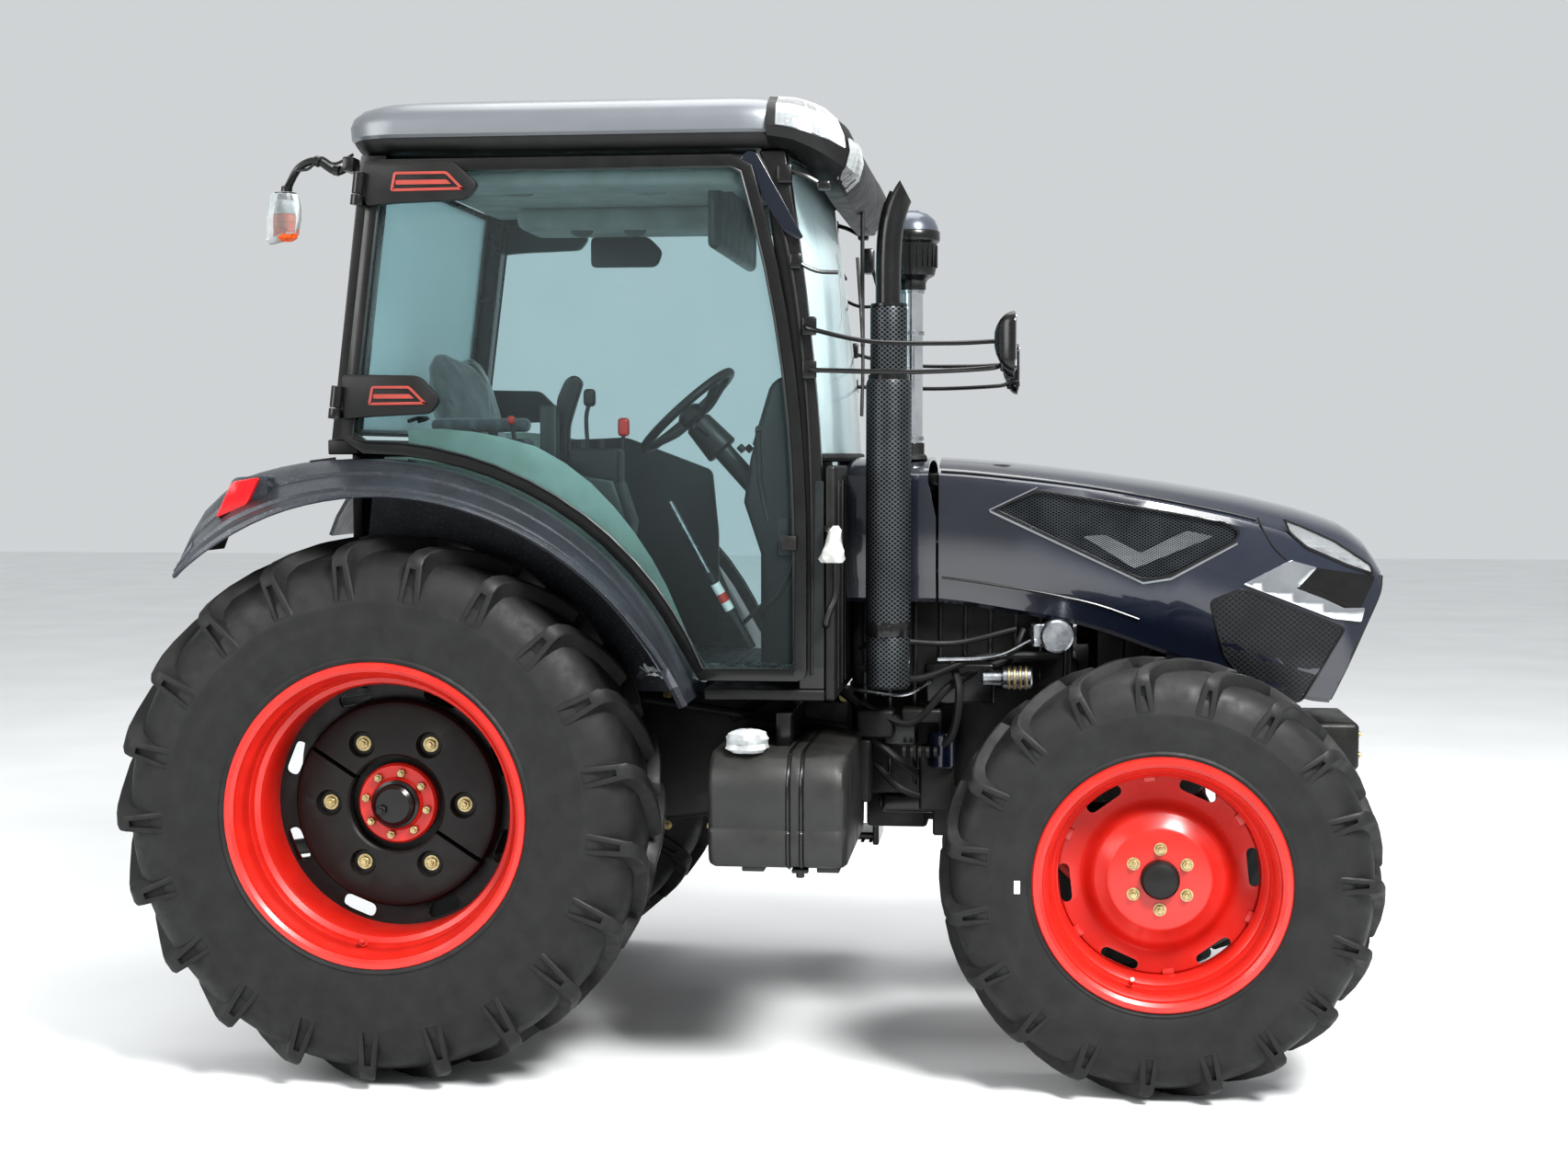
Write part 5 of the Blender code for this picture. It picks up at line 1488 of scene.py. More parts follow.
        heights = [1.005 + 0.37 * n / 12 for n in range(13)]
        rows = []
        for z in heights:
            x = slope_x(z) - 0.012
            half = min(self.row(min(x, 2.698))[4] - 0.016, 0.245)
            rows.append([(x - 0.03 * abs(y) ** 2 / half ** 2, y * half, z) for y in (-1.0, -0.75,
                -0.5, -0.25, 0.0, 0.25, 0.5, 0.75, 1.0)])
        face = loft("hood_grille_face", rows)
        apply_modifier(face, "SOLIDIFY", thickness=0.006, offset=0.0)
        self.frame.deliver(face, "hood", FRONT_MESH, "black_trim")
        bars = []
        for z in (1.06, 1.13, 1.2, 1.27):
            half = self.row(min(slope_x(z), 2.698))[4] - 0.03
            bars.append(pipe("bar", [(slope_x(z) - 0.035, -half, z),
                (slope_x(z) - 0.004, -half * 0.55, z), (slope_x(z) - 0.001, 0.0, z),
                (slope_x(z) - 0.004, half * 0.55, z), (slope_x(z) - 0.035, half, z)], 0.006, 4, 1))
        self.frame.deliver(join("hood_grille_bars", bars), "hood", BLACK, "black_trim")
        brow = [(slope_x(1.335) - 0.03, -0.205, 1.345), (slope_x(1.335) - 0.001, -0.12, 1.335),
            (slope_x(1.335) + 0.001, 0.0, 1.332), (slope_x(1.335) - 0.001, 0.12, 1.335),
            (slope_x(1.335) - 0.03, 0.205, 1.345)]
        self.frame.deliver(pipe("hood_brow", brow, 0.01, 6, 2), "hood", CHROME, "bright_steel")
        edges = []
        for side in Side:
            line = []
            for z in (1.35, 1.3, 1.22, 1.1, 1.005):
                x = slope_x(z) - 0.006
                line.append((x, side.value * (abs(self.depth(x, z)) - 0.012), z))
            edges.append(pipe("edge", line, 0.01, 4, 2))
        self.frame.deliver(join("hood_nose_edges", edges), "hood", PLASTIC, "black_trim")


# ---------------------------------------------------------------- cab

def ramp(rows: Sequence[tuple[float, ...]], at: float, column: int) -> float:
    """A column of a table at a place along its first column, straight between rows."""
    if at <= rows[0][0]:
        return rows[0][column]
    for here, there in zip(rows, rows[1:]):
        if at <= there[0]:
            return here[column] + (there[column] - here[column]) * (at - here[0]) / (
                there[0] - here[0])
    return rows[-1][column]


@dataclass
class Fenders(Assembly):
    """The wheel arches: speckled grey flare with a lighter band painted on as the highlight of its
    ridge, lip, inner wall and tail lamp.
    """

    axle_z: float = REAR_AXLE_Z
    wall_y: float = 0.49
    # angle from forward, radius of the top, radius of the lip
    stations: tuple = ((20, 0.876, 0.884), (35, 0.885, 0.866), (50, 0.896, 0.856),
        (65, 0.908, 0.85), (80, 0.924, 0.846), (95, 0.944, 0.842), (107, 0.968, 0.838),
        (116, 0.985, 0.832), (124, 0.955, 0.826), (130, 0.9, 0.82))
    # distance out, share of the drop from top to lip
    section: tuple = ((0.49, 0.0), (0.66, 0.0), (0.735, 0.01), (0.765, 0.06), (0.8, 0.17),
        (0.838, 0.33), (0.843, 0.42), (0.858, 0.46), (0.935, 0.72), (0.94, 0.8), (0.954, 0.83),
        (0.969, 0.92), (0.974, 1.0), (0.97, 1.03))

    def build(self) -> None:
        """Models the right fender and mirrors it."""
        self.pair(self.flare(), "fender_{}", ARCH_GREY, "fender_grey", "fender_{}", 25)
        # A painted highlight: a lighter strip laid on the flare where its ridge catches the light.
        band = self.strip("band", ((0.864, 0.475), (0.895, 0.58), (0.93, 0.7)), 22, 129, 0.0035)
        self.pair(band, "fender_band_{}", ARCH_HIGHLIGHT_AND_DOME_GREY, "fender_grey")
        rubber = self.strip("rubber", ((0.7, 0.0), (0.716, 0.0), (0.732, 0.01)), 22, 104, 0.007)
        self.pair(rubber, "fender_rubber_{}", RUBBER, "black_trim")
        self.tail_lamp()

    def at(self, angle: float, out: float, share: float, lift: float = 0.0) -> Point:
        """A point of the right flare.

        Args:
            angle: Degrees round the rear axle, from forward.
            out: Distance from the tractor's middle.
            share: Share of the drop from the top to the lip.
            lift: Extra radius.

        Returns:
            The point.
        """
        top, lip = ramp(self.stations, angle, 1), ramp(self.stations, angle, 2)
        radius = top - share * (top - lip) + lift
        turn = math.radians(angle)
        return (radius * math.cos(turn), -out, self.axle_z + radius * math.sin(turn))

    def angles(self, low: float, high: float, step: float = 4.0) -> list[float]:
        """Evenly spaced angles between two, both included."""
        count = max(int((high - low) / step), 2)
        return [low + (high - low) * n / count for n in range(count + 1)]

    def flare(self) -> Piece:
        """The outer skin with its two grooves, and the wall beside the cab."""
        rows = [[self.at(angle, out, share) for out,
            share in self.section] for angle in self.angles(20, 130, 3.5)]
        skin = loft("fender", rows)
        if max(skin.data.polygons, key=lambda one: one.center.z).normal.z < 0:
            skin.data.flip_normals()
        apply_modifier(skin, "SOLIDIFY", thickness=0.012, offset=-1.0)
        arc = [self.at(angle, 0.0, 0.0, -0.004) for angle in self.angles(20, 97, 5)]
        outline = [(0.83, 1.03), (0.83, 1.045)] + [(x, z) for x, _, z in arc] + [(-0.186, 1.03)]
        wall = side_plate("wall", outline, -self.wall_y - 0.02, 0.02)
        return join("fender", [skin, wall])

    def strip(self, name: str, section: Sequence[tuple[float, float]], low: float, high: float,
            lift: float) -> Piece:
        """A band that follows the flare, proud of it or under it."""
        rows = [[self.at(angle, out, share, lift * min(1.0, (angle - low) / 6, (high
            - angle) / 6) / 2) for out, share in section] for angle in self.angles(low, high, 4)]
        piece = loft(name, rows)
        apply_modifier(piece, "SOLIDIFY", thickness=abs(lift), offset=0.0)
        return piece

    def tail_lamp(self) -> None:
        """The slanted red lamp on the flare's rear shoulder, in its black housing."""
        shape = ((-0.44, 1.52), (-0.392, 1.618), (-0.318, 1.63), (-0.352, 1.556))
        lens = side_plate("lens", shape, -0.898, 0.03, 0.012, 0.003)
        self.pair(lens, "tail_lamp_{}", RED_LENS, "red_paint")
        bowl = side_plate("bowl", [(x + (0.006 if x < -0.4 else -0.004), z - 0.004) for x,
            z in shape], -0.87, 0.055, 0.012, 0.002)
        self.pair(bowl, "tail_lamp_bowl_{}", ACCENT, "red_paint")
        housing = side_plate("housing", ((-0.45, 1.5), (-0.396, 1.628), (-0.3, 1.636), (-0.3, 1.56),
            (-0.4, 1.5)), -0.88, 0.14, 0.015, 0.004)
        self.pair(housing, "tail_lamp_housing_{}", ARCH_GREY, "fender_grey")


@dataclass
class Doors(Assembly):
    """The two glazed doors on their leaning hinges."""

    face_y: float = -0.7325
    thickness: float = 0.022
    border: float = 0.034
    hinge_foot: Point = (-0.145, -0.765, 1.844)
    hinge_head: Point = (-0.077, -0.765, 2.414)

    def hinge_x(self, z: float) -> float:
        """The leaning hinge line's x at a height."""
        share = (z - self.hinge_foot[2]) / (self.hinge_head[2] - self.hinge_foot[2])
        return self.hinge_foot[0] + share * (self.hinge_head[0] - self.hinge_foot[0])

    def outline(self) -> list[tuple[float, float]]:
        """The door's edge: front, top, hinge edge and the arc over the fender."""
        out = [(0.835, 1.085), (1.1, 1.085), (1.118, 1.092), (1.125, 1.11)]
        for n in range(9):
            z = 1.4 + 1.052 * n / 8
            out.append((1.125 - 0.155 * ((z - 1.4) / 1.082) ** 2.2, z))
        out += [(0.925, 2.482), (-0.03, 2.482), (-0.058, 2.442),
            (self.hinge_x(1.735) + 0.012, 1.735)]
        arch = Fenders(self.frame)
        for angle in (95, 89, 84, 78, 73, 67, 62, 56, 51, 45, 40, 35, 30):
            x, _, z = arch.at(angle, 0.0, 0.0, 0.014)
            out.append((x, z))
        return out

    def build(self) -> None:
        """Models the right door and mirrors it."""
        edge = self.outline()
        frame = side_frame("door", edge, self.face_y, self.thickness, self.border, 0.0, 0.003)
        self.hang(frame, "door_frame_{}", BLACK, "black_trim")
        glass = side_plate("glass", edge, self.face_y - 0.0005, 0.005)
        take(glass)
        middle = Vector((0.48, 0.0, 1.8))
        glass.data.transform(Matrix.Translation(middle) @ Matrix.Diagonal((0.965, 1.0, 0.972,
            1.0)) @ Matrix.Translation(-middle))
        glass.data.transform(Matrix.Translation((0.0, 0.012, 0.0)))
        self.hang(glass, "door_glass_{}", GLASS, "tinted_glass", "door_{}")
        bead = [(x, self.face_y - 0.001, z) for x, z in self.inner_line(edge)]
        self.hang(pipe("bead", [*bead, bead[0]], 0.004, 1, 1), "door_bead_{}", CONSOLE,
            "black_trim")
        self.hinges()
        self.latch()

    def hang(self, piece: Piece, name: str, finish: Finish, slot: str, node: str = "") -> None:
        """Sets a right-hand piece and its mirror image on the doors."""
        self.frame.both(piece, name, "door_{}", finish, slot, node)

    def inner_line(self, edge: Sequence[tuple[float, float]]) -> list[tuple[float, float]]:
        """The line where the frame meets the glass."""
        out = []
        for n, here in enumerate(edge):
            before, after = Vector(edge[n - 1]), Vector(edge[(n + 1) % len(edge)])
            along = (after - before).normalized()
            out.append((here[0] - along.y * self.border, here[1] + along.x * self.border))
        return out

    def hinges(self) -> None:
        """Two pointed black arms with red outlined inlays, and their barrels."""
        arms, rims, inlays, barrels = [], [], [], []
        for z, reach in ((self.hinge_foot[2], 0.285), (self.hinge_head[2], 0.325)):
            x = self.hinge_x(z)
            shape = ((x + 0.012, z - 0.06), (x + 0.012, z + 0.062),
                (x + 0.235 * reach / 0.3, z + 0.058), (x + reach, z - 0.004),
                (x + reach - 0.03, z - 0.045), (x + 0.1, z - 0.052))
            arms.append(side_plate("arm", shape, self.face_y - 0.026, 0.03, 0.018, 0.005))
            inner = ((x + 0.085, z - 0.022), (x + 0.095, z + 0.03), (x + reach - 0.085, z + 0.03),
                (x + reach - 0.035, z - 0.02))
            rims.append(side_frame("rim", inner, self.face_y - 0.0285, 0.003, 0.0075, 0.008, 0.001))
            inlays.append(side_plate("inlay", ((x + 0.1, z - 0.004), (x + 0.1, z + 0.008),
                (x + reach - 0.085, z + 0.008), (x + reach - 0.072, z - 0.004)),
                self.face_y - 0.0275, 0.002, 0.004))
            low, high = z - 0.028, z + 0.03
            barrels.append(rod("barrel", (self.hinge_x(low), -0.765, low),
                (self.hinge_x(high), -0.765, high), 0.016, 24))
        self.hang(join("arms", arms), "door_hinge_arms_{}", PLASTIC, "black_trim")
        self.hang(join("rims", rims), "door_hinge_rims_{}", ACCENT, "red_paint")
        self.hang(join("inlays", inlays), "door_hinge_inlays_{}", ACCENT, "red_paint")
        self.hang(join("barrels", barrels), "door_hinge_barrels_{}", BLACK, "black_trim")

    def latch(self) -> None:
        """The inside pull bar and latch box, and the outside catch."""
        bar = pipe("bar", [(1.02, -0.69, 1.5), (1.015, -0.672, 1.52), (0.995, -0.668, 1.62),
            (0.99, -0.672, 1.74), (0.992, -0.69, 1.76)], 0.009, 5, 2)
        box = rounded_block("box", (1.045, -0.7105, 1.42), (1.09, -0.685, 1.52), 0.006)
        catch = rounded_block("catch", (1.058, -0.745, 1.435), (1.1, -0.73, 1.475), 0.005)
        self.hang(join("latch", [bar, box, catch]), "door_latch_{}", PLASTIC, "black_trim")


@dataclass
class CabShell(Assembly):
    """Cowl, pillars, sill, roof, visor, windscreen and rear window."""

    corner: float = 0.16
    roof_half: float = 0.76
    # height, rear end, front end, half width
    roof_rings: tuple = ((2.536, -0.128, 1.1, 0.752), (2.544, -0.134, 1.105, 0.76),
        (2.575, -0.136, 1.105, 0.762), (2.598, -0.128, 1.1, 0.756), (2.616, -0.11, 1.092, 0.742),
        (2.63, -0.08, 1.08, 0.716), (2.64, -0.035, 1.065, 0.67), (2.646, 0.05, 1.03, 0.58))

    def build(self) -> None:
        """Models the cab's shell, all fixed to the chassis."""
        self.cowl()
        self.posts()
        self.roof()
        self.visor()
        self.panes()

    def cowl(self) -> None:
        """The fixed part behind the hood, the bulkhead and the hood's hinge lugs."""
        hood = Hood(self.frame)
        rows = []
        for x in (1.196, 1.25, 1.31, 1.37, 1.4525):
            half = hood.half_section(1.462)
            ring = [(-y, z) for y, z in reversed(half)] + [(y, z) for y, z in half[1:]]
            rows.append([(min(x, 1.43 if z > 1.6 else 1.4525), y, z) for y, z in ring])
        shell = loft("cowl", rows)
        if max(shell.data.polygons, key=lambda one: one.center.z).normal.z < 0:
            shell.data.flip_normals()
        apply_modifier(shell, "SOLIDIFY", thickness=0.01, offset=-1.0)
        self.put(shell, "cowl_shell", NAVY, "navy_paint", smooth=24.0)
        wall = rounded_block("wall", (1.172, -0.705, 1.03), (1.2, 0.705, 1.66), 0.008, 3)
        ribs = [rounded_block("rib", (1.198, y - 0.006, 1.06), (1.206, y + 0.006, 1.62),
            0.003) for y in (-0.64, -0.52, -0.42, 0.42, 0.52, 0.64)]
        self.put([wall, *ribs], "bulkhead", PLASTIC, "black_trim", ["cab_cowl"])
        lugs = []
        for y in (-0.2, 0.2):
            lugs.append(rod("eye", (1.477, y - 0.02, 1.64), (1.477, y + 0.02, 1.64), 0.011, 20))
            lugs.append(rounded_block("lug", (1.397, y - 0.02, 1.6), (1.477, y + 0.02, 1.634),
                0.004))
        self.put(lugs, "hood_hinge_lugs", BLACK, "black_casting")

    def posts(self) -> None:
        """Pillars and floor, rounded, with the blue shield and rubber seals on the front ones."""
        for side in Side:
            for end in ("front", "rear"):
                node = f"{end}_pillar_{side.word}"
                self.put(self.frame.softened(node, 0.006, 3), node + "_post", BLACK, "black_trim",
                    [node])
        self.put(self.frame.softened("cab_floor", 0.004), "cab_floor_panel", PLASTIC, "black_trim",
            ["cab_floor"])
        shield = side_plate("shield", ((0.945, 2.47), (0.965, 2.492), (0.99, 2.488), (1.095, 2.3),
            (1.116, 2.262), (1.1, 2.256), (1.06, 2.282)), -0.722, 0.014, 0.014, 0.004)
        self.pair(shield, "pillar_shield_{}", BLUE, "black_trim")
        seal = [(1.136, -0.709, 1.1), (1.137, -0.709, 1.4), (1.13, -0.709, 1.7),
            (1.112, -0.709, 1.95), (1.082, -0.709, 2.18), (1.03, -0.709, 2.4), (0.99, -0.709, 2.49)]
        self.pair(pipe("seal", seal, 0.005, 4, 1), "door_seal_{}", RUBBER, "black_trim")
        quarter = side_plate("quarter",
            ((1.142, 1.12), (1.168, 1.12), (1.169, 1.62), (1.146, 1.62)), -0.7075, 0.002, 0.006)
        self.pair(quarter, "pillar_glass_{}", CONSOLE, "tinted_glass")

    def ring(self, z: float, rear: float, front: float, half: float) -> list[Point]:
        """A rounded rectangle seen from above, squarer in front."""
        corners = ((rear, -half), (front, -half), (front, half), (rear, half))
        return [(x, y, z - 0.012 * max(0.0, (0.3 - x)) ** 2) for x,
            y in rounded(corners, self.corner, 7)]

    def roof(self) -> None:
        """The silver cap, the dark band beneath it and the ceiling."""
        cap = loft("cap", [self.ring(*row) for row in self.roof_rings], closed=True, capped=True)
        self.put(cap, "roof_cap", SILVER, "roof_silver", smooth=28.0)
        band = loft("band", [self.ring(2.497, -0.09, 1.09, 0.69), self.ring(2.499, -0.105, 1.1,
            0.718), self.ring(2.508, -0.112, 1.105, 0.732), self.ring(2.528, -0.124, 1.11, 0.748),
            self.ring(2.5355, -0.128, 1.11, 0.75)], closed=True, capped=True)
        self.put(band, "roof_band", PLASTIC, "black_trim", ["roof"])
        knobs = []
        for x in (0.08, 1.0):
            knobs.append(rod("knob", (x, -0.45, 2.64), (x, -0.45, 2.66), 0.016, 20, 0.012))
            knobs.append(rod("ring", (x, -0.45, 2.636), (x, -0.45, 2.648), 0.028, 20, 0.026))
        self.put(knobs, "roof_lifting_points", PLASTIC, "black_trim")
        liner = rounded_block("liner", (-0.04, -0.64, 2.462), (0.98, 0.64, 2.4965), 0.012, 3)
        duct = rounded_block("duct", (0.1, 0.3, 2.395), (0.92, 0.6, 2.47), 0.03, 4)
        side_duct = rounded_block("duct", (0.1, -0.6, 2.42), (0.92, -0.4, 2.47), 0.02, 4)
        self.put([liner, duct, side_duct], "headliner", HEADLINER, "roof_silver")
        vents = [rod("vent", (x, 0.36, 2.402), (x, 0.355, 2.39), 0.038, 28, 0.034) for x in (0.3,
            0.47)]
        vents += [rod("lamp", (x, -0.1, 2.464), (x, -0.1, 2.455), 0.05, 28, 0.045) for x in (0.2,
            0.6)]
        self.put(vents, "ceiling_vents", CONSOLE, "black_trim")
        blind = side_plate("blind", ((0.28, 2.3), (0.28, 2.4), (0.47, 2.4), (0.52, 2.35),
            (0.5, 2.3)), 0.6, 0.012, 0.02, 0.004)
        shade = rounded_block("shade", (0.82, -0.46, 2.26), (0.86, 0.35, 2.455), 0.02, 4)
        self.put([blind, shade], "sun_visors", CONSOLE, "black_trim")

    def visor_row(self, turn: float, share: float, lift: float = 0.0) -> list[Point]:
        """The visor's outer profile at a place along its plan.

        Args:
            turn: 0 to 1 along the side, 1 to 2 round the corner, 2 to 3 to the middle.
            share: 0 for the side's profile, 1 for the front's.
            lift: Distance proud of the skin.

        Returns:
            The profile's points from the top down.
        """
        centre = Vector((1.092, -self.roof_half + self.corner))
        angle = math.radians(90 * min(max(turn - 1, 0.0), 1.0))
        out = Vector((math.sin(angle), -math.cos(angle)))
        slide = Vector(((min(turn, 1.0) - 1.0) * 0.07, max(turn - 2.0, 0.0) * 0.6))
        rows = []
        for offset, z, drop in ((-0.18, 2.628, 0.016), (-0.075, 2.632, 0.042),
                (-0.03, 2.612, 0.062), (-0.006, 2.58, 0.078), (0.0, 2.552, 0.085),
                (-0.012, 2.53, 0.108), (-0.045, 2.512, 0.122), (-0.09, 2.5, 0.11)):
            spot = centre + slide + out * (self.corner + offset + lift)
            rows.append((spot.x, spot.y, z - drop * share + lift * 0.4))
        return rows

    def visor(self) -> None:
        """The black brow round the roof's front, with two lamps a side."""
        stops = [0.0, 0.5, 1.0, 1.2, 1.4, 1.6, 1.8, 2.0, 2.2, 2.6, 3.0]
        shares = [0.0, 0.05, 0.12, 0.3, 0.5, 0.7, 0.84, 0.93, 0.97, 1.0, 1.0]
        right = [self.visor_row(t, s) for t, s in zip(stops, shares)]
        left = [[(x, -y, z) for x, y, z in row] for row in reversed(right[:-1])]
        brow = loft("brow", right + left)
        apply_modifier(brow, "SOLIDIFY", thickness=0.01, offset=0.0)
        self.put(brow, "roof_visor", PLASTIC, "black_trim")
        for name, low, high, top, bottom in (("upper", 0.35, 1.58, 1, 5),
                ("lower", 1.66, 2.1, 3, 7)):
            rows = []
            for n in range(7):
                turn = low + (high - low) * n / 6
                share = ramp(tuple(zip(stops, shares)), turn, 1)
                rows.append(self.visor_row(turn, share, 0.008)[top:bottom])
            lens = loft("lens", rows)
            apply_modifier(lens, "SOLIDIFY", thickness=0.004, offset=0.0)
            self.pair(lens, f"roof_lamp_{name}_" + "{}", LAMP_LENS, "bright_steel")
            rows = [
                [tuple(Vector(p) - Vector((0.003, -0.003, 0.002))) for p in row] for row in rows]
            bowl = loft("bowl", rows)
            apply_modifier(bowl, "SOLIDIFY", thickness=0.002, offset=0.0)
            self.pair(bowl, f"roof_lamp_bowl_{name}_" + "{}", SHADED_LAMP_BOWL, "bright_steel")

    def pillar_x(self, z: float) -> float:
        """The front pillar's front edge at a height."""
        return 1.1717 - 0.105 * (max(z - 1.4, 0.0) / 1.095) ** 1.7

    def panes(self) -> None:
        """The bowed windscreen with its rubber edge, wiper, and the rear window with its frame."""
        half = 0.654
        rows = []
        for n in range(10):
            z = 1.6815 + 0.812 * n / 9
            rows.append([(self.pillar_x(z) - 0.012 + 0.055 * (1 - (k / 9) ** 2), half * k / 9,
                z) for k in range(-9, 10)])
        pane = loft("windscreen", rows)
        apply_modifier(pane, "SOLIDIFY", thickness=0.006, offset=0.0)
        self.put(pane, "windscreen_pane", GLASS, "tinted_glass", ["windscreen"])
        edges = [pipe("edge", [row[0] for row in rows], 0.011, 2, 2),
            pipe("edge", [row[-1] for row in rows], 0.011, 2, 2),
            pipe("edge", rows[0], 0.012, 1, 2), pipe("edge", rows[-1], 0.012, 1, 2)]
        wiper = pipe("wiper", [(1.222, -0.06, 2.4), (1.225, -0.1, 2.2), (1.234, -0.2, 2.0)], 0.006,
            4, 2)
        blade = pipe("blade", [(1.212, -0.12, 2.26), (1.234, -0.2, 2.0), (1.236, -0.26, 1.8)],
            0.005, 4, 1)
        self.put([*edges, wiper, blade], "windscreen_seal", RUBBER, "black_trim")
        foot, head = (-0.163, 1.742), (-0.075, 2.478)
        glass = side_plate("rear_window_pane", ((foot[0] - 0.003, foot[1]), (head[0] - 0.003,
            head[1]), (head[0] + 0.003, head[1]), (foot[0] + 0.003, foot[1])), -0.652, 1.304)
        self.frame.deliver(glass, "rear_window", GLASS, "tinted_glass", ["rear_window"])
        corners = [(foot[0] + 0.002, foot[1] + 0.01), (head[0], head[1] - 0.01)]
        bars = [pipe("bar", [(corners[0][0], s * 0.64, corners[0][1]),
            (corners[1][0], s * 0.64, corners[1][1])], 0.009, 1, 2) for s in (-1, 1)]
        bars += [pipe("bar", [(x, -0.64, z), (x, 0.64, z)], 0.009, 1, 2) for x, z in corners]
        handle = pipe("handle", [(-0.152, -0.05, 1.79), (-0.12, -0.05, 1.8), (-0.12, 0.05, 1.8),
            (-0.152, 0.05, 1.79)], 0.006, 4, 2)
        bars.append(handle)
        piece = join("rear_window_frame", bars)
        self.frame.deliver(piece, "rear_window", BLACK, "black_trim")


# ---------------------------------------------------------------- inside the cab

@dataclass
class Seat(Assembly):
    """The driver's seat: padded cushion and back under clear film, on its column."""

    fill: float = 0.55
    voxel: float = 0.006
    pressure: float = 4.0
    last_frame: int = 20
    play: float = 0.002
    film_gap: float = 0.004
    wrinkle_depth: float = 0.004
    wrinkle_size: float = 0.05

    def build(self) -> None:
        """Models the seat, fixed to the chassis."""
        base = self.frame.softened("seat_base", 0.006, 3)
        self.put(base, "seat_column", PLASTIC, "black_trim", ["seat_base"])
        folds = []
        for n in range(6):
            low = 1.12 + 0.034 * n
            folds.append(lathe("fold", [(0.125, low), (0.142, low + 0.017), (0.125, low + 0.034)],
                (0.25, 0.0, 0.0), Axis.Z, 28, False))
        self.put(folds, "seat_bellows", RUBBER, "black_trim")
        self.pad("seat_cushion", self.cushion())
        self.pad("seat_backrest", self.backrest())
        rest = rounded_block("rest", (-0.02, -0.285, 1.755), (0.27, -0.225, 1.795), 0.018, 4)
        stem = pipe("stem", [(0.0, -0.262, 1.56), (-0.01, -0.262, 1.66), (0.0, -0.255, 1.77)],
            0.012, 4, 2)
        self.put([rest, stem], "seat_armrests", CLOTH, "seat_fabric")

    def cushion(self) -> Piece:
        """The flat sewn cover of the cushion before it is filled."""
        return rounded_block("seat_cushion_pad", (0.026, -0.24, 1.432), (0.492, 0.24, 1.522), 0.04,
            6)

    def backrest(self) -> Piece:
        """The flat sewn cover of the back, leaning as it stands."""
        side = [(0.066, 1.545), (0.005, 1.72), (-0.052, 1.9), (-0.062, 1.955), (-0.045, 1.985), (
            -0.012, 1.99), (0.018, 1.965), (0.06, 1.86), (0.098, 1.72), (0.118, 1.6), (0.118, 1.55)]
        rows = []
        for y, inward in ((-0.215, 0.03), (-0.205, 0.01), (-0.18, 0.0), (-0.09, 0.0), (0.0, 0.0),
                (0.09, 0.0), (0.18, 0.0), (0.205, 0.01), (0.215, 0.03)):
            middle = Vector((0.03, 1.77))
            rows.append([((x - middle.x) * (1 - inward / 0.08) + middle.x, y,
                (z - middle.y) * (1 - inward / 0.25) + middle.y) for x, z in side])
        return loft("seat_backrest_pad", rows, closed=True, capped=True)

    def pad(self, node: str, cover: Piece) -> None:
        """Fills a sewn cover like a cushion and sets it in the seat.

        Args:
            node: The CAD node it stands for.
            cover: The closed cover before it is filled.
        """
        take(cover)
        apply_modifier(cover, "REMESH", mode="VOXEL", voxel_size=self.voxel)
        apply_modifier(cover, "SMOOTH", factor=0.5, iterations=4)
        cloth = cover.modifiers.new("filling", "CLOTH")
        cloth.settings.quality = 5
        cloth.settings.mass = 0.25
        cloth.settings.tension_stiffness = 18
        cloth.settings.compression_stiffness = 18
        cloth.settings.shear_stiffness = 8
        cloth.settings.bending_stiffness = 0.6
        cloth.settings.use_pressure = True
        cloth.settings.uniform_pressure_force = self.pressure
        cloth.settings.effector_weights.gravity = 0.0
        cloth.collision_settings.use_collision = False
        cloth.point_cache.frame_start = 1
        cloth.point_cache.frame_end = self.last_frame
        for step in range(1, self.last_frame + 1):
            bpy.context.scene.frame_set(step)
        take(cover)
        bpy.ops.object.modifier_apply(modifier=cloth.name)
        bpy.context.scene.frame_set(1)
        apply_modifier(cover, "SMOOTH", factor=0.5, iterations=2)
        self.fit(cover, node)
        self.put(cover, node + "_pad", CLOTH, "seat_fabric", [node])
        film = duplicate(cover, Matrix.Translation(-self.frame.origin))
        with editing(film):
            bpy.ops.transform.shrink_fatten(value=self.film_gap)
        crumple(film, self.wrinkle_depth, self.wrinkle_size, 0.4)
        self.put(film, node + "_film", FILM, "tinted_glass")

    def fit(self, cover: Piece, node: str) -> None:
        """Keeps the filled cover inside its place in the seat."""
        low, high = self.frame.box(node)
        points = np.array([v.co[:] for v in cover.data.vertices])
        small, large = points.min(0), points.max(0)
        for axis in range(3):
            span = large[axis] - small[axis]
            room = high[axis] - low[axis] - 2 * self.play
            if span > room:
                middle = (high[axis] + low[axis]) / 2
                points[:, axis] = (points[:,
                    axis] - (small[axis] + large[axis]) / 2) * room / span + middle
            else:
                push = max(0.0, low[axis] + 0.001 - small[axis]) - max(0.0,
                    large[axis] - high[axis] + 0.001)
                points[:, axis] += push
        cover.data.vertices.foreach_set("co", points.ravel())


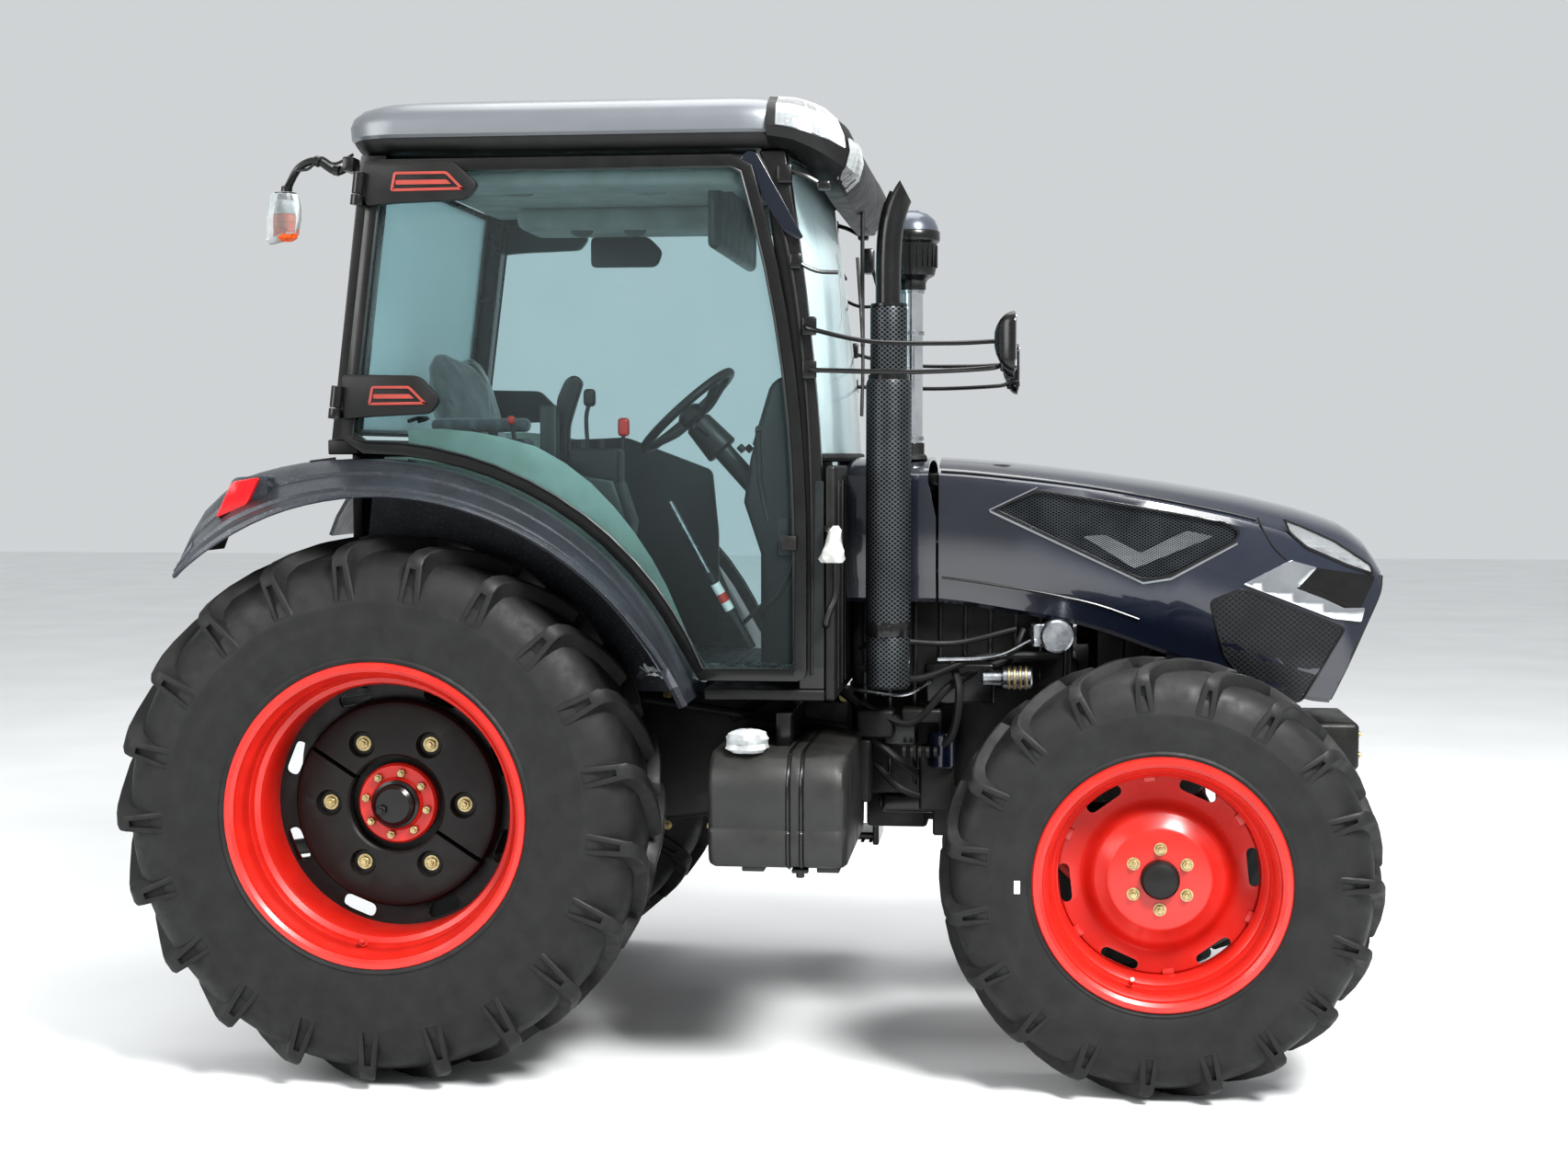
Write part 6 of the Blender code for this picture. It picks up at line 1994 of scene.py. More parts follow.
@dataclass
class Controls(Assembly):
    """Steering wheel, column and dash, side console and levers, trims and floor film."""

    wheel_centre: Point = (0.692, 0.0, 1.82)
    wheel_tilt: float = 42.0
    wheel_radius: float = 0.172

    def build(self) -> None:
        """Models the controls."""
        self.steering_wheel()
        self.dash()
        self.console()
        self.levers()
        self.trims()
        self.floor_film()

    def on_wheel(self, piece: Piece) -> Piece:
        """Leans a piece made level about the origin into the steering wheel's place."""
        piece.data.transform(Matrix.Translation(self.wheel_centre) @ Matrix.Rotation(
            math.radians(-self.wheel_tilt), 4, "Y"))
        return piece

    def steering_wheel(self) -> None:
        """Thick rim with thumb grips, three spokes and the hub."""
        circle = [(self.wheel_radius + 0.0135 * math.cos(a),
            0.0135 * math.sin(a)) for a in (math.tau * n / 14 for n in range(14))]
        rim = lathe("rim", circle, (0.0, 0.0, 0.0), Axis.Z, 64, True)
        spokes = []
        for turn in (35.0, 180.0, 325.0):
            way = Vector((math.cos(math.radians(turn)), math.sin(math.radians(turn)), 0.0))
            points = [way * 0.02 + Vector((0, 0, -0.032)), way * 0.07 + Vector((0, 0, -0.03)),
                way * 0.13 + Vector((0, 0, -0.012)), way * 0.165]
            spokes.append(pipe("spoke", [tuple(p) for p in points], 0.0105, 4, 2))
        hub = lathe("hub", [(0.0, 0.006), (0.03, 0.004), (0.04, -0.006), (0.044, -0.03),
            (0.03, -0.05), (0.0, -0.05)], (0, 0, 0), Axis.Z, 32, False)
        wheel = self.on_wheel(join("wheel", [rim, *spokes, hub]))
        wheel.name = "steering_wheel_rim"
        self.frame.deliver(wheel, "steering_wheel", PLASTIC, "black_trim", ["steering_wheel"])

    def dash(self) -> None:
        """Column boot, slanted column, instrument pod and stalks."""
        self.put(self.frame.softened("dashboard", 0.01, 4), "dashboard_body", CONSOLE, "black_trim",
            ["dashboard"])
        collar = rod("collar", (0.722, 0.0, 1.786), (0.8, 0.0, 1.7), 0.042, 28, 0.052, 0.006)
        stalks = [pipe("stalk", [(0.76, s * 0.03, 1.745), (0.745, s * 0.11, 1.765),
            (0.735, s * 0.15, 1.775)], 0.006, 4, 2) for s in (-1, 1)]
        keys = [rod("key", (0.875, y, 1.7), (0.86, y, 1.715), 0.011, 20) for y in (-0.09, 0.09)]
        self.put([collar, *stalks, *keys], "steering_column", PLASTIC, "black_trim")
        face = side_plate("face", ((0.905, 1.72), (0.955, 1.885), (0.962, 1.882), (0.915, 1.71)),
            -0.13, 0.26, 0.0, 0.002)
        self.put(face, "instrument_face", BLACK, "tinted_glass")

    def console(self) -> None:
        """Right console, its control box and the plain console on the left."""
        self.put(self.frame.softened("side_console", 0.01, 4), "side_console_body", CONSOLE,
            "black_trim", ["side_console"])
        blocks = [rounded_block("block", (0.42, -0.445, 1.6), (0.565, -0.335, 1.705), 0.012, 4),
            rounded_block("block", (0.06, -0.47, 1.66), (0.3, -0.31, 1.735), 0.02, 4)]
        blocks += [rod("knob", (x, y, z), (x, y, z + 0.028), 0.015, 20, 0.013) for x, y, z in (
            (0.46, -0.42, 1.705), (0.5, -0.36, 1.705), (0.12, -0.36, 1.735), (0.2, -0.42, 1.735))]
        self.put(blocks, "control_boxes", PLASTIC, "black_trim")
        left = side_plate("left", ((0.27, 1.08), (0.2, 1.735), (0.42, 1.745), (0.7, 1.64),
            (0.72, 1.44), (0.72, 1.08)), 0.463, 0.024, 0.02, 0.006)
        self.put(left, "left_console", CONSOLE, "black_trim")

    def levers(self) -> None:
        """The tall grip, red lever and small levers, pedals and the gas strut."""
        grip = side_plate("grip", ((0.355, 1.66), (0.36, 1.848), (0.385, 1.905), (0.412, 1.92), (
            0.436, 1.898), (0.42, 1.85), (0.396, 1.773), (0.392, 1.66)), -0.315, 0.045, 0.014, 0.01)
        stems = [pipe("stem", [(0.545, -0.3, 1.52), (0.548, -0.3, 1.66), (0.553, -0.3, 1.75)],
            0.006, 4, 2), pipe("stem",
            [(0.47, -0.4, 1.7), (0.465, -0.4, 1.79), (0.475, -0.4, 1.84)], 0.006, 4, 2),
            pipe("stem", [(0.25, -0.36, 1.72), (0.24, -0.36, 1.78)], 0.006, 4, 2)]
        knobs = [rounded_block("knob", (0.458, -0.415, 1.825), (0.492, -0.385, 1.875), 0.012, 4)]
        self.put([grip, *stems, *knobs], "hand_levers", PLASTIC, "black_trim")
        red = rounded_block("red", (0.538, -0.315, 1.742), (0.57, -0.285, 1.795), 0.01, 4)
        small = rounded_block("red", (0.228, -0.37, 1.775), (0.25, -0.35, 1.8), 0.008, 4)
        self.put([red, small], "red_lever_knobs", RED, "red_paint")
        pedals = []
        for y in (-0.2, 0.2):
            pedals.append(pipe("arm", [(1.05, y, 1.42), (1.0, y, 1.3), (0.93, y, 1.23)], 0.01, 4,
                2))
            pedals.append(side_plate("pad", ((0.885, 1.205), (0.945, 1.262), (0.952, 1.254),
                (0.892, 1.197)), y - 0.04, 0.08, 0.0, 0.002))
        self.put(pedals, "pedals", PLASTIC, "black_trim")
        tube = rod("tube", (0.962, -0.6, 1.163), (0.85, -0.64, 1.37), 0.013, 24)
        piston = rod("piston", (0.85, -0.64, 1.37), (0.75, -0.672, 1.564), 0.006, 20)
        self.put(tube, "gas_strut_tube", PLASTIC, "black_trim")
        self.put(piston, "gas_strut_piston", STEEL, "bright_steel")
        start, end = Vector((0.905, -0.6204, 1.268)), Vector((0.865, -0.6346, 1.342))
        band = rod("band", tuple(start), tuple(end), 0.0135, 24)
        self.put(band, "gas_strut_label", WHITE, "roof_silver")
        red = rod("band", tuple(start.lerp(end, 0.3)), tuple(start.lerp(end, 0.62)), 0.014, 24)
        self.put(red, "gas_strut_red_band", RED, "red_paint")

    def trims(self) -> None:
        """Pale green trims over the wheel arches inside the cab."""
        arch = Fenders(self.frame)
        crest = ((23, 0.885), (33, 0.9), (46, 0.95), (62, 1.015), (70, 1.035), (90, 1.025),
            (92, 1.02))
        outer = [(ramp(crest, angle, 1), angle) for angle in arch.angles(24, 91, 5)]
        inner = [(ramp(arch.stations, angle, 1) - 0.03,
            angle) for angle in reversed(arch.angles(26, 91, 5))]
        outline = [(radius * math.cos(math.radians(angle)), arch.axle_z + radius * math.sin(
            math.radians(angle))) for radius, angle in outer + inner]
        face = side_plate("face", outline, -0.524, 0.01, 0.0, 0.003)
        self.pair(face, "arch_trim_{}", TRIM_GREEN, "fender_grey")
        rows = [[arch.at(angle, out, 0.0, 0.004) for out in (0.492, 0.6,
            0.7)] for angle in arch.angles(24, 92, 4)]
        mat = loft("mat", rows)
        apply_modifier(mat, "SOLIDIFY", thickness=0.005, offset=0.0)
        self.pair(mat, "arch_cover_{}", TRIM_GREEN, "fender_grey")

    def floor_film(self) -> None:
        """The rubber mat and the crumpled clear film left on it."""
        mat = rounded_block("mat", (0.45, -0.46, 1.061), (1.13, 0.46, 1.068), 0.003)
        ribs = [rounded_block("rib", (0.47 + 0.04 * n, -0.44, 1.067),
            (0.49 + 0.04 * n, 0.44, 1.071), 0.0015) for n in range(16)]
        self.put([mat, *ribs], "floor_mat", RUBBER, "black_trim")
        bpy.ops.mesh.primitive_grid_add(x_subdivisions=90, y_subdivisions=60, size=1.0)
        film = bpy.context.object
        film.data.transform(
            Matrix.Translation((0.875, -0.5, 1.105)) @ Matrix.Diagonal((0.44, 0.34, 1.0, 1.0)))
        for size, depth in ((0.16, 0.055), (0.06, 0.028), (0.022, 0.01)):
            crumple(film, depth, size, 0.45)
        self.put(film, "floor_film", FILM, "tinted_glass")


# ---------------------------------------------------------------- outfit

@dataclass
class Exhaust(Assembly):
    """The upright exhaust in its woven guard, the slash-cut tail pipe and the pre-cleaner."""

    x: float = 1.3315
    y: float = -0.55
    intake_x: float = 1.375
    intake_y: float = -0.2

    def build(self) -> None:
        """Models the stack and the intake beside it."""
        self.stack()
        self.intake()

    def stack(self) -> None:
        """Guards, bands, tail pipe and the pipe from the engine."""
        centre = (self.x, self.y, 0.0)
        guards = [lathe("guard", [(0.0, 1.052), (0.052, 1.052), (0.06, 1.06), (0.06, 1.196),
            (0.058, 1.2)], centre, Axis.Z, 56, False), lathe("guard",
            [(0.0585, 1.232), (0.0615, 1.236), (0.0615, 1.88), (0.058, 1.892), (0.05, 1.896)],
            centre, Axis.Z, 56, False), lathe("guard", [(0.0495, 1.902), (0.0505, 1.906),
            (0.0505, 2.082), (0.048, 2.09), (0.036, 2.094)], centre, Axis.Z, 56, False)]
        self.put(guards, "exhaust_guard", GUARD_MESH, "black_casting", ["exhaust_stack"])
        bands = [lathe("band", [(0.0, 1.196), (0.0615, 1.196), (0.0628, 1.2), (0.0628, 1.232),
            (0.0615, 1.236), (0.0, 1.236)], centre, Axis.Z, 56, False), lathe("band", [(0.0495,
            1.89), (0.056, 1.892), (0.056, 1.905), (0.0495, 1.907)], centre, Axis.Z, 56, True),
            lathe("band", [(0.034, 2.088), (0.05, 2.09), (0.05, 2.097), (0.034, 2.1)], centre,
            Axis.Z, 56, True), rounded_block("clasp", (self.x - 0.012, self.y - 0.076, 1.203),
            (self.x + 0.012, self.y - 0.058, 1.229), 0.004)]
        elbow = pipe("elbow", [(self.x, self.y, 1.1), (self.x, self.y + 0.02, 1.085),
            (self.x, -0.4, 1.08), (self.x, -0.25, 1.08)], 0.034, 6, 4)
        clamps = [lathe("clamp", [(0.036, -0.445), (0.04, -0.442), (0.04, -0.42), (0.036, -0.417)],
            (self.x, 0.0, 1.08), Axis.Y, 40, True)]
        bracket = [rounded_block("bracket", (self.x - 0.02, -0.49, z),
            (self.x + 0.02, -0.36, z + 0.006), 0.002) for z in (1.215, 1.52)]
        self.put([*bands, elbow, *clamps, *bracket], "exhaust_bands", BLACK, "black_casting")
        path = [(self.x - 0.002, self.y, 2.07), (self.x - 0.002, self.y, 2.2),
            (self.x + 0.002, self.y, 2.28), (self.x + 0.014, self.y, 2.345),
            (self.x + 0.036, self.y, 2.4), (self.x + 0.075, self.y, 2.45)]
        tail = pipe("tail", path, 0.0345, 8, 4)
        knife = rounded_block("knife", (-0.2, -0.2, 0.0), (0.2, 0.2, 0.3), 0.001)
        knife.data.transform(Matrix.Translation((self.x + 0.036, self.y,
            2.415)) @ Matrix.Rotation(math.radians(62), 4, "Y"))
        cut(tail, knife)
        bore = pipe("bore", [(x, y, z + 0.01) for x, y,
            z in path[1:]] + [(self.x + 0.07, self.y, 2.6)], 0.0315, 8, 4)
        cut(tail, bore)
        self.put(tail, "exhaust_tail_pipe", BLACK, "black_casting", smooth=50.0)

    def intake(self) -> None:
        """Grey dome, black bowl, polished pipe and clamps."""
        centre = (self.intake_x, self.intake_y, 0.0)
        dome = lathe("dome", [(0.0, 2.384), (0.022, 2.382), (0.045, 2.374), (0.064, 2.358),
            (0.073, 2.338), (0.075, 2.324), (0.0, 2.324)], centre, Axis.Z, 56, False)
        cap = rod("cap", (self.intake_x, self.intake_y, 2.38),
            (self.intake_x, self.intake_y, 2.3845), 0.02, 28)
        self.put([dome, cap], "pre_cleaner_dome", ARCH_HIGHLIGHT_AND_DOME_GREY, "bright_steel", ["air_intake"])
        bowl = lathe("bowl", [(0.0, 2.326), (0.077, 2.326), (0.0795, 2.322), (0.0795, 2.3),
            (0.077, 2.296), (0.071, 2.29), (0.068, 2.215), (0.064, 2.2), (0.046, 2.19),
            (0.04, 2.18), (0.04, 2.16), (0.0, 2.16)], centre, Axis.Z, 56, False)
        vanes = []
        for n in range(24):
            turn = math.tau * n / 24
            x, y = self.intake_x + 0.0705 * math.cos(turn), self.intake_y + 0.0705 * math.sin(turn)
            vanes.append(rod("vane", (x, y, 2.222), (x, y, 2.286), 0.0025, 10))
        self.put([bowl, *vanes], "pre_cleaner_bowl", BLACK, "black_trim")
        tube = lathe("tube", [(0.0, 1.7), (0.032, 1.7), (0.032, 2.158), (0.0, 2.158)], centre,
            Axis.Z, 48, False)
        self.put(tube, "intake_pipe", CHROME, "bright_steel")
        clamps = [lathe("clamp", [(0.031, z), (0.036, z + 0.001), (0.036, z + 0.011),
            (0.031, z + 0.012)], centre, Axis.Z, 48, True) for z in (2.148, 2.03, 1.73)]
        clamps += [hex_bolt((self.intake_x, -0.24, z + 0.006), (0, -1, 0), 0.008,
            0.008) for z in (2.148, 2.03, 1.73)]
        self.put(clamps, "intake_clamps", STEEL, "bright_steel")
        boot = lathe("boot", [(0.03, 1.672), (0.046, 1.676), (0.044, 1.686), (0.037, 1.692),
            (0.037, 1.722), (0.03, 1.724)], centre, Axis.Z, 48, True)
        self.put(boot, "intake_boot", RUBBER, "black_trim")


@dataclass
class CabOutfit(Assembly):
    """Mirrors, beacon, grab handles, brackets, wires and the white wrap."""

    def build(self) -> None:
        """Models what hangs outside the cab."""
        self.mirrors()
        self.beacon()
        self.handles()

    def mirrors(self) -> None:
        """Two thin arms a side, a domed head and a small round one below it."""
        arms = [pipe("arm", [(1.118, -0.706, 2.035), (1.14, -0.74, 2.02), (1.3, -0.76, 1.985),
            (1.5, -0.76, 1.98), (1.635, -0.76, 1.985)], 0.0065, 6, 2),
            pipe("arm", [(1.135, -0.706, 1.915), (1.16, -0.735, 1.912), (1.4, -0.76, 1.906),
            (1.6, -0.76, 1.914), (1.645, -0.79, 1.925)], 0.0065, 6, 2)]
        arms += [rounded_block("foot", (1.112, -0.722, z), (1.15, -0.706, z + 0.05),
            0.005) for z in (2.005, 1.89)]
        arms += [rod("joint", (1.636, -0.76, 1.965), (1.636, -0.76, 2.002), 0.011, 20, None, 0.003),
            rod("joint", (1.645, -0.79, 1.905), (1.645, -0.79, 1.94), 0.009, 20, None, 0.003)]
        self.pair(join("arms", arms), "mirror_arms_{}", BLACK, "black_trim", "mirror_{}")
        rows = []
        for share, grow in ((0.0, 0.9), (0.05, 1.0), (0.25, 0.98), (0.5, 0.88), (0.72, 0.7),
                (0.88, 0.48), (0.97, 0.25)):
            ring = [(-0.064 * grow, -0.084 * grow), (0.064 * grow, -0.084 * grow),
                (0.064 * grow, 0.07 * grow), (-0.064 * grow, 0.07 * grow)]
            rows.append([(1.676 - 0.056 * share, -0.845 + y, 1.985 + z) for y,
                z in rounded(ring, 0.03 * grow, 5)])
        head = loft("head", rows, closed=True, capped=True)
        small = []
        for share, grow in ((0.0, 0.92), (0.1, 1.0), (0.5, 0.85), (0.8, 0.55), (0.97, 0.2)):
            small.append([(1.672 - 0.03 * share, -0.8 + 0.03 * grow * math.cos(math.tau * n / 28),
                1.9145 + 0.028 * grow * math.sin(math.tau * n / 28)) for n in range(28)])
        cup = loft("cup", small, closed=True, capped=True)
        self.pair(join("heads", [head, cup]), "mirror_heads_{}", BLACK, "black_trim")
        ring = rounded([(-0.057, -0.076), (0.057, -0.076), (0.057, 0.063), (-0.057, 0.063)], 0.026,
            5)
        glass = loft("glass", [[(1.6765, -0.845 + y, 1.985 + z) for y, z in ring],
            [(1.6785, -0.845 + y, 1.985 + z) for y, z in ring]], closed=True, capped=True)
        self.pair(glass, "mirror_glass_{}", CHROME, "bright_steel")

    def beacon(self) -> None:
        """Bent arm with its wire, the amber lamp and the clear bag over it."""
        arm = pipe("arm", [(-0.115, -0.69, 2.478), (-0.16, -0.69, 2.455), (-0.215, -0.69, 2.485),
            (-0.262, -0.69, 2.47), (-0.29, -0.69, 2.43), (-0.3, -0.69, 2.4)], 0.0105, 8, 3)
        wire = pipe("wire", [(-0.11, -0.7, 2.5), (-0.16, -0.705, 2.475), (-0.2, -0.7, 2.492),
            (-0.235, -0.705, 2.462), (-0.275, -0.7, 2.455), (-0.305, -0.702, 2.41)], 0.004, 8, 2)
        clips = [rod("clip", (x, -0.69, z), (x + dx, -0.69, z + dz), 0.015, 20, None, 0.003) for x,
            z, dx, dz in ((-0.15, 2.457, -0.02, 0.004), (-0.205, 2.48, -0.018, 0.008),
            (-0.3, 2.418, -0.004, -0.03))]
        foot = rounded_block("foot", (-0.135, -0.725, 2.452), (-0.104, -0.655, 2.492), 0.006)
        socket = lathe("socket", [(0.0, 2.402), (0.03, 2.4), (0.034, 2.392), (0.034, 2.38),
            (0.0, 2.378)], (-0.305, -0.69, 0.0), Axis.Z, 40, False)
        self.put([arm, wire, *clips, foot, socket], "beacon_arm", BLACK, "black_trim")
        lens = lathe("lens", [(0.0, 2.345), (0.034, 2.342), (0.041, 2.33), (0.039, 2.3),
            (0.033, 2.277), (0.02, 2.269), (0.0, 2.268)], (-0.308, -0.69, 0.0), Axis.Z, 48, False)
        self.put(lens, "beacon_lens", AMBER, "amber_lens", ["beacon"])
        clear = lathe("clear", [(0.032, 2.379), (0.036, 2.374), (0.04, 2.345), (0.0395, 2.342)],
            (-0.308, -0.69, 0.0), Axis.Z, 48, False)
        apply_modifier(clear, "SOLIDIFY", thickness=0.002, offset=0.0)
        self.put(clear, "beacon_dome", LAMP_LENS, "amber_lens")
        rows = []
        for z, radius, slide in ((2.402, 0.02, 0.0), (2.395, 0.037, 0.0), (2.37, 0.043, 0.0),
                (2.33, 0.046, -0.002), (2.29, 0.043, -0.006), (2.272, 0.03, -0.022),
                (2.262, 0.008, -0.04)):
            rows.append([(-0.307 + slide + radius * (1 + 0.05 * math.sin(5 * a + z * 90))
                * math.cos(a), -0.69 + radius * (1 + 0.05 * math.cos(7 * a + z * 60)) * math.sin(a)
                * 0.95, z) for a in (math.tau * n / 40 for n in range(40))])
        bag = loft("bag", rows, closed=True)
        apply_modifier(bag, "SOLIDIFY", thickness=0.0006, offset=0.0)
        self.put(bag, "beacon_bag", FILM, "amber_lens")

    def handles(self) -> None:
        """Grab handles, lamp brackets, the curved rod by the windscreen and the white wrap."""
        bar = pipe("bar", [(1.176, -0.712, 1.235), (1.178, -0.742, 1.24), (1.188, -0.748, 1.275),
            (1.205, -0.75, 1.32), (1.206, -0.75, 1.42), (1.198, -0.748, 1.47),
            (1.182, -0.735, 1.49), (1.176, -0.71, 1.492)], 0.0095, 6, 3)
        self.pair(bar, "grab_handle_{}", BLACK, "black_trim")
        rows = []
        for z, rx, ry, slide in ((1.502, 0.008, 0.01, 0.01), (1.49, 0.016, 0.016, 0.008),
                (1.462, 0.02, 0.018, 0.004), (1.436, 0.027, 0.018, 0.002),
                (1.414, 0.034, 0.016, -0.002), (1.404, 0.028, 0.011, 0.002)):
            rows.append([(1.196 + slide + rx * (1 + 0.18 * math.sin(3 * a + z * 120)) * math.cos(a),
                -0.75 + ry * (1 + 0.15 * math.cos(5 * a + z * 80)) * math.sin(a),
                z) for a in (math.tau * n / 36 for n in range(36))])
        wrap_piece = loft("wrap", rows, closed=True, capped=True)
        self.put(wrap_piece, "handle_wrap", WRAP, "roof_silver")
        bits = [pipe("stay", [(1.075, -0.7, 2.44), (1.12, -0.7, 2.425), (1.165, -0.695, 2.4)],
            0.007, 4, 2), pipe("stay", [(1.095, -0.706, 2.2), (1.15, -0.7, 2.175), (1.205, -0.69,
            2.172)], 0.0055, 4, 2), rounded_block("clamp", (1.045, -0.722, 2.405), (1.085, -0.706,
            2.455), 0.006), rounded_block("clamp", (1.078, -0.72, 2.18), (1.11, -0.706, 2.222),
            0.006), rounded_block("clamp", (1.15, -0.712, 2.388), (1.185, -0.68, 2.412), 0.006)]
        self.pair(join("bits", bits), "pillar_brackets_{}", BLACK, "black_trim")
        rod_piece = pipe("rod", [(1.205, 0.52, 2.3), (1.235, 0.5, 2.2), (1.262, 0.48, 2.135),
            (1.3, 0.46, 2.11)], 0.006, 6, 2)
        block = rounded_block("block", (1.18, 0.5, 2.265), (1.216, 0.56, 2.345), 0.008)
        self.put([rod_piece, block], "windscreen_stay", BLACK, "black_trim")


@dataclass
class FuelTank(Assembly):
    """The moulded tank with its bands, filler under white film, and the steps opposite."""

    def build(self) -> None:
        """Models the tank, the filler and the steps."""
        section = [(-0.862, 0.612), (-0.872, 0.64), (-0.876, 0.7), (-0.872, 0.706), (-0.872, 0.716),
            (-0.876, 0.722), (-0.876, 0.82), (-0.866, 0.86), (-0.835, 0.893), (-0.79, 0.907),
            (-0.3, 0.907), (-0.245, 0.885), (-0.215, 0.83), (-0.205, 0.7), (-0.215, 0.63),
            (-0.245, 0.606), (-0.83, 0.602)]
        rows = []
        middle = Vector((-0.54, 0.755))
        stops = ((0.877, 0.93), (0.882, 0.975), (0.895, 1.0), (1.085, 1.0), (1.089, 0.985),
            (1.093, 0.985), (1.097, 1.0), (1.12, 1.0), (1.124, 0.985), (1.128, 0.985), (1.132, 1.0),
            (1.212, 1.0), (1.232, 0.985), (1.243, 0.94))
        for x, grow in stops:
            rows.append([(x, middle.x + (y - middle.x) * grow,
                middle.y + (z - middle.y) * grow) for y, z in section])
        body = soften(loft("tank", rows, closed=True, capped=True), 0.004, 3, 40)
        self.put(body, "fuel_tank_body", TANK_GREY, "tank_plastic", ["fuel_tank"], 40.0)
        straps = []
        for x in (1.091, 1.126):
            ring = [(x, middle.x + (y - middle.x) * 1.002, middle.y + (z - middle.y) * 1.004) for y,
                z in section]
            straps.append(pipe("strap", [*ring, ring[0]], 0.0045, 1, 2))
        straps += [rod("drain", (1.12, -0.835, 0.6), (1.12, -0.835, 0.578), 0.011, 20),
            rounded_block("drain", (1.098, -0.847, 0.59), (1.142, -0.823, 0.602), 0.003),
            rounded_block("saddle", (0.96, -0.8, 0.584), (1.02, -0.22, 0.602), 0.003),
            rounded_block("saddle", (1.16, -0.8, 0.584), (1.22, -0.22, 0.602), 0.003),
            rounded_block("hanger", (1.04, -0.7, 0.905), (1.08, -0.3, 0.996), 0.004)]
        self.put(straps, "tank_straps", BLACK, "black_casting")
        neck = lathe("neck", [(0.0, 0.895), (0.036, 0.9), (0.034, 0.922), (0.045, 0.926),
            (0.047, 0.93), (0.047, 0.95), (0.043, 0.957), (0.0, 0.959)], (0.975, -0.8, 0.0), Axis.Z,
            40, False)
        self.put(neck, "tank_filler_cap", BLACK, "tank_plastic")
        rows = []
        for z, radius in ((0.905, 0.044), (0.915, 0.058), (0.928, 0.05), (0.942, 0.056),
                (0.955, 0.051), (0.9625, 0.03), (0.965, 0.006)):
            rows.append([(0.975 + radius * (1 + 0.1 * math.sin(4 * a + z * 150)) * math.cos(a),
                -0.8 + radius * (1 + 0.08 * math.cos(6 * a + z * 90)) * math.sin(a),
                z) for a in (math.tau * n / 44 for n in range(44))])
        bag = loft("bag", rows, closed=True)
        apply_modifier(bag, "SOLIDIFY", thickness=0.0008, offset=0.0)
        self.put(bag, "filler_bag", replace(FILM, name="milky_film", veil=0.6), "tank_plastic")
        self.steps()

    def steps(self) -> None:
        """The battery box with two ribbed steps under the left door."""
        self.put(self.frame.softened("battery_steps", 0.005, 3), "battery_box", BLACK, "black_trim",
            ["battery_steps"])
        ribs = []
        low, high = self.frame.box("battery_steps")
        for n in range(11):
            x = low.x + 0.03 + n * (high.x - low.x - 0.06) / 10
            ribs.append(rounded_block("rib", (x - 0.006, 0.7, low.z + 0.002),
                (x + 0.006, 0.885, low.z + 0.006), 0.0015))
        self.put(ribs, "step_ribs", RUBBER, "black_trim")


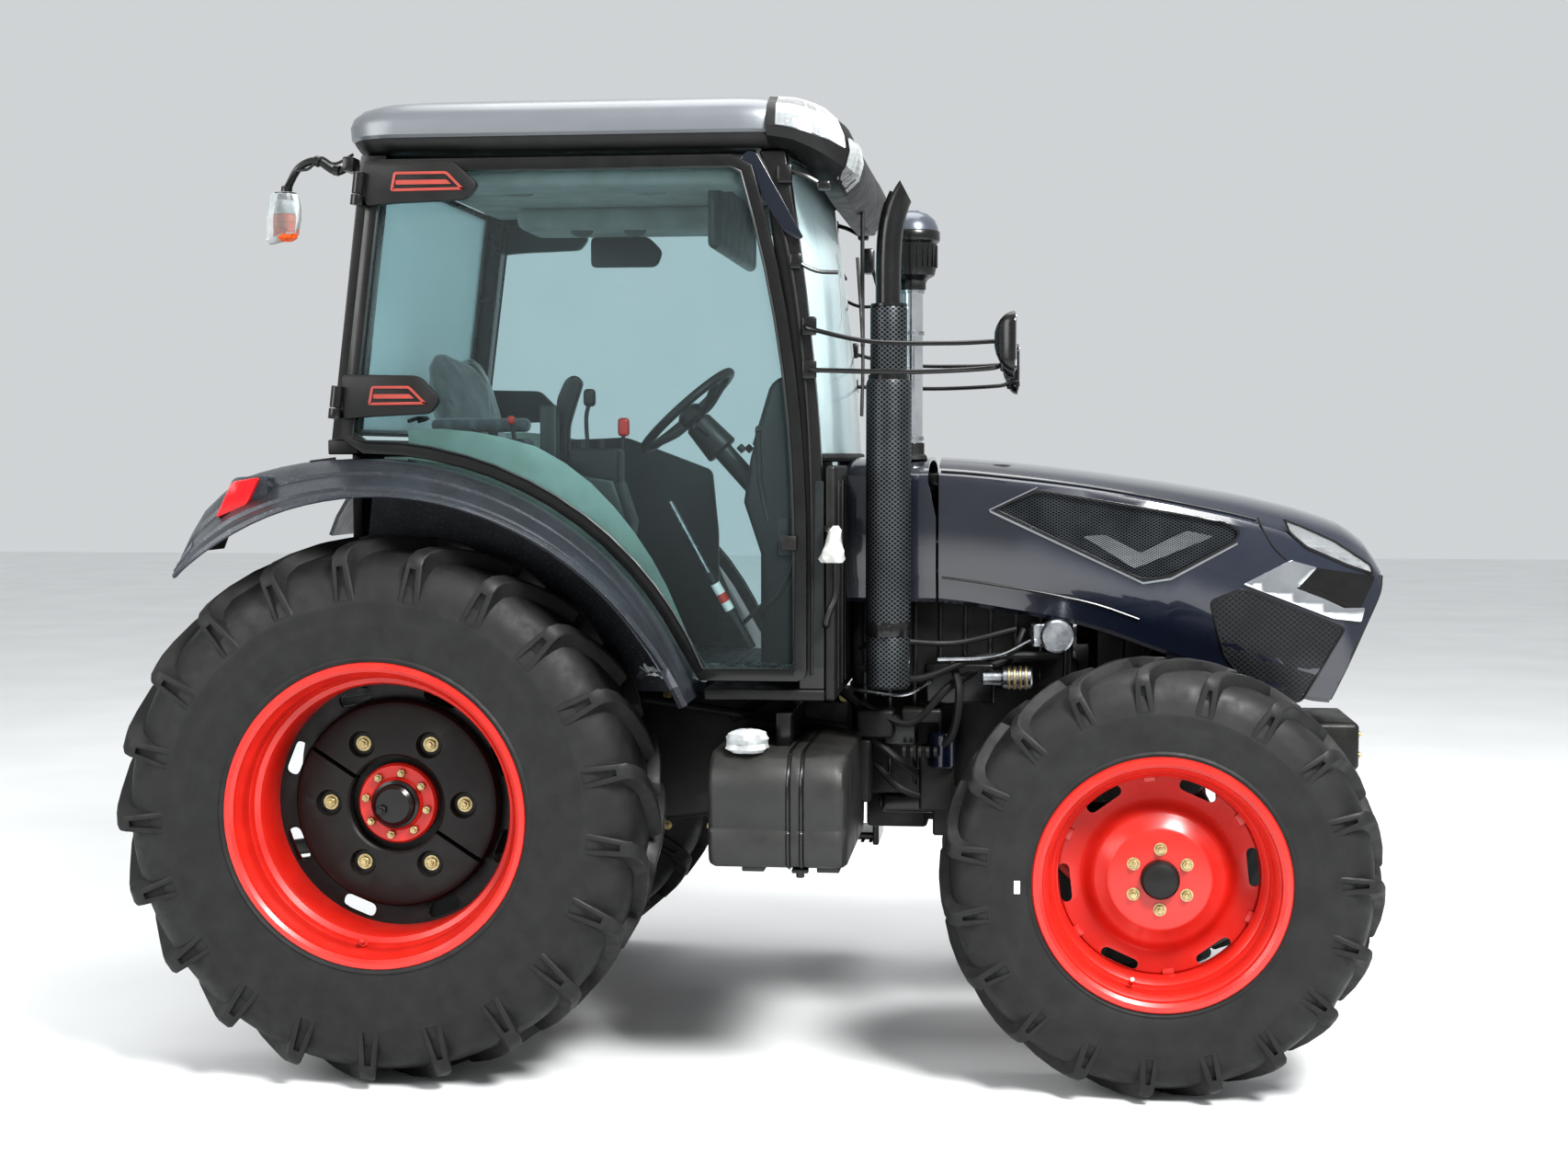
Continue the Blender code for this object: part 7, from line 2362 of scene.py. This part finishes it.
@dataclass
class Driveline(Assembly):
    """Castings, engine with its fittings, axle, steering and hitch."""

    castings: tuple = (("engine_block", 0.006), ("gearbox_housing", 0.01),
        ("rear_axle_housing", 0.008), ("front_support", 0.008), ("weight_bracket", 0.008),
        ("front_axle", 0.008), ("drive_shaft_guard", 0.004), ("drawbar", 0.006))

    def build(self) -> None:
        """Models the running gear."""
        for node, rounding in self.castings:
            self.put(self.frame.softened(node, rounding, 3), node + "_casting", CASTING,
                "black_casting", [node])
        for node, body, rounding, finish, slot in (("knuckle_{}", "knuckle_{}", 0.006, CASTING,
                "black_casting"), ("lower_link_{}", "lower_links", 0.004, BLACK, "black_casting"),
                ("lift_rod_{}", "lift_rods", 0.004, BLACK, "black_casting"),
                ("lift_arms", "lift_arms", 0.006, BLACK, "black_casting"),
                ("steering_rod", "steering_rod", 0.003, STEEL, "bright_steel")):
            for word in ("left", "right") if "{}" in node else ("",):
                name = node.format(word)
                piece = self.frame.softened(name, rounding, 3)
                piece.name = name + "_forged"
                self.frame.deliver(piece, body.format(word), finish, slot, [name])
        self.engine()
        self.pipes()
        self.bolts()
        self.rear()

    def engine(self) -> None:
        """Ribs, rocker cover, filters, alternator, starter, fan and radiator."""
        dark = [rounded_block("cover", (1.26, -0.13, 1.358), (1.8, 0.13, 1.44), 0.02, 4),
            rounded_block("pump", (1.42, -0.315, 0.98), (1.62, -0.238, 1.1), 0.012, 4),
            rounded_block("pump", (1.3, -0.3, 0.86), (1.4, -0.238, 0.95), 0.01, 4),
            rounded_block("sump", (1.28, -0.15, 0.64), (1.8, 0.15, 0.702), 0.02, 4),
            rounded_block("tray", (1.62, 0.24, 1.1), (1.84, 0.34, 1.24), 0.01, 3)]
        for n in range(9):
            x = 1.24 + n * 0.072
            foot = 0.74 if x < 1.5 else 1.05
            dark.append(rounded_block("rib", (x, -0.25, foot), (x + 0.012, -0.238, 1.34), 0.003))
            dark.append(rounded_block("rib", (x, 0.238, foot), (x + 0.012, 0.25, 1.34), 0.003))
        for n in range(4):
            x = 1.3 + n * 0.13
            dark.append(pipe("runner", [(x, 0.1, 1.4), (x, 0.22, 1.42), (x, 0.28, 1.34)], 0.022, 4,
                3))
            dark.append(rod("injector", (x, -0.09, 1.43), (x, -0.09, 1.475), 0.012, 20))
        dark.append(pipe("manifold", [(1.28, 0.28, 1.33), (1.72, 0.28, 1.33)], 0.03, 1, 3))
        self.put(dark, "engine_fittings", BLACK, "black_casting")
        silver = [lathe("filter", [(0.0, -0.41), (0.04, -0.41), (0.046, -0.404), (0.046, -0.3),
            (0.0, -0.3)], (1.792, 0.0, 1.185), Axis.Y, 40, False),
            rod("solenoid", (1.64, -0.335, 1.062), (1.725, -0.335, 1.062), 0.032, 28, None, 0.004),
            rod("can", (1.585, -0.345, 1.062), (1.64, -0.345, 1.062), 0.022, 24, None, 0.003),
            rod("can", (1.742, -0.33, 1.15), (1.742, -0.33, 1.215), 0.028, 28, None, 0.003)]
        self.put(silver, "engine_filters", STEEL, "bright_steel")
        rings = [lathe("ring", [(0.0325, 1.655 + 0.016 * n), (0.0345, 1.657 + 0.016 * n),
            (0.0345, 1.662 + 0.016 * n), (0.0325, 1.664 + 0.016 * n)], (0.0, -0.335, 1.062), Axis.X,
            32, True) for n in range(4)]
        self.put(rings, "engine_filter_rings", ZINC, "bright_steel")
        blue = [rod("filter", (1.47, -0.3, 0.8), (1.47, -0.3, 0.9), 0.04, 36, None, 0.006)]
        self.put(blue, "oil_filter", BLUE, "navy_paint")
        fan = [rod("shaft", (1.855, 0, 1.16), (1.92, 0, 1.16), 0.03, 24)]
        for n in range(7):
            turn = math.tau * n / 7
            way, side = Vector((0, math.cos(turn), math.sin(turn))), Vector((0, -math.sin(turn),
                math.cos(turn)))
            corners = []
            for out, half, tilt in ((0.03, 0.02, 0.006), (0.17, 0.045, 0.012)):
                for s in (-1, 1):
                    spot = Vector((1.9, 0, 1.16)) + way * out + side * half * s + Vector((tilt * s,
                        0, 0))
                    corners.append(tuple(spot))
            blade = loft("blade", [corners[:2], corners[2:]])
            apply_modifier(blade, "SOLIDIFY", thickness=0.003, offset=0.0)
            fan.append(blade)
        self.put(fan, "engine_fan", PLASTIC, "black_trim")
        core = rounded_block("core", (1.985, -0.205, 1.015), (2.045, 0.205, 1.36), 0.008)
        cowl = side_frame("shroud", [(-0.215, 0.995), (0.215, 0.995), (0.215, 1.375),
            (-0.215, 1.375)], 0.0, 0.07, 0.02, 0.01, 0.004)
        cowl.data.transform(Matrix.Translation((1.98, 0, 0)) @ Matrix.Rotation(math.pi / 2, 4, "Z"))
        hoses = [pipe("hose", [(1.99, 0.1, 1.34), (1.93, 0.12, 1.37), (1.84, 0.08, 1.41),
            (1.78, 0.0, 1.4)], 0.02, 6, 3), pipe("hose",
            [(1.99, -0.12, 1.04), (1.92, -0.18, 1.02), (1.86, -0.22, 0.99)], 0.02, 6, 3)]
        self.put([core, cowl, *hoses], "radiator", PLASTIC, "black_trim")

    def pipes(self) -> None:
        """Hoses, hydraulic pipes, the silver tube and the ribbed connector."""
        hoses = [pipe("hose", points, radius, 8, 2) for points, radius in (([(1.24, -0.3, 0.98), (
            1.38, -0.34, 0.93), (1.5, -0.33, 1.04), (1.64, -0.28, 1.1), (1.8, -0.26, 1.12)], 0.011),
            ([(1.23, -0.34, 1.09), (1.4, -0.37, 1.06), (1.58, -0.36, 1.12), (1.8, -0.36, 1.13)],
            0.01), ([(1.5, -0.32, 1.1), (1.52, -0.37, 1.02), (1.5, -0.35, 0.9), (1.44, -0.3, 0.84)],
            0.012), ([(1.7, -0.33, 1.2), (1.68, -0.34, 1.15), (1.66, -0.29, 1.09), (1.7, -0.26,
            1.05)], 0.009), ([(0.6, -0.24, 0.98), (0.9, -0.26, 0.94), (1.22, -0.29, 0.9), (1.38,
            -0.29, 0.79), (1.5, -0.2, 0.72)], 0.012), ([(1.28, -0.26, 0.8), (1.35, -0.31, 0.74),
            (1.43, -0.27, 0.71), (1.5, -0.18, 0.72)], 0.01), ([(1.24, -0.36, 1.14), (1.3, -0.4,
            1.17), (1.5, -0.36, 1.16), (1.68, -0.34, 1.2)], 0.008), ([(0.85, -0.22, 0.92),
            (1.0, -0.2, 1.0), (1.15, -0.24, 1.02), (1.24, -0.26, 0.96)], 0.014))]
        blocks = [rounded_block("valve", (1.225, -0.335, 0.885), (1.335, -0.245, 0.965), 0.01, 3),
            rounded_block("valve", (1.355, -0.345, 0.93), (1.47, -0.25, 0.97), 0.008, 3),
            rounded_block("mount", (1.405, -0.3, 0.672), (1.505, -0.24, 0.86), 0.01, 3),
            rounded_block("mount", (1.44, -0.2, 0.585), (1.5, -0.14, 0.7), 0.008, 3),
            rounded_block("bracket", (1.22, -0.335, 0.7), (1.27, -0.245, 0.88), 0.01, 3)]
        for n in range(5):
            blocks.append(rod("boss", (1.36 + 0.022 * n, -0.356, 0.85),
                (1.372 + 0.022 * n, -0.356, 0.85), 0.02 - 0.001 * n, 20))
        self.put(hoses, "engine_hoses", RUBBER, "black_trim")
        self.put(blocks, "hydraulic_valves", CASTING, "black_casting")
        tube = [pipe("tube", [(1.46, -0.37, 1.115), (1.62, -0.38, 1.125), (1.72, -0.37, 1.17)],
            0.006, 6, 2), pipe("tube",
            [(1.22, -0.31, 1.02), (1.36, -0.34, 1.01), (1.44, -0.34, 1.05)], 0.006, 6, 2)]
        self.put(tube, "steel_pipes", STEEL, "bright_steel")

    def bolts(self) -> None:
        """Bolts on castings and flanges."""
        bolts = []
        for x in (0.27, 0.4, 0.53, 0.66, 0.79, 0.92, 1.05, 1.18):
            for z in (0.985, 0.6):
                bolts.append(hex_bolt((x, -0.19, z), (0, -1, 0), 0.017, 0.01, 0.013))
                bolts.append(hex_bolt((x, 0.19, z), (0, 1, 0), 0.017, 0.01, 0.013))
        for x in (1.9, 2.0, 2.12, 2.24, 2.36):
            for s in (-1, 1):
                bolts.append(hex_bolt((x, s * 0.17, 0.96 if x < 2.3 else 0.93), (0, s, 0), 0.019,
                    0.012, 0.015))
        for s in (-1, 1):
            for y in (-0.13, 0.0, 0.13):
                bolts.append(hex_bolt((2.65, y, 0.86 + 0.03 * s), (1, 0, 0), 0.019, 0.01, 0.014))
            for n in range(8):
                turn = math.tau * n / 8
                bolts.append(hex_bolt((0.15 * math.cos(turn), s * 0.66,
                    REAR_AXLE_Z + 0.15 * math.sin(turn)), (0, s, 0), 0.018, 0.01, 0.013))
        self.put(bolts, "casting_bolts", ZINC, "black_casting")

    def rear(self) -> None:
        """Power take-off stub and shield, couplings and the top link bracket."""
        parts = [lathe("stub", [(0.0, -0.455), (0.0175, -0.455), (0.0175, -0.375), (0.0, -0.375)],
            (0.0, 0.0, 0.62), Axis.X, 24, False)]
        for n in range(6):
            turn = math.tau * n / 6
            parts.append(rod("spline", (-0.455, 0.018 * math.cos(turn), 0.62 + 0.018 * math.sin(
                turn)), (-0.39, 0.018 * math.cos(turn), 0.62 + 0.018 * math.sin(turn)), 0.0035, 12))
        self.put(parts, "power_take_off_stub", STEEL, "bright_steel")
        shield = [side_plate("cheek", ((-0.47, 0.7), (-0.375, 0.72), (-0.375, 0.6), (-0.4, 0.6)),
            s * 0.075 - 0.003, 0.006, 0.006, 0.001) for s in (-1, 1)]
        shield.append(rounded_block("top", (-0.47, -0.078, 0.7), (-0.375, 0.078, 0.708), 0.003))
        for s in (-1, 1):
            shield.append(rounded_block("top_link", (-0.435, s * 0.035 - 0.006, 0.8),
                (-0.375, s * 0.035 + 0.006, 0.87), 0.006))
            for n in range(2):
                y = s * (0.13 + 0.045 * n)
                shield.append(rod("coupler", (-0.42, y, 0.8), (-0.375, y, 0.8), 0.016, 24, None,
                    0.003))
        self.put(shield, "rear_fittings", BLACK, "black_trim")


ASSEMBLIES = (RearWheels, FrontWheels, Hood, Fenders, Doors, CabShell, Seat, Controls, Exhaust,
    CabOutfit, FuelTank, Driveline)


# ---------------------------------------------------------------- stage

@dataclass
class Stage:
    """The pale floor, the studio light and the camera at the tractor's right-hand side."""

    camera_at: Point = (0.759, -6.561, 1.691)
    turn: float = 0.111
    tip: float = 0.0606
    film_mm: float = 36.0
    lens_mm: float = 50.64478311840563

    def build(self) -> None:
        """Sets floor, world, lights and camera."""
        self.floor()
        self.light()
        self.camera()

    def floor(self) -> None:
        """One flat pale sheet."""
        deselect_all()
        bpy.ops.mesh.primitive_plane_add(size=60.0, location=(0.0, 0.0, -0.001))
        floor = bpy.context.object
        floor.name = "floor"
        bpy.ops.object.transform_apply(location=True, rotation=False, scale=True)
        pale = Finish("pale_floor", "#f1f2f2", "#ebecec", 0.75, patch_mm=900, grain_mm=30,
            grain_depth=0.0001)
        floor.data.materials.append(pale.material())
        floor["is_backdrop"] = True

    def light(self) -> None:
        """A bright even sky with a large soft key from the upper right and a low fill."""
        bpy.context.scene.view_settings.view_transform = "Standard"
        bpy.context.scene.view_settings.look = "Medium High Contrast"
        world = bpy.data.worlds.new("studio")
        bpy.context.scene.world = world
        world.use_nodes = True
        world.node_tree.nodes["Background"].inputs["Color"].default_value = tone("#eef1f3")
        world.node_tree.nodes["Background"].inputs["Strength"].default_value = 0.64
        for name, place, aim, size, power in (("key", (3.5, -5.0, 6.5), (0.0, 0.0, 1.0), 2.2,
                950.0), ("rear_fill", (-5.0, -4.5, 3.5), (-0.4, 0.0, 1.0), 3.5, 190.0),
                ("top", (0.0, 1.0, 7.5), (0.0, 0.0, 1.0), 5.0, 260.0)):
            deselect_all()
            bpy.ops.object.light_add(type="AREA", location=place)
            lamp = bpy.context.object
            lamp.name = name
            lamp.data.size = size
            lamp.data.energy = power
            way = Vector(aim) - Vector(place)
            lamp.rotation_euler = way.to_track_quat("-Z", "Y").to_euler()

    def camera(self) -> None:
        """The camera, level with the cab's middle and a little ahead of it."""
        deselect_all()
        bpy.ops.object.camera_add(location=self.camera_at,
            rotation=Euler((math.pi / 2 - self.tip, 0.0, self.turn)))
        eye = bpy.context.object
        eye.data.sensor_width = self.film_mm
        eye.data.lens = self.lens_mm
        eye.data.clip_end = 200.0
        bpy.context.scene.camera = eye


def main() -> None:
    """Builds every sub-assembly in order, then the stage."""
    logging.basicConfig(level=logging.INFO, format="%(name)s %(message)s")
    frame = Frame()
    for assembly in ASSEMBLIES:
        assembly(frame).build()
    Stage().build()


if __name__ == "__main__":
    main()
